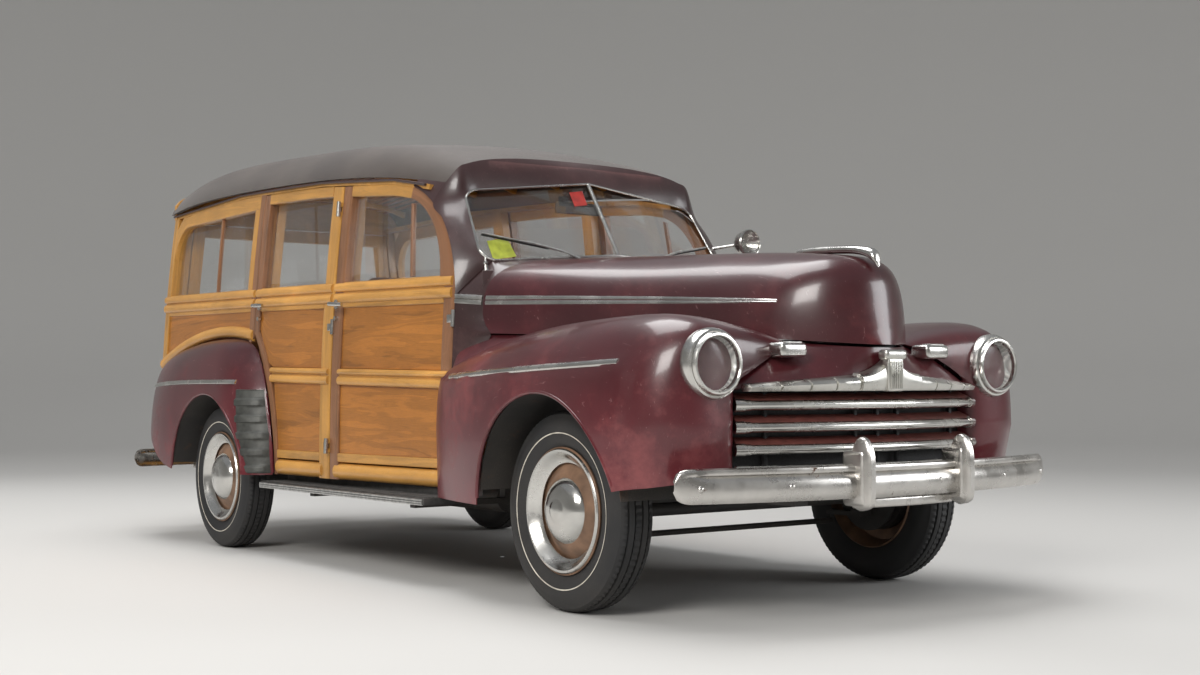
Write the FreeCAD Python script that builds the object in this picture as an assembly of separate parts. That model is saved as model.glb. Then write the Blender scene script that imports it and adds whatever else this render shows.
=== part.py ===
import FreeCAD, Part
import math
import os

# Station wagon with a wooden body on a steel ladder frame.
# Millimetres. +X forward, +Y the car's left, +Z up. Origin on the floor, under the middle of the
# car's length and width. The right side mirrors the left unless a line says otherwise.

V = FreeCAD.Vector
X_AXIS = V(1, 0, 0)
Y_AXIS = V(0, 1, 0)
Z_AXIS = V(0, 0, 1)

# Running gear
WHEELBASE = 2896.0
FRONT_AXLE_X = 1641.0
REAR_AXLE_X = FRONT_AXLE_X - WHEELBASE
FRONT_HALF_TRACK = 736.5
REAR_HALF_TRACK = 762.0
TYRE_R = 345.0
TYRE_W = 158.0
TREAD_W = 112.0
RIM_R = 203.0
RIM_LIP_R = 218.0
RIM_HALF_W = 57.0
RIM_WALL = 8.0
DISC_T = 6.0
HUBCAP_R = 121.0
HUBCAP_H = 40.0
HUB_R = 44.0
SPINDLE_R = 16.0
RUNNING_GAP = 0.06
DRUM_R = 150.0
DRUM_W = 50.0
KINGPIN_Y = 622.0
KINGPIN_R = 12.0
STEER_ARM = 150.0
STEER_ARM_Z = 262.0
TIE_ROD_R = 11.0
TIE_PIN_R = 8.0
PIN_GAP = 0.4

# Gaps between pieces
LEAF_GAP = 3.5
MOVING_GAP = 6.0
SEAT_GAP = 0.3

# Wooden body side
BELT_Z = 1140.0
SILL_Z = 366.0
SIDE_TOP_Z = 1770.0
SILL_FLARE = 24.0
TOP_LEAN = 66.0
DOOR_T = 46.0
A_X = 770.0
B_X = -181.0
C_X = -1000.0
REAR_X = -2250.0
COWL_X = 962.0
FIREWALL_X = 883.0
# Half width at the belt, at stations along the car
SIDE_STATIONS = ((A_X, 704.0), (B_X, 752.0), (C_X, 762.0), (REAR_X, 742.0))

# Roof: x, edge height, crown height, half width at the edge
ROOF_STATIONS = (
    (612.0, 1586.0, 1722.0, 622.0),
    (250.0, 1653.0, 1830.0, 674.0),
    (-400.0, 1712.0, 1906.0, 706.0),
    (-1300.0, 1749.0, 1956.0, 716.0),
    (REAR_X - 16.0, 1730.0, 1900.0, 700.0),
)
ROOF_T = 24.0

# Side doors
DOOR_BOTTOM_Z = 372.0
RAIL_H = 24.0
FRONT_TOP_X = 400.0
LEAN = math.radians(3.4)
CUT = V(0, math.cos(LEAN), math.sin(LEAN))
HINGE_DIR = V(0, -math.sin(LEAN), math.cos(LEAN))
HINGE_Z = 1040.0
HINGE_R = 8.0
HINGE_L = 60.0
FRONT_HINGE_LEVELS = (520.0, 1040.0)
REAR_HINGE_LEVELS = (520.0, 1040.0, 1560.0)
REAR_CURVE = ((C_X, 1040.0), (-842.0, 800.0), (-735.0, DOOR_BOTTOM_Z))

# Wooden rails on the body side: each starts at a height and rises towards the back
BELT_RAIL_Z = 1226.0
BELT_SLOPE = 0.0235
MID_RAIL_Z = 853.0
MID_SLOPE = 0.0245
LOWER_RAIL_Z = 490.0
RAIL_BARS = (("belt", 0.0, 38.0), ("belt", 44.0, 87.0), ("mid", 0.0, 26.0), ("mid", 32.0, 70.0))
PALE_LINE_Z = 107.0
MID_RAIL_W = 70.0
BAR_RISE = 11.0
PANEL_DEPTH = 8.0
STILE_W = 80.0
BAR_END = 18.0
ARCH_LINE = ((REAR_X, 940.0), (-1650.0, 1070.0), (C_X - 90.0, 1058.0))
ARCH_BAR_W = 55.0

# Windows
FRAME_W = 52.0
SILL_RISE = 4.0
GLASS_T = 5.0
GLASS_BITE = 8.0
GLASS_PLAY = 0.2


def box(x0, x1, y0, y1, z0, z1):
    return Part.makeBox(x1 - x0, y1 - y0, z1 - z0, V(x0, y0, z0))


def rod(start, end, radius):
    start = V(*start)
    run = V(*end) - start
    return Part.makeCylinder(radius, run.Length, start, run)


def mirrored(shape):
    return shape.mirror(V(0, 0, 0), Y_AXIS)


def both(shape):
    return [shape, mirrored(shape)]


def fuse(shapes):
    return shapes[0].fuse(shapes[1:]).removeSplitter()


def path_wire(points):
    """Closed wire; a point given as a pair (mid, end) is reached by an arc through mid."""
    start = V(*points[0])
    here = start
    edges = []
    for step in points[1:]:
        if isinstance(step[0], tuple):
            end = V(*step[1])
            edges.append(Part.Arc(here, V(*step[0]), end).toShape())
        else:
            end = V(*step)
            edges.append(Part.makeLine(here, end))
        here = end
    if here.distanceToPoint(start) > 1e-6:
        edges.append(Part.makeLine(here, start))
    return Part.Wire(edges)


def prism(points, push):
    return Part.Face(path_wire(points)).extrude(V(*push))


def side_prism(outline, y0, y1):
    """Prism across the car from a side view outline of (x, z) points and arcs."""
    def lift(p):
        return tuple(lift(q) for q in p) if isinstance(p[0], tuple) else (p[0], y0, p[1])
    return prism([lift(p) for p in outline], (0, y1 - y0, 0))


def plan_prism(outline, z0, z1):
    """Upright prism from a plan outline of (x, y) points and arcs."""
    def lift(p):
        return tuple(lift(q) for q in p) if isinstance(p[0], tuple) else (p[0], p[1], z0)
    return prism([lift(p) for p in outline], (0, 0, z1 - z0))


def section_wire(x, outline):
    """Wire across the car at x from (y, z) points and arcs."""
    def lift(p):
        return tuple(lift(q) for q in p) if isinstance(p[0], tuple) else (x, p[0], p[1])
    return path_wire([lift(p) for p in outline])


def crown_arc(half, edge, crown, knee_out, knee_up):
    """Right half of a flat crown on a rounder shoulder, tangent at the knee, as steps for a wire."""
    knee = (knee_out * half, edge + knee_up * (crown - edge))
    knee_angle = math.atan2(2.0 * (crown - knee[1]), knee[0])
    run = half - knee[0]
    fall = knee[1] - edge
    chord_angle = math.atan2(fall, run)
    bulge = math.hypot(run, fall) / 2.0 * math.tan((chord_angle - knee_angle) / 2.0)
    middle = (half - run / 2.0 + bulge * math.sin(chord_angle),
              edge + fall / 2.0 + bulge * math.cos(chord_angle))
    return [((-middle[0], middle[1]), (-knee[0], knee[1])), ((0.0, crown), knee), (middle, (half, edge))]


ROOF_KNEE = (0.73, 0.84)


def roof_section(x, edge, crown, half, inset=0.0):
    half -= inset
    crown -= inset
    low = edge - 2.0 * inset
    return section_wire(x, [(-half, low), (-half, edge)] + crown_arc(half, edge, crown, *ROOF_KNEE) + [(half, low)]
                        if inset else [(-half, edge)] + crown_arc(half, edge, crown, *ROOF_KNEE))


def loft(wires, ruled=False):
    return Part.makeLoft(wires, True, ruled)


def lookup(table, x, column):
    """Value of a column at x, by straight lines between a table's stations."""
    for a, b in zip(table, table[1:]):
        if b[0] <= x <= a[0]:
            return a[column] + (b[column] - a[column]) * (x - a[0]) / (b[0] - a[0])
    return table[0][column] if x > table[0][0] else table[-1][column]


def half_width(x):
    return lookup(SIDE_STATIONS, x, 1)


def door_top(x):
    return lookup(ROOF_STATIONS, x, 1) - RAIL_H


# Body side slab, and cutters through it
def side_section(x, half, thickness):
    low = half + SILL_FLARE
    high = half - TOP_LEAN
    return section_wire(x, [
        (low, SILL_Z), ((half, BELT_Z), (high, SIDE_TOP_Z)), (high - thickness, SIDE_TOP_Z),
        ((half - thickness, BELT_Z), (low - thickness, SILL_Z))])


def side_slab(inset=0.0, thickness=DOOR_T):
    return loft([side_section(x, w - inset, thickness) for x, w in SIDE_STATIONS], True)


def side_outer_y(x, z):
    """Outer face of the left body side at (x, z)."""
    half = half_width(x)
    ax, az = -SILL_FLARE, BELT_Z - SILL_Z
    bx, bz = -TOP_LEAN - SILL_FLARE, SIDE_TOP_Z - SILL_Z
    d = 2.0 * (ax * bz - az * bx)
    uy = (bz * (ax * ax + az * az) - az * (bx * bx + bz * bz)) / d
    uz = (ax * (bx * bx + bz * bz) - bx * (ax * ax + az * az)) / d
    radius = math.hypot(uy, uz)
    return half + SILL_FLARE + uy + math.sqrt(radius ** 2 - (z - SILL_Z - uz) ** 2)


def side_cutter(outline, reach=240.0):
    """Prism square to the leaning hinge axes, with its outline in the plane y = 740."""
    def lift(p):
        if isinstance(p[0], tuple):
            return tuple(lift(q) for q in p)
        start = V(p[0], 740.0, p[1]) - CUT * reach
        return (start.x, start.y, start.z)
    push = CUT * (2.0 * reach)
    return prism([lift(p) for p in outline], (push.x, push.y, push.z))


def belt_z(x):
    return BELT_RAIL_Z - BELT_SLOPE * x


def mid_z(x):
    return MID_RAIL_Z - MID_SLOPE * x


def band(level, x0, x1, down0, down1):
    """Outline of a sloped rail between two stations along the car."""
    return [(x0, level(x0) - down1), (x1, level(x1) - down1), (x1, level(x1) - down0), (x0, level(x0) - down0)]


def front_door_outline(gap):
    x1 = A_X - gap
    x0 = B_X + gap
    zb = DOOR_BOTTOM_Z + gap
    return [(x0, zb), (x1, zb), (x1, 1130.0),
            ((x1 - 115.0, 1430.0 - gap), (FRONT_TOP_X, door_top(FRONT_TOP_X) - gap)),
            (x0, door_top(B_X) - gap)]


def rear_door_outline(gap):
    x1 = B_X - gap
    x0 = C_X + gap
    (xa, za), (xm, zm), (xe, ze) = REAR_CURVE
    return [(xe + gap, ze + gap), (x1, ze + gap), (x1, door_top(B_X) - gap),
            (x0, door_top(C_X) - gap), (x0, za + gap),
            ((xm + gap, zm + gap), (xe + gap, ze + gap))]


def window_sill(x, grow):
    return (x, belt_z(x) + SILL_RISE - grow)


def front_window(grow=0.0):
    x1 = A_X - 118.0 + grow
    x0 = B_X + 68.0 - grow
    top_x = FRONT_TOP_X - 10.0
    return [window_sill(x0, grow), window_sill(x1, grow), (x1, 1282.0),
            ((x1 - 78.0, 1420.0 + 0.6 * grow), (top_x, door_top(top_x) - FRAME_W + grow)),
            (x0, door_top(B_X) - FRAME_W + grow)]


def rear_window(grow=0.0):
    x1 = B_X - 106.0 + grow
    x0 = C_X + 40.0 - grow
    return [window_sill(x0, grow), window_sill(x1, grow), (x1, door_top(B_X) - FRAME_W + grow),
            (x0, door_top(C_X) - FRAME_W + grow)]


QUARTER_FRONT = C_X - 122.0
QUARTER_BACK = REAR_X + 62.0


def quarter_window(grow=0.0):
    x1 = QUARTER_FRONT + grow
    x0 = QUARTER_BACK - grow
    zt = door_top(C_X) - FRAME_W - 14.0 + grow
    return [window_sill(x0 + 16.0, grow), window_sill(x1, grow), (x1, zt),
            (x0 + 190.0, zt), ((x0 + 56.0, zt - 44.0), (x0, zt - 170.0))]


SLAB = side_slab()
GROOVE_SLAB = side_slab((DOOR_T - GLASS_T) / 2.0 - GLASS_PLAY, GLASS_T + 2.0 * GLASS_PLAY)
GLASS_SLAB = side_slab((DOOR_T - GLASS_T) / 2.0, GLASS_T)


BAR_SLAB = side_slab(-BAR_RISE, BAR_RISE + 3.0)
PANEL_SLAB = side_slab(-1.0, PANEL_DEPTH + 1.0)


def panelled(shape, panels, x0, x1):
    """Panels sunk between the rails, and a pair of raised bars on each rail from x0 to x1."""
    for outline in panels:
        shape = shape.cut(PANEL_SLAB.common(side_cutter(outline)))
    bars = []
    for rail, down0, down1 in RAIL_BARS:
        level = {"belt": belt_z, "mid": mid_z}[rail]
        if rail == "mid" and x0 < C_X:
            continue
        start = x0 if rail == "belt" else max(x0, mid_bar_start)
        bars.append(BAR_SLAB.common(side_cutter(band(level, start, x1, down0, down1))))
    return shape.fuse(bars)


def windowed(shape, window):
    shape = shape.cut(side_cutter(window(0.0)))
    return shape.cut(GROOVE_SLAB.common(side_cutter(window(GLASS_BITE))))


def pane(window):
    return GLASS_SLAB.common(side_cutter(window(GLASS_BITE - 1.0)))


def hinge(middle, direction, length, radius=HINGE_R):
    """Butt hinge about an axis: the moving barrel, and the fixed barrels with their pin."""
    third = length / 3.0
    pin_r = radius / 2.0
    foot = middle - direction * (length / 2.0)

    def barrel(start, run, r):
        return Part.makeCylinder(r, run, foot + direction * start, direction)
    moving = barrel(third + 1.0, third - 2.0, radius).cut(barrel(0.0, length, pin_r + RUNNING_GAP))
    fixed = barrel(0.0, third, radius).fuse([barrel(2.0 * third, third, radius), barrel(0.0, length, pin_r)])
    return moving, fixed


def hinge_axis_point(x, z):
    y = side_outer_y(x, HINGE_Z) + 3.0 - (z - HINGE_Z) * math.tan(LEAN)
    return V(x, y, z)


def hinge_recess(hinge_x, z):
    """Room round a hinge's barrels, turned about its own axis."""
    length = HINGE_L + 8.0
    foot = hinge_axis_point(hinge_x, z) - HINGE_DIR * (length / 2.0)
    return Part.makeCylinder(HINGE_R + 3.0, length, foot, HINGE_DIR)


def door(outline, window, hinge_x, levels):
    leaf = windowed(SLAB.common(side_cutter(outline(LEAF_GAP))), window)
    for z in levels:
        moving, fixed = hinge(hinge_axis_point(hinge_x, z), HINGE_DIR, HINGE_L)
        face_y = side_outer_y(hinge_x, z)
        axis_y = hinge_axis_point(hinge_x, z).y
        half = HINGE_L / 6.0 - 1.0
        strap = box(hinge_x - 46.0, hinge_x - HINGE_R + 3.0, face_y - 6.0, axis_y + 3.0, z - half, z + half)
        leaf = leaf.cut(hinge_recess(hinge_x, z)).fuse([strap, moving])
    return leaf.removeSplitter()


def post_hinges(hinge_x, levels, web_front):
    """Fixed halves of a door's hinges, each on a web that reaches back into the post."""
    shapes = []
    for z in levels:
        moving, fixed = hinge(hinge_axis_point(hinge_x, z), HINGE_DIR, HINGE_L)
        axis_y = hinge_axis_point(hinge_x, z).y
        third = HINGE_L / 3.0
        for z0 in (z - 1.5 * third + 1.0, z + 0.5 * third + 1.0):
            web = box(hinge_x, web_front, side_outer_y(hinge_x, z) - INNER_INSET - 6.0, axis_y + 2.0, z0, z0 + third - 2.0)
            fixed = fixed.fuse(web)
        shapes.append(fixed)
    return shapes


INNER_INSET = DOOR_T + 5.0
NOTCH = 6.0
mid_bar_start = REAR_CURVE[1][0] + 40.0
front_panel_x = (B_X + STILE_W, A_X - STILE_W)
rear_panel_x = (C_X + 54.0, B_X - STILE_W - 20.0)
(curve_x0, curve_z0), (curve_x1, curve_z1), (curve_x2, curve_z2) = REAR_CURVE
front_panels = [band(belt_z, *front_panel_x, PALE_LINE_Z, BELT_RAIL_Z - MID_RAIL_Z),
                [(front_panel_x[0], LOWER_RAIL_Z), (front_panel_x[1], LOWER_RAIL_Z),
                 (front_panel_x[1], mid_z(front_panel_x[1]) - MID_RAIL_W), (front_panel_x[0], mid_z(front_panel_x[0]) - MID_RAIL_W)]]
x_mid = curve_x1 + 52.0
x_low = curve_x2 + 22.0
rear_panels = [[(rear_panel_x[1], mid_z(rear_panel_x[1])), (rear_panel_x[1], belt_z(rear_panel_x[1]) - PALE_LINE_Z),
                (rear_panel_x[0], belt_z(rear_panel_x[0]) - PALE_LINE_Z), (rear_panel_x[0], curve_z0 + 16.0),
                ((-862.0, 948.0), (x_mid, mid_z(x_mid)))],
               [(rear_panel_x[1], LOWER_RAIL_Z), (rear_panel_x[1], mid_z(rear_panel_x[1]) - MID_RAIL_W),
                (x_mid + 24.0, mid_z(x_mid) - MID_RAIL_W), ((x_low + 4.0, 660.0), (x_low, LOWER_RAIL_Z))]]
left_front_door = door(front_door_outline, front_window, A_X, FRONT_HINGE_LEVELS)
left_front_door = panelled(left_front_door, front_panels, B_X + BAR_END, A_X - BAR_END)
for level in REAR_HINGE_LEVELS:
    notch = box(B_X - 4.0, B_X + LEAF_GAP + NOTCH, 600.0, 860.0, level - HINGE_L / 2.0 - 5.0, level + HINGE_L / 2.0 + 5.0)
    left_front_door = left_front_door.cut(notch)
left_rear_door = door(rear_door_outline, rear_window, B_X, REAR_HINGE_LEVELS)
left_rear_door = panelled(left_rear_door, rear_panels, C_X + BAR_END, B_X - BAR_END)
left_front_pane = pane(front_window)
left_rear_pane = pane(rear_window)

# Quarter panel behind the rear door, over the rear wheel
QUARTER_LOW_Z = 470.0
QUARTER_FOOT_X = REAR_CURVE[2][0] - 22.0
arch_front, arch_mid, arch_end = REAR_CURVE
quarter_outline = [
    (REAR_X, QUARTER_LOW_Z), (-1800.0, QUARTER_LOW_Z), ((REAR_AXLE_X - 20.0, 860.0), (-840.0, QUARTER_LOW_Z)),
    (QUARTER_FOOT_X, QUARTER_LOW_Z), (arch_mid, arch_front), (C_X, door_top(C_X)), (REAR_X, door_top(REAR_X))]
(line_x0, line_z0), (line_x1, line_z1), (line_x2, line_z2) = ARCH_LINE
quarter_panel = [(line_x0 + 40.0, line_z0 + 12.0), ((line_x1, line_z1), (line_x2, line_z2)), (line_x2, belt_z(line_x2) - PALE_LINE_Z),
                 (line_x0 + 40.0, belt_z(line_x0) - PALE_LINE_Z)]
arch_bar = [(line_x0, line_z0), ((line_x1, line_z1), (line_x2, line_z2)), (line_x2, line_z2 - ARCH_BAR_W),
            ((line_x1, line_z1 - ARCH_BAR_W), (line_x0, line_z0 - ARCH_BAR_W))]
left_quarter = windowed(SLAB.common(side_cutter(quarter_outline)), quarter_window)
left_quarter = panelled(left_quarter, [quarter_panel], REAR_X, C_X - BAR_END)
left_quarter = left_quarter.fuse(BAR_SLAB.common(side_cutter(arch_bar)))
left_quarter_pane = pane(quarter_window)

# Body frame: sills, posts behind the door edges, roof rails and rear frame
POST_DEPTH = 44.0
POST_GAP = 5.0
SILL_BEAM_Z = (SILL_Z + 8.0, 560.0)
inner_slab = side_slab(INNER_INSET, POST_DEPTH)
rail_band = [(s[0], s[1] - RAIL_H) for s in ROOF_STATIONS[1:4]]
rail_low = [(520.0, door_top(520.0))] + rail_band + [(REAR_X, door_top(REAR_X))]
rail_high = [(x, z + RAIL_H - 2.0) for x, z in reversed(rail_low)]
wide_slab = side_slab(0.0, DOOR_T + POST_GAP + POST_DEPTH)
left_frame = [wide_slab.common(side_cutter(rail_low + rail_high))]
WELL_TOP_Z = 830.0
for post_x, half, foot in ((B_X, 40.0, SILL_BEAM_Z[0]), (C_X, 44.0, WELL_TOP_Z + 12.0)):
    post = inner_slab.common(side_cutter([
        (post_x - half, foot), (post_x + half, foot),
        (post_x + half, door_top(post_x) + 12.0), (post_x - half, door_top(post_x) + 12.0)]))
    left_frame.append(post)
sill_outline = [(REAR_AXLE_X + 470.0, SILL_BEAM_Z[0]), (A_X - 4.0, SILL_BEAM_Z[0]),
                (A_X - 4.0, SILL_BEAM_Z[1]), (REAR_AXLE_X + 470.0, SILL_BEAM_Z[1])]
left_frame.append(inner_slab.common(side_cutter(sill_outline)))
REAR_POST_W = 70.0
FLOOR_Z = 690.0
FLOOR_T = 22.0
rear_outline = [(REAR_X, QUARTER_LOW_Z), (REAR_X + DOOR_T, QUARTER_LOW_Z),
                (REAR_X + DOOR_T, door_top(REAR_X) + 12.0), (REAR_X, door_top(REAR_X) + 12.0)]
left_frame.append(side_slab(DOOR_T, REAR_POST_W - 24.0).common(side_cutter(rear_outline)))
GATE_HALF_W = 640.0
GATE_LOW_Z = FLOOR_Z + 14.0
GATE_SPLIT_Z = 1196.0
GATE_TOP_Z = 1680.0
rear_header = box(REAR_X, REAR_X + DOOR_T, -610.0, 610.0, GATE_TOP_Z + 6.0, 1735.0)
rear_sill = box(REAR_X, REAR_X + DOOR_T, -700.0, 700.0, QUARTER_LOW_Z, GATE_LOW_Z - 6.0)
left_frame += post_hinges(B_X, REAR_HINGE_LEVELS, B_X + 3.0)
TAIL_PIVOT = V(REAR_X - 6.0, 0.0, GATE_LOW_Z - 2.0)
LIFT_PIVOT = V(REAR_X - 6.0, 0.0, GATE_TOP_Z + 4.0)
tail_barrels = []
lift_barrels = []
fixed_barrels = []
for y in (-420.0, 420.0):
    moving, fixed = hinge(TAIL_PIVOT + Y_AXIS * y, Y_AXIS, 90.0, 6.0)
    tail_barrels.append(moving.fuse(box(REAR_X - 6.0, REAR_X + 4.0, y - 14.0, y + 14.0, GATE_LOW_Z, GATE_LOW_Z + 30.0)).cut(
        rod((REAR_X - 6.0, y - 50.0, GATE_LOW_Z - 2.0), (REAR_X - 6.0, y + 50.0, GATE_LOW_Z - 2.0), 3.0 + RUNNING_GAP)))
    for y0 in (y - 44.0, y + 16.0):
        fixed = fixed.fuse(box(REAR_X - 6.0, REAR_X + 4.0, y0, y0 + 28.0, GATE_LOW_Z - 40.0, GATE_LOW_Z - 6.5))
    fixed_barrels.append(fixed)
    moving, fixed = hinge(LIFT_PIVOT + Y_AXIS * y, Y_AXIS, 90.0, 6.0)
    lift_barrels.append(moving.fuse(box(REAR_X - 6.0, REAR_X + 4.0, y - 14.0, y + 14.0, GATE_TOP_Z - 30.0, GATE_TOP_Z)))
    for y0 in (y - 44.0, y + 16.0):
        fixed = fixed.fuse(box(REAR_X - 6.0, REAR_X + 4.0, y0, y0 + 28.0, GATE_TOP_Z + 6.5, GATE_TOP_Z + 40.0))
    fixed_barrels.append(fixed)
body_frame = fuse(left_frame + [mirrored(s) for s in left_frame] + [rear_header, rear_sill] + fixed_barrels)

# Gates
def gate_half(z):
    return side_outer_y(REAR_X, z) - DOOR_T - (REAR_POST_W - 24.0) - MOVING_GAP


def gate(z0, z1, inset=0.0, x0=REAR_X, thickness=DOOR_T):
    w0 = gate_half(z0) - inset
    w1 = gate_half(z1) - inset
    corners = [(x0, -w0, z0), (x0, w0, z0), (x0, w1, z1), (x0, -w1, z1)]
    return prism(corners, (thickness, 0, 0))


PIN_Z = GATE_SPLIT_Z - 21.0
PIN_X = REAR_X - 22.0
SPARE_X = REAR_X - 52.0 - TYRE_W / 2.0
SPARE_Z = 858.0
tailgate = fuse([gate(GATE_LOW_Z, GATE_SPLIT_Z - 3.0)] + tail_barrels)
for y0, y1 in ((-570.0, -110.0), (-40.0, 40.0), (110.0, 570.0)):
    for z0, z1 in ((GATE_LOW_Z + 70.0, 900.0), (950.0, GATE_SPLIT_Z - 80.0)):
        if y1 - y0 > 100.0:
            tailgate = tailgate.cut(box(REAR_X - 5.0, REAR_X + PANEL_DEPTH, y0, y1, z0, z1))
for y in (-75.0, 75.0):
    lug = box(PIN_X - 12.0, REAR_X + 1.0, y - 12.0, y + 12.0, PIN_Z - 12.0, PIN_Z + 12.0)
    tailgate = tailgate.fuse(lug.cut(rod((PIN_X, y - 20.0, PIN_Z), (PIN_X, y + 20.0, PIN_Z), 8.0 + RUNNING_GAP)))
LIFT_STILE = 66.0
liftgate = fuse([gate(GATE_SPLIT_Z + 3.0, GATE_TOP_Z)] + lift_barrels)
liftgate = liftgate.cut(rod((LIFT_PIVOT.x, -500.0, LIFT_PIVOT.z), (LIFT_PIVOT.x, 500.0, LIFT_PIVOT.z), 3.0 + RUNNING_GAP))
lift_low = GATE_SPLIT_Z + LIFT_STILE
lift_high = GATE_TOP_Z - LIFT_STILE
pane_x = REAR_X + (DOOR_T - GLASS_T) / 2.0
liftgate = liftgate.cut(gate(lift_low, lift_high, LIFT_STILE, REAR_X - 5.0, DOOR_T + 10.0))
liftgate = liftgate.cut(gate(lift_low - GLASS_BITE, lift_high + GLASS_BITE, LIFT_STILE - GLASS_BITE,
                             pane_x - GLASS_PLAY, GLASS_T + 2.0 * GLASS_PLAY))
lift_pane = gate(lift_low - GLASS_BITE + 1.0, lift_high + GLASS_BITE - 1.0, LIFT_STILE - GLASS_BITE + 1.0, pane_x, GLASS_T)

# Roof
outer_roof = loft([roof_section(*s) for s in ROOF_STATIONS])
inner_stations = [(s[0] + e,) + s[1:] for s, e in zip(ROOF_STATIONS, (20.0, 0.0, 0.0, 0.0, -20.0))]
inner_roof = loft([roof_section(*s, ROOF_T) for s in inner_stations])
roof = outer_roof.cut(inner_roof)

# Windshield: left half, corners (x, y, z)
SCREEN_LOW_MID = V(893.0, 0.0, 1306.0)
SCREEN_HIGH_MID = V(680.0, 0.0, 1625.0)
SCREEN_LOW_OUT = V(824.0, 618.0, 1260.0)
SCREEN_HIGH_OUT = V(629.0, 581.0, 1562.0)
screen_normal = (SCREEN_HIGH_MID - SCREEN_LOW_MID).cross(SCREEN_LOW_OUT - SCREEN_LOW_MID)
screen_normal.normalize()
if screen_normal.x < 0:
    screen_normal = screen_normal * -1.0


def screen_quad(grow, depth, thickness):
    """Slab on the windshield plane; grow widens its outline, depth sets it back."""
    u = (SCREEN_LOW_OUT - SCREEN_LOW_MID).normalize()
    v = (SCREEN_HIGH_MID - SCREEN_LOW_MID).normalize()
    back = screen_normal * -depth
    low_mid = SCREEN_LOW_MID - u * min(grow, 0.0) - v * grow
    high_mid = SCREEN_HIGH_MID - u * min(grow, 0.0) + v * grow
    high_out = SCREEN_HIGH_OUT + u * grow + v * grow
    low_out = SCREEN_LOW_OUT + u * grow - v * grow
    corners = [p - screen_normal * (p - SCREEN_LOW_MID).dot(screen_normal) + back
               for p in (low_mid, high_mid, high_out, low_out)]
    return Part.Face(Part.makePolygon(corners + corners[:1])).extrude(screen_normal * -thickness)


SCREEN_MULLION = 9.0
screen_pane = screen_quad(-SCREEN_MULLION, 10.0, GLASS_T)
frame_blank = screen_quad(34.0, 0.0, 30.0)
screen_hole = screen_quad(-SCREEN_MULLION, -10.0, 60.0)
screen_frame = frame_blank.cut(screen_hole)

# Cowl, pillars and header
COWL_STATIONS = (
    # x, half width at the waist, waist height, crown height, low edge
    (COWL_X, 616.0, 1110.0, 1274.0, 350.0),
    (A_X + 6.0, 702.0, 1130.0, 1306.0, 350.0),
)
COWL_T = 20.0


HOOD_KNEE = (0.62, 0.76)


def hood_wire(x, half, waist, crown, low, inset=0.0):
    w = half - inset
    low = low - (60.0 if inset else 0.0)
    return section_wire(x, [(-w, low), (-w, waist)] + crown_arc(w, waist, crown - inset, *HOOD_KNEE) + [(w, low)])


# The seam between cowl and hood is an arc in plan: (x, half width) at its ends, x in the middle
SEAM_END = (FIREWALL_X, 650.0)
SEAM_MID_X = 956.0


def seam_room(far_x, shift):
    """Room on one side of the hood's rear seam, out to far_x."""
    x, y = SEAM_END
    return plan_prism([(far_x, -780.0), (x - 12.0 + shift, -780.0), (x + shift, -y), ((SEAM_MID_X + shift, 0.0), (x + shift, y)),
                       (x - 12.0 + shift, 780.0), (far_x, 780.0)], 300.0, 1400.0)


cowl_outer = loft([hood_wire(*s) for s in COWL_STATIONS], True)
cowl_hollow = loft([hood_wire(s[0] + e, s[1], s[2], s[3], s[4], COWL_T)
                    for s, e in zip(COWL_STATIONS, (1.0, -1.0))], True)
firewall = box(FIREWALL_X - 12.0, FIREWALL_X, -800.0, 800.0, 340.0, 1400.0)
cowl_outer = cowl_outer.cut(seam_room(1200.0, 0.0))
cowl_shell = cowl_outer.cut(cowl_hollow.cut(firewall))
pillar_low = [(A_X + 4.0, 708.0, 1120.0), (845.0, 640.0, 1120.0), (815.0, 590.0, 1120.0), (A_X + 4.0, 660.0, 1120.0)]
pillar_mid = [(A_X - 98.0, 690.0, 1400.0), (735.0, 612.0, 1400.0), (700.0, 575.0, 1400.0), (A_X - 98.0, 645.0, 1400.0)]
pillar_high = [(520.0, 668.0, 1612.0), (630.0, 600.0, 1612.0), (600.0, 560.0, 1612.0), (500.0, 620.0, 1612.0)]
pillar = loft([path_wire(p) for p in (pillar_low, pillar_mid, pillar_high)], True)
header_sections = []
for y, x, z in ((-600.0, 640.0, 1580.0), (0.0, 690.0, 1640.0), (600.0, 640.0, 1580.0)):
    header_sections.append(path_wire([(x, y, z), (x - 46.0, y, z + 74.0), (x - 110.0, y, z + 60.0), (x - 60.0, y, z - 8.0)]))
header = loft(header_sections, True)
front_posts = post_hinges(A_X, FRONT_HINGE_LEVELS, A_X + 16.0)
cowl = fuse([cowl_shell, pillar, mirrored(pillar), header, screen_frame, mirrored(screen_frame)])
door_room = side_cutter(front_door_outline(LEAF_GAP - MOVING_GAP))
for tool in (door_room, screen_hole):
    cowl = cowl.cut(tool).cut(mirrored(tool))
cowl = cowl.cut([outer_roof, body_frame, box(FIREWALL_X - 30.0, FIREWALL_X + 10.0, -560.0, 560.0, 300.0, 640.3)])
cowl = cowl.fuse(front_posts + [mirrored(s) for s in front_posts])
body_frame = body_frame.cut(roof)
HOOD_PIVOT = V(COWL_X - 36.0, 0.0, 1262.0)
HOOD_ARM_Y = 150.0
HOOD_PIN_R = 4.0
ARM_PAD_H = 14.0
for side in (1.0, -1.0):
    y = side * HOOD_ARM_Y
    cowl = cowl.cut(box(HOOD_PIVOT.x - 14.0, COWL_X + 1.0, y - 11.0, y + 11.0, 1230.0, 1300.0))
    cowl = cowl.fuse(rod((HOOD_PIVOT.x, y - 16.0, HOOD_PIVOT.z - 3.0), (HOOD_PIVOT.x, y + 16.0, HOOD_PIVOT.z - 3.0), HOOD_PIN_R))

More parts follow.
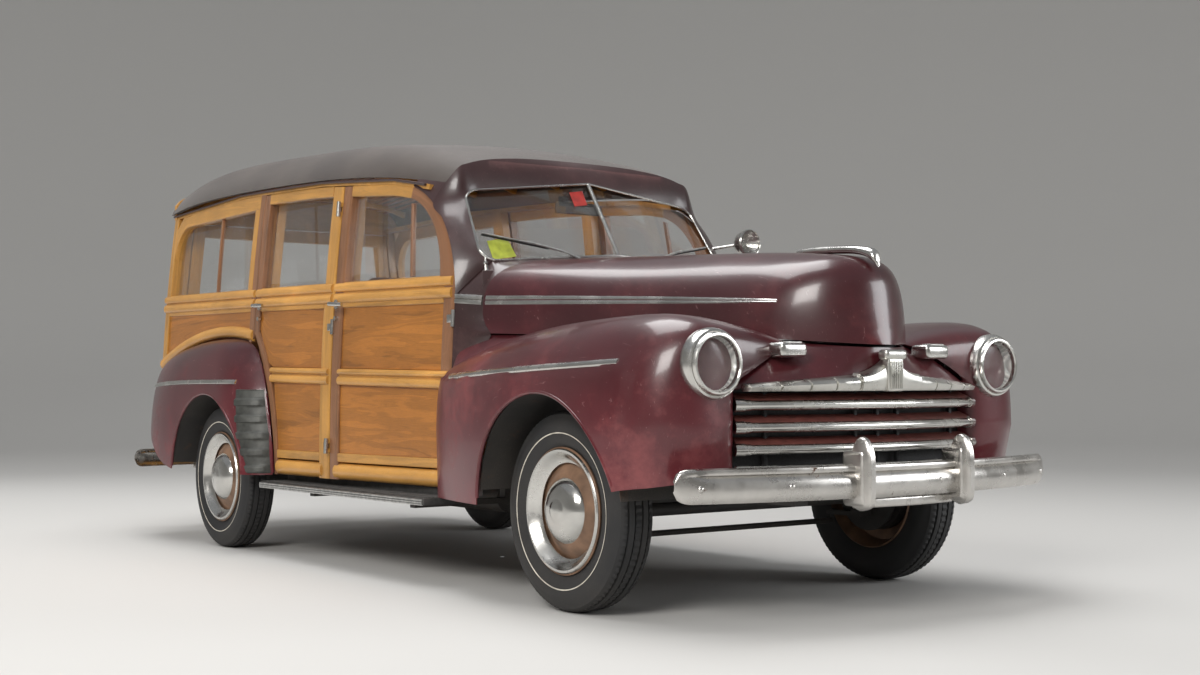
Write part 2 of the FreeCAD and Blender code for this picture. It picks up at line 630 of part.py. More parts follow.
# Hood
HOOD_STATIONS = (
    # x, half width, waist height, crown height, low edge
    (872.0, 658.0, 1120.0, 1279.0, 976.0),
    (1400.0, 476.0, 1090.0, 1262.0, 954.0),
    (1900.0, 336.0, 1070.0, 1240.0, 936.0),
    (2220.0, 246.0, 1040.0, 1206.0, 926.0),
    (2372.0, 70.0, 980.0, 1130.0, 912.0),
)
HOOD_T = 12.0
hood = loft([hood_wire(*s) for s in HOOD_STATIONS])
hood_hollow = loft([hood_wire(s[0] + e, s[1], s[2], s[3], s[4], HOOD_T)
                    for s, e in zip(HOOD_STATIONS, (-1.0, 0.0, 0.0, 0.0, -16.0))])
hood = hood.cut(hood_hollow).cut(seam_room(700.0, MOVING_GAP))
ornament = side_prism([(1960.0, 1226.0), (2040.0, 1246.0), ((2200.0, 1256.0), (2345.0, 1205.0)), (2330.0, 1170.0), (1960.0, 1216.0)], -16.0, 16.0)
arms = []
for side in (1.0, -1.0):
    y = side * HOOD_ARM_Y
    pivot = V(HOOD_PIVOT.x, y, HOOD_PIVOT.z - 3.0)
    arm = box(pivot.x, COWL_X + 90.0, y - 5.0, y + 5.0, pivot.z - 14.0, pivot.z + 6.0)
    pad = box(COWL_X + 30.0, COWL_X + 90.0, y - 5.0, y + 5.0, pivot.z, pivot.z + ARM_PAD_H)
    arm = arm.fuse([pad, Part.makeCylinder(8.0, 10.0, V(pivot.x, y - 5.0, pivot.z), Y_AXIS)])
    arms.append(arm.cut(Part.makeCylinder(HOOD_PIN_R + RUNNING_GAP, 40.0, V(pivot.x, y - 20.0, pivot.z), Y_AXIS)))
hood = fuse([hood, ornament.cut(hood_hollow)] + arms)

# Front fenders
GRILLE_HALF = 560.0
HOOD_BY_X = tuple(reversed(HOOD_STATIONS))
FENDER_STATIONS = (
    # x, crown y, crown z, shoulder y, shoulder z, outer y, outer z, low edge
    (2268.0, 650.0, 950.0, 742.0, 905.0, 782.0, 790.0, 462.0),
    (2200.0, 665.0, 978.0, 800.0, 910.0, 850.0, 775.0, 452.0),
    (2050.0, 670.0, 1000.0, 845.0, 915.0, 900.0, 760.0, 430.0),
    (1655.0, 655.0, 992.0, 858.0, 895.0, 920.0, 730.0, 345.0),
    (1200.0, 680.0, 945.0, 835.0, 865.0, 893.0, 720.0, 345.0),
    (800.0, 712.0, 836.0, 760.0, 815.0, 789.0, 740.0, 345.0),
)
FENDER_T = 14.0
ARCH_R = 398.0
FRONT_ARCH_X = FRONT_AXLE_X + 12.0


SEAM_GAP = 9.0
FLANGE = 20.0


def fender_wire(s, inset=0.0):
    x, yc, zc, ys, zs, yo, zo, low = s
    seam = lookup(HOOD_BY_X, x, 1)
    zi = min(lookup(HOOD_BY_X, x, 4) - SEAM_GAP, zc - 10.0) - inset
    yi = seam - FLANGE + inset
    low -= 40.0 if inset else 0.0
    shoulder = (ys - 0.7 * inset, zs - 0.7 * inset)
    return section_wire(x, [(yi, low), (yi, zi), (seam + 5.0 + inset, zi), (yc, zc - inset),
                            (shoulder, (yo - inset, zo)), (yo - inset, low)])


front_solid = loft([fender_wire(s) for s in FENDER_STATIONS])
inner_stations = [(s[0] + e,) + s[1:] for s, e in zip(FENDER_STATIONS, (-FENDER_T, 0, 0, 0, 0, FENDER_T))]
front_fender = front_solid.cut(loft([fender_wire(s, FENDER_T) for s in inner_stations]))
front_fender = front_fender.cut(rod((FRONT_ARCH_X, 500.0, TYRE_R), (FRONT_ARCH_X, 1000.0, TYRE_R), ARCH_R))
front_fender = front_fender.cut(box(1120.0, 2140.0, 200.0, 600.0, 300.0, 780.0))
front_fender = front_fender.cut(box(2100.0, 2400.0, 0.0, GRILLE_HALF + 5.0, 300.0, 780.0))
front_fender = front_fender.cut(box(2300.0, 2400.0, 0.0, 480.0, 300.0, 1000.0))

# Rear fenders
REAR_FENDER_STATIONS = (
    # x, outer y, top z, low edge
    (-770.0, 812.0, 700.0, 372.0),
    (-900.0, 880.0, 905.0, 372.0),
    (-1060.0, 926.0, 982.0, 372.0),
    (-1300.0, 930.5, 1010.0, 372.0),
    (-1700.0, 912.0, 988.0, 372.0),
    (-2080.0, 850.0, 925.0, 480.0),
    (REAR_X, 785.0, 878.0, 600.0),
)


def rear_fender_wire(s, inset=0.0):
    x, yo, zt, low = s
    yi = half_width(x) - 20.0 - inset
    yo -= inset
    zt -= inset
    low -= 40.0 if inset else 0.0
    return section_wire(x, [(yi, low), (yi, zt), ((yi + 0.72 * (yo - yi), zt - 0.30 * (yo - yi)), (yo, zt - 1.05 * (yo - yi))), (yo, low)])


rear_fender = loft([rear_fender_wire(s) for s in REAR_FENDER_STATIONS])
inner_stations = [(s[0] + e,) + s[1:] for s, e in zip(REAR_FENDER_STATIONS, (-FENDER_T, 0, 0, 0, 0, 0, FENDER_T))]
rear_fender = rear_fender.cut(loft([rear_fender_wire(s, FENDER_T) for s in inner_stations]))
rear_fender = rear_fender.cut(rod((REAR_AXLE_X, 600.0, TYRE_R), (REAR_AXLE_X, 1000.0, TYRE_R), ARCH_R))
outside = side_slab(-200.0, 200.0 - SEAT_GAP)
outside = outside.common(box(-2250.0, 0, 0, 1200, SILL_Z, SIDE_TOP_Z))
rear_fender = rear_fender.common(outside).cut(side_cutter(rear_door_outline(LEAF_GAP - MOVING_GAP)))

# Nose panel, grille and lamps
NOSE_PLAN = ((2262.0, 590.0), (2348.0, 260.0), (2392.0, 0.0))
(nx, ny), (mx, my), (cx, cy) = NOSE_PLAN
nose_plan = [(2180.0, -ny), (nx, -ny), ((mx, -my), (cx, 0.0)), ((mx, my), (nx, ny)), (2180.0, ny)]
NOSE_T = 26.0
nose_panel = plan_prism(nose_plan, 474.0, 905.0)
nose_back = [(x - NOSE_T, y) for x, y in NOSE_PLAN]
(bx, by), (dx, dy), (ex, ey) = nose_back
nose_panel = nose_panel.cut(plan_prism([(2100.0, -by), (bx, -by), ((dx, -dy), (ex, 0.0)), ((dx, dy), (bx, by)), (2100.0, by)], 440.0, 880.0))
nose_panel = nose_panel.cut(box(2100.0, 2500.0, -GRILLE_HALF - SEAT_GAP, GRILLE_HALF + SEAT_GAP, 489.7, 770.3))
nose_panel = nose_panel.cut(front_solid).cut(mirrored(front_solid))
grille_parts = []


def bowed_bar(half, end_x, mid_x, depth, z0, z1):
    """Bar across the car, bowed forward in plan."""
    return plan_prism([(end_x, -half), ((mid_x, 0.0), (end_x, half)), (end_x - depth, half),
                       ((mid_x - depth, 0.0), (end_x - depth, -half))], z0, z1)


for z in (700.0, 634.0, 568.0, 505.0):
    grille_parts.append(bowed_bar(GRILLE_HALF, 2262.0, 2345.0, 30.0, z - 15.0, z + 15.0))
grille_parts.append(bowed_bar(GRILLE_HALF - 10.0, 2266.0, 2360.0, 26.0, 740.0, 770.0))
for y in (-400.0, 0.0, 400.0):
    x_back = 2232.0 + 80.0 * (1.0 - (y / GRILLE_HALF) ** 2)
    grille_parts.append(box(x_back - 4.0, x_back + 18.0, y - 12.0, y + 12.0, 490.0, 770.0))
grille = fuse(grille_parts)
LAMP = (2289.0, 667.0, 836.0)
LAMP_R = 114.0
lamp = Part.makeCylinder(LAMP_R, 60.0, V(LAMP[0] - 40.0, LAMP[1], LAMP[2]), X_AXIS)
PARK = (2285.0, 342.0, 884.0)
park = box(PARK[0] - 20.0, PARK[0] + 30.0, PARK[1] - 48.0, PARK[1] + 48.0, PARK[2] - 18.0, PARK[2] + 18.0)
lamp_pocket = Part.makeCylinder(LAMP_R + SEAT_GAP, 200.0, V(LAMP[0] - 40.0 - SEAT_GAP, LAMP[1], LAMP[2]), X_AXIS)
park_pocket = box(PARK[0] - 20.0, PARK[0] + 200.0, PARK[1] - 48.0, PARK[1] + 48.0, PARK[2] - 18.0, PARK[2] + 18.0)
front_fender = front_fender.cut([lamp_pocket, park_pocket, cowl_outer])
nose_panel = nose_panel.cut(both(park_pocket) + both(lamp_pocket))

# Bumpers
def bumper(end_x, mid_x, half, z0, z1, depth):
    return bowed_bar(half, end_x, mid_x, depth, z0, z1)


front_bumper = [bumper(2330.0, 2490.0, 869.0, 405.0, 515.0, 24.0)]
for y in (-234.0, 234.0):
    front_bumper.append(box(2452.0, 2509.0, y - 26.0, y + 26.0, 365.0, 602.0))
for y in (-358.0, 358.0):
    front_bumper.append(box(2345.0, 2452.0, y - 22.0, y + 22.0, 415.0, 465.0))
front_bumper = fuse(front_bumper)
rear_bumper = [bumper(-2385.0, -2500.0, 860.0, 352.0, 448.0, -22.0)]
for y in (-358.0, 358.0):
    rear_bumper.append(box(-2480.0, -2203.0, y - 20.0, y + 20.0, 430.0, 470.0))
    rear_bumper.append(box(-2490.0, -2460.0, y - 20.0, y + 20.0, 376.0, 470.0))
for y in (-480.0, 480.0):
    rear_bumper.append(box(-2509.0, -2466.0, y - 24.0, y + 24.0, 330.0, 490.0))
rear_bumper = fuse(rear_bumper)

# Frame
FRONT_RAIL_LOW_Z = 380.0
REAR_RAIL_LOW_Z = 510.0
RAIL_Y = 330.0
RUNNING_BOARD_Z = 318.0
RAIL_W = 56.0
BRACKET_LOW_Z = RUNNING_BOARD_Z - 22.0
rails = []
for side in (1.0, -1.0):
    y0 = min(side * RAIL_Y, side * (RAIL_Y + RAIL_W))
    rails.append(side_prism([
        (2345.0, FRONT_RAIL_LOW_Z), (2345.0, 470.0), (1300.0, 490.0), (-700.0, 490.0), (-1000.0, 600.0),
        (-1500.0, 600.0), (-1800.0, 540.0), (-2203.0, 502.0), (-2203.0, 422.0), (-1800.0, 450.0),
        (-1500.0, REAR_RAIL_LOW_Z), (-1050.0, REAR_RAIL_LOW_Z), (-760.0, FRONT_RAIL_LOW_Z)], y0, y0 + RAIL_W))
cross_members = []
# x, low edge, high edge
for x, z0, z1 in ((2250.0, 390.0, 440.0), (FRONT_AXLE_X, FRONT_RAIL_LOW_Z, 480.0), (700.0, 388.0, 424.0),
                  (-500.0, 436.0, 476.0), (REAR_AXLE_X, REAR_RAIL_LOW_Z, 590.0), (-2167.0, 430.0, 495.0)):
    cross_members.append(box(x - 35.0, x + 35.0, -RAIL_Y, RAIL_Y, z0, z1))
for x in (600.0, -300.0):
    outrigger = box(x - 30.0, x + 30.0, RAIL_Y + RAIL_W, 660.0, 400.0, 450.0)
    bracket = fuse([box(x - 20.0, x + 20.0, RAIL_Y + 6.0, 800.0, BRACKET_LOW_Z, RUNNING_BOARD_Z),
                    box(x - 20.0, x + 20.0, RAIL_Y + 6.0, RAIL_Y + RAIL_W - 6.0, BRACKET_LOW_Z, FRONT_RAIL_LOW_Z)])
    cross_members += both(outrigger) + both(bracket)
TOW_HOLE_R = 9.6
TOW_HOLE_X = -2180.0
tow_hole = rod((TOW_HOLE_X, 0.0, 400.0), (TOW_HOLE_X, 0.0, 520.0), TOW_HOLE_R)
frame_rails = [rail.cut(body_frame) for rail in rails]
cross_members = [member.cut(body_frame).cut(tow_hole) for member in cross_members]

engine_block = fuse([box(1260.0, 1900.0, -150.0, 150.0, 480.0, 900.0), box(970.0, 1262.0, -110.0, 110.0, 430.0, 640.0)])

# Axles
def beam(half, x, z, r):
    return rod((x, -half, z), (x, half, z), r)


axle_z = 330.0
front_axle = [beam(KINGPIN_Y - 20.0, FRONT_AXLE_X, axle_z, 24.0)]
for side in (1.0, -1.0):
    front_axle.append(Part.makeCylinder(26.0, 90.0, V(FRONT_AXLE_X, side * KINGPIN_Y, axle_z - 45.0), Z_AXIS))
    front_axle.append(rod((FRONT_AXLE_X - 10.0, side * 500.0, axle_z - 6.0), (760.0, side * 90.0, 372.0), 14.0))
front_axle.append(box(FRONT_AXLE_X - 28.0, FRONT_AXLE_X + 28.0, -470.0, 470.0, 356.0, FRONT_RAIL_LOW_Z))
for side in (1.0, -1.0):
    front_axle.append(rod((FRONT_AXLE_X, side * 450.0, axle_z), (FRONT_AXLE_X, side * 450.0, 370.0), 14.0))
front_axle = fuse(front_axle)
for side in (1.0, -1.0):
    front_axle = front_axle.cut(Part.makeCylinder(KINGPIN_R + RUNNING_GAP, 200.0, V(FRONT_AXLE_X, side * KINGPIN_Y, axle_z - 100.0), Z_AXIS))
rear_axle = [beam(REAR_HALF_TRACK - 74.0, REAR_AXLE_X, TYRE_R, 38.0)]
rear_axle.append(Part.makeSphere(135.0, V(REAR_AXLE_X, 0, TYRE_R)))
rear_axle.append(rod((REAR_AXLE_X, 0, TYRE_R), (966.0, 0, 480.0), 32.0))
rear_axle.append(box(REAR_AXLE_X - 32.0, REAR_AXLE_X + 32.0, -520.0, 520.0, REAR_RAIL_LOW_Z - 32.0, REAR_RAIL_LOW_Z))
for side in (1.0, -1.0):
    rear_axle.append(rod((REAR_AXLE_X, side * 500.0, TYRE_R), (REAR_AXLE_X, side * 500.0, 490.0), 16.0))
    rear_axle.append(rod((REAR_AXLE_X, side * (REAR_HALF_TRACK - 76.0), TYRE_R), (REAR_AXLE_X, side * (REAR_HALF_TRACK + 20.0), TYRE_R), SPINDLE_R))
rear_axle = fuse(rear_axle)

# Wheels, modelled at the origin with the outer side towards +Y
def revolved(outline):
    """Solid of revolution about Y from (radius, y) points and arcs."""
    def lift(p):
        return tuple(lift(q) for q in p) if isinstance(p[0], tuple) else (p[0], p[1], 0.0)
    return Part.Face(path_wire([lift(p) for p in outline])).revolve(V(0, 0, 0), Y_AXIS, 360.0)


half_w = TYRE_W / 2.0
half_t = TREAD_W / 2.0
tyre = revolved([
    (RIM_R + 4.0, -RIM_HALF_W + 14.0), (RIM_R + 4.0, RIM_HALF_W - 14.0), (RIM_LIP_R + 0.5, RIM_HALF_W - 8.0),
    ((272.0, half_w), (TYRE_R - 12.0, half_t)), ((TYRE_R, 0.0), (TYRE_R - 12.0, -half_t)),
    ((272.0, -half_w), (RIM_LIP_R + 0.5, -RIM_HALF_W + 8.0))])
DISC_Y = 18.0
wheel = revolved([
    (SPINDLE_R + RUNNING_GAP, -30.0), (HUB_R, -30.0), (HUB_R, DISC_Y - DISC_T), (95.0, DISC_Y + 12.0), (150.0, DISC_Y - DISC_T + 10.0),
    (RIM_R - RIM_WALL, -RIM_HALF_W + 30.0), (RIM_R - RIM_WALL - 6.0, -RIM_HALF_W + 8.0), (RIM_LIP_R, -RIM_HALF_W), (RIM_LIP_R, -RIM_HALF_W + 7.0),
    (RIM_R + 3.7, -RIM_HALF_W + 12.0), (RIM_R + 3.7, RIM_HALF_W - 12.0), (RIM_LIP_R, RIM_HALF_W - 7.0), (RIM_LIP_R, RIM_HALF_W),
    (RIM_R - RIM_WALL, RIM_HALF_W - 10.0), (RIM_R - RIM_WALL, DISC_Y - 10.0), (160.0, DISC_Y + 14.0), (HUBCAP_R, DISC_Y + 20.0),
    ((86.0, DISC_Y + 46.0), (1.0, DISC_Y + 20.0 + HUBCAP_H)), (0.0, DISC_Y + 20.0 + HUBCAP_H), (0.0, DISC_Y + 12.0), (SPINDLE_R + RUNNING_GAP, DISC_Y + 12.0)])

# Knuckle at the origin of the left front wheel: kingpin, spindle, arm, brake drum backing
knuckle_parts = [
    Part.makeCylinder(KINGPIN_R, 150.0, V(0, KINGPIN_Y - FRONT_HALF_TRACK, axle_z - TYRE_R - 75.0), Z_AXIS),
]
fork_y = KINGPIN_Y - FRONT_HALF_TRACK
for z0 in (axle_z - TYRE_R - 75.0, axle_z - TYRE_R + 50.0):
    knuckle_parts.append(box(-24.0, 24.0, fork_y - 24.0, fork_y + 44.0, z0, z0 + 25.0))
knuckle_parts.append(box(-24.0, 24.0, fork_y + 32.0, fork_y + 46.0, axle_z - TYRE_R - 75.0, axle_z - TYRE_R + 75.0))
knuckle_parts.append(rod((0, fork_y + 40.0, 0), (0, DISC_Y + 6.0, 0), SPINDLE_R))
knuckle_parts.append(rod((0, fork_y + 44.0, 0), (0, fork_y + 52.0, 0), DRUM_R))
arm_z = STEER_ARM_Z - TYRE_R
knuckle_parts.append(box(-STEER_ARM - 20.0, 20.0, fork_y - 16.0, fork_y + 16.0, arm_z - 9.0, arm_z + 9.0))
left_knuckle = fuse(knuckle_parts)
left_knuckle = left_knuckle.cut(rod((-STEER_ARM, fork_y, arm_z - 30.0), (-STEER_ARM, fork_y, arm_z + 30.0), TIE_PIN_R + PIN_GAP))
left_knuckle.translate(V(FRONT_AXLE_X, FRONT_HALF_TRACK, TYRE_R))
tie_x = FRONT_AXLE_X - STEER_ARM
tie_z = STEER_ARM_Z - 34.0
tie_rod = fuse([rod((tie_x, -KINGPIN_Y, tie_z), (tie_x, KINGPIN_Y, tie_z), TIE_ROD_R)]
               + [rod((tie_x, s * KINGPIN_Y, tie_z - 10.0), (tie_x, s * KINGPIN_Y, STEER_ARM_Z + 14.0), TIE_PIN_R) for s in (1.0, -1.0)])

# Floor, dashboard, seats
floor_parts = [box(REAR_X + DOOR_T, -420.0, -560.0, 560.0, FLOOR_Z - FLOOR_T, FLOOR_Z),
               box(-440.0, -420.0, -720.0, 720.0, 540.0, FLOOR_Z),
               box(-440.0, 762.0, -720.0, 720.0, 528.0, 550.0)]
toe_board = side_prism([(760.0, 528.0), (FIREWALL_X - 2.0, 618.0), (FIREWALL_X - 2.0, 640.0), (752.0, 550.0)], -600.0, 600.0)
floor_parts.append(toe_board)
for x in (500.0, 0.0):
    floor_parts.append(box(x - 35.0, x + 35.0, -640.0, 640.0, 490.0, 530.0))
for x in (-1000.0, -1500.0):
    floor_parts.append(box(x - 30.0, x + 30.0, -500.0, 500.0, 600.0, FLOOR_Z - FLOOR_T + 2.0))
WELL_X0 = REAR_AXLE_X - 430.0
WELL_X1 = REAR_AXLE_X + 430.0
for side in (1.0, -1.0):
    y0, y1 = sorted((side * 540.0, side * 720.0))
    floor_parts.append(box(REAR_X + DOOR_T, WELL_X0 + 10.0, y0, y1, FLOOR_Z - FLOOR_T, FLOOR_Z))
    floor_parts.append(box(WELL_X1 - 10.0, -420.0, y0, y1, FLOOR_Z - FLOOR_T, FLOOR_Z))
    y2, y3 = sorted((side * 540.0, side * 560.0))
    floor_parts.append(box(WELL_X0, WELL_X1, y2, y3, FLOOR_Z - FLOOR_T, WELL_TOP_Z))
    floor_parts.append(box(WELL_X0, WELL_X1, y0, y1, WELL_TOP_Z - 20.0, WELL_TOP_Z))
    for x in (WELL_X0, WELL_X1 - 20.0):
        floor_parts.append(box(x, x + 20.0, y0, y1, FLOOR_Z - FLOOR_T, WELL_TOP_Z))
floor_pan = fuse(floor_parts)
inside = side_slab(DOOR_T + SEAT_GAP, 600.0)
inside = inside.fuse([mirrored(inside), box(REAR_X + DOOR_T, COWL_X, -400.0, 400.0, 400.0, 900.0)])
cowl_room = box(A_X, COWL_X, -560.0, 560.0, 400.0, 900.0)
floor_pan = floor_pan.common(inside.fuse(cowl_room)).cut(body_frame)
dashboard = box(712.0, 764.0, -640.0, 640.0, 1010.0, 1200.0).cut(cowl)
front_seat = fuse([box(-160.0, 310.0, -600.0, 600.0, 730.0, 880.0), side_prism([(-160.0, 730.0), (-20.0, 730.0), (-110.0, 1270.0), (-220.0, 1270.0)], -600.0, 600.0), box(-130.0, 270.0, -560.0, 560.0, 550.0, 732.0)])
middle_seat = fuse([box(-880.0, -440.0, -535.0, 535.0, 800.0, 930.0), side_prism([(-880.0, 800.0), (-760.0, 800.0), (-850.0, 1270.0), (-950.0, 1270.0)], -535.0, 535.0), box(-850.0, -480.0, -500.0, 500.0, 690.0, 802.0)])
rear_seat = fuse([box(-1700.0, -1260.0, -500.0, 500.0, 800.0, 930.0), side_prism([(-1700.0, 800.0), (-1580.0, 800.0), (-1670.0, 1270.0), (-1770.0, 1270.0)], -500.0, 500.0), box(-1660.0, -1300.0, -460.0, 460.0, 690.0, 802.0)])

# Steering column and wheel
COLUMN_LOW = V(1150.0, 358.0, 512.0)
COLUMN_TOP = V(500.0, 360.0, 1110.0)
column_dir = (COLUMN_TOP - COLUMN_LOW).normalize()
steering_column = Part.makeCylinder(22.0, (COLUMN_TOP - COLUMN_LOW).Length, COLUMN_LOW, column_dir)
steering_column = steering_column.fuse(Part.makeCylinder(8.0, (COLUMN_TOP - COLUMN_LOW).Length + 18.0, COLUMN_LOW, column_dir))
WHEEL_R = 215.0
hub_start = COLUMN_TOP + column_dir * 6.0
steering_wheel = [Part.makeTorus(WHEEL_R, 11.0, hub_start + column_dir * 20.0, column_dir),
                  Part.makeCylinder(34.0, 36.0, hub_start, column_dir)]
across = column_dir.cross(Y_AXIS).normalize()
for angle in (90.0, 210.0, 330.0):
    a = math.radians(angle)
    direction = Y_AXIS * math.cos(a) + across * math.sin(a)
    steering_wheel.append(Part.makeCylinder(7.0, WHEEL_R, hub_start + column_dir * 20.0, direction))
steering_wheel = fuse(steering_wheel).cut(Part.makeCylinder(8.0 + RUNNING_GAP, 30.0, COLUMN_TOP, column_dir))
cowl = cowl.cut(Part.makeCylinder(22.0 + SEAT_GAP, 900.0, COLUMN_LOW, column_dir))
dashboard = dashboard.cut(Part.makeCylinder(22.0 + SEAT_GAP, 900.0, COLUMN_LOW, column_dir))
floor_pan = floor_pan.cut(Part.makeCylinder(22.0 + SEAT_GAP, 900.0, COLUMN_LOW, column_dir))

# Spare wheel on a carrier that hangs from the tailgate
def to_spare(shape):
    placed = shape.copy()
    placed.rotate(V(0, 0, 0), Z_AXIS, 90.0)
    placed.translate(V(SPARE_X, 0.0, SPARE_Z))
    return placed


carrier = [rod((PIN_X, -95.0, PIN_Z), (PIN_X, 95.0, PIN_Z), 8.0),
           box(PIN_X - 9.0, PIN_X + 9.0, -45.0, 45.0, SPARE_Z - 60.0, PIN_Z + 8.0),
           rod((PIN_X, 0.0, SPARE_Z), (SPARE_X - 20.0, 0.0, SPARE_Z), 40.0)]
spare_wheel = fuse([to_spare(wheel)] + carrier)
spare_tyre = to_spare(tyre)

# Lamps at the back, spotlight, exhaust and tank
TAIL_LAMP_R = 34.0
tail_lamp = rod((REAR_X, 700.0, 1000.0), (REAR_X - 36.0, 700.0, 1000.0), TAIL_LAMP_R)
SPOT = (862.0, 728.0, 1398.0)
spot_stem = rod((710.0, 640.0, 1380.0), SPOT, 7.0)
spotlight = fuse([spot_stem, rod((SPOT[0] - 46.0, SPOT[1], SPOT[2]), (SPOT[0] + 34.0, SPOT[1], SPOT[2]), 58.0)]).cut(cowl)
EXHAUST_R = 20.0
EXHAUST_Y = -230.0
EXHAUST_Z = 300.0
exhaust_path = ((1300.0, -150.0, 600.0), (1300.0, EXHAUST_Y, 560.0), (1180.0, EXHAUST_Y, EXHAUST_Z), (-900.0, EXHAUST_Y, EXHAUST_Z),
                (-1060.0, EXHAUST_Y, 440.0), (-1880.0, EXHAUST_Y, 440.0), (-2000.0, EXHAUST_Y, 380.0), (-2420.0, EXHAUST_Y, 380.0))
exhaust = []
for start, end in zip(exhaust_path, exhaust_path[1:]):
    exhaust.append(rod(start, end, EXHAUST_R))
for corner in exhaust_path[1:-1]:
    exhaust.append(Part.makeSphere(EXHAUST_R, V(*corner)))
exhaust.append(rod((-200.0, EXHAUST_Y, EXHAUST_Z), (420.0, EXHAUST_Y, EXHAUST_Z), 62.0))
exhaust = fuse(exhaust).cut(engine_block)
fuel_tank = box(-2090.0, -1600.0, -150.0, RAIL_Y, 430.0, 560.0).cut(cross_members)

running_board = plan_prism([(-760.0, 730.0), (-760.0, 840.0), (780.0, 850.0), (780.0, 712.0)], RUNNING_BOARD_Z, RUNNING_BOARD_Z + 26.0)
running_board = running_board.cut(cowl)

nodes = {
    "frame_rails": Part.makeCompound(frame_rails), "cross_members": Part.makeCompound(cross_members),
    "engine_block": engine_block, "front_axle": front_axle,
    "rear_axle": rear_axle, "floor_pan": floor_pan, "cowl": cowl, "dashboard": dashboard,
    "roof": roof, "body_frame": body_frame,
    "quarters": Part.makeCompound(both(left_quarter)),
    "front_fenders": Part.makeCompound(both(front_fender)),
    "rear_fenders": Part.makeCompound(both(rear_fender)),
    "nose_panel": nose_panel, "grille": grille,
    "front_lamps": Part.makeCompound(both(lamp) + both(park)),
    "front_bumper": front_bumper, "rear_bumper": rear_bumper,
    "running_boards": Part.makeCompound(both(running_board)),
    "front_seat": front_seat, "middle_seat": middle_seat, "rear_seat": rear_seat,
    "steering_column": steering_column, "steering_wheel": steering_wheel,
    "body_glass": Part.makeCompound(both(left_quarter_pane) + both(screen_pane)),
    "door_front_left": left_front_door, "door_front_right": mirrored(left_front_door),
    "door_rear_left": left_rear_door, "door_rear_right": mirrored(left_rear_door),
    "glass_front_left": left_front_pane, "glass_front_right": mirrored(left_front_pane),
    "glass_rear_left": left_rear_pane, "glass_rear_right": mirrored(left_rear_pane),
    "liftgate": liftgate, "liftgate_glass": lift_pane, "tailgate": tailgate,
    "hood": hood, "knuckle_left": left_knuckle, "knuckle_right": mirrored(left_knuckle),
    "tie_rod": tie_rod, "spare_wheel": spare_wheel, "spare_tyre": spare_tyre,
    "tail_lamps": Part.makeCompound(both(tail_lamp)), "spotlight": spotlight,
    "exhaust": exhaust, "fuel_tank": fuel_tank,
}
WHEEL_PLACES = {
    "front_left": (FRONT_AXLE_X, FRONT_HALF_TRACK), "rear_left": (REAR_AXLE_X, REAR_HALF_TRACK),
}
for place, (x, y) in WHEEL_PLACES.items():
    for kind, shape in (("tyre", tyre), ("wheel", wheel)):
        placed = shape.copy()
        placed.translate(V(x, y, TYRE_R))
        nodes[kind + "_" + place] = placed
        nodes[kind + "_" + place.replace("left", "right")] = mirrored(placed)

os.makedirs("parts", exist_ok=True)
for name, shape in nodes.items():
    shape.exportStep("parts/" + name + ".step")
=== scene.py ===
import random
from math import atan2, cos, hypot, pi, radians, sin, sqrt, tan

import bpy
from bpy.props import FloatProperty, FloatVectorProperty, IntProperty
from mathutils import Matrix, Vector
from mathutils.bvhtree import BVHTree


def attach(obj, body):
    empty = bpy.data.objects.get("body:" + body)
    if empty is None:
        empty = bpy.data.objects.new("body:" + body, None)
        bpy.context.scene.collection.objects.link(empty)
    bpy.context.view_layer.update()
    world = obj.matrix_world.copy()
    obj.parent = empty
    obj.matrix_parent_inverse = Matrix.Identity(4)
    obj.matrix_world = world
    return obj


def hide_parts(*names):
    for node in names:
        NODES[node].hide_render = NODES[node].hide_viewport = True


bl_info = {
    "name": "Wood-bodied wagon",
    "version": (1, 0, 0),
    "blender": (4, 5, 0),
    "location": "View3D > Sidebar > Wagon",
    "description": "Dresses the packed frame of a wood-bodied station wagon",
    "category": "Object",
}

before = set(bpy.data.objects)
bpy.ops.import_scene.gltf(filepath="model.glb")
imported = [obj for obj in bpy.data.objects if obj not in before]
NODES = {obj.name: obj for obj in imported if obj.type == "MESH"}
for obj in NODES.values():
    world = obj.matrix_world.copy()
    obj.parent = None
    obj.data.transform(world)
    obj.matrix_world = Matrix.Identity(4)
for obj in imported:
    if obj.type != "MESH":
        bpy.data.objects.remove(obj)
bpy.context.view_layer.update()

# Running gear, metres, in the frame's own axes: +X forward, +Y the car's left
FRONT_AXLE_X = 1.641
REAR_AXLE_X = -1.255
TYRE_R = 0.345
SIDES = {"left": 1.0, "right": -1.0}

# Body side: half width at the belt along the car, and how it leans in above and out below
SIDE_STATIONS = ((0.77, 0.704), (-0.181, 0.752), (-1.0, 0.762), (-2.25, 0.742))
BELT_Z = 1.14
SILL_Z = 0.366
SILL_FLARE = 0.024
TOP_Z = 1.77
TOP_LEAN = 0.066
A_X = 0.77
B_X = -0.181
C_X = -1.0
REAR_X = -2.25


def lookup(table, x, column=1):
    """Value of a column at x, by straight lines between stations that run backwards along the car."""
    for a, b in zip(table, table[1:]):
        if b[0] <= x <= a[0]:
            return a[column] + (b[column] - a[column]) * (x - a[0]) / (b[0] - a[0])
    return table[0][column] if x > table[0][0] else table[-1][column]


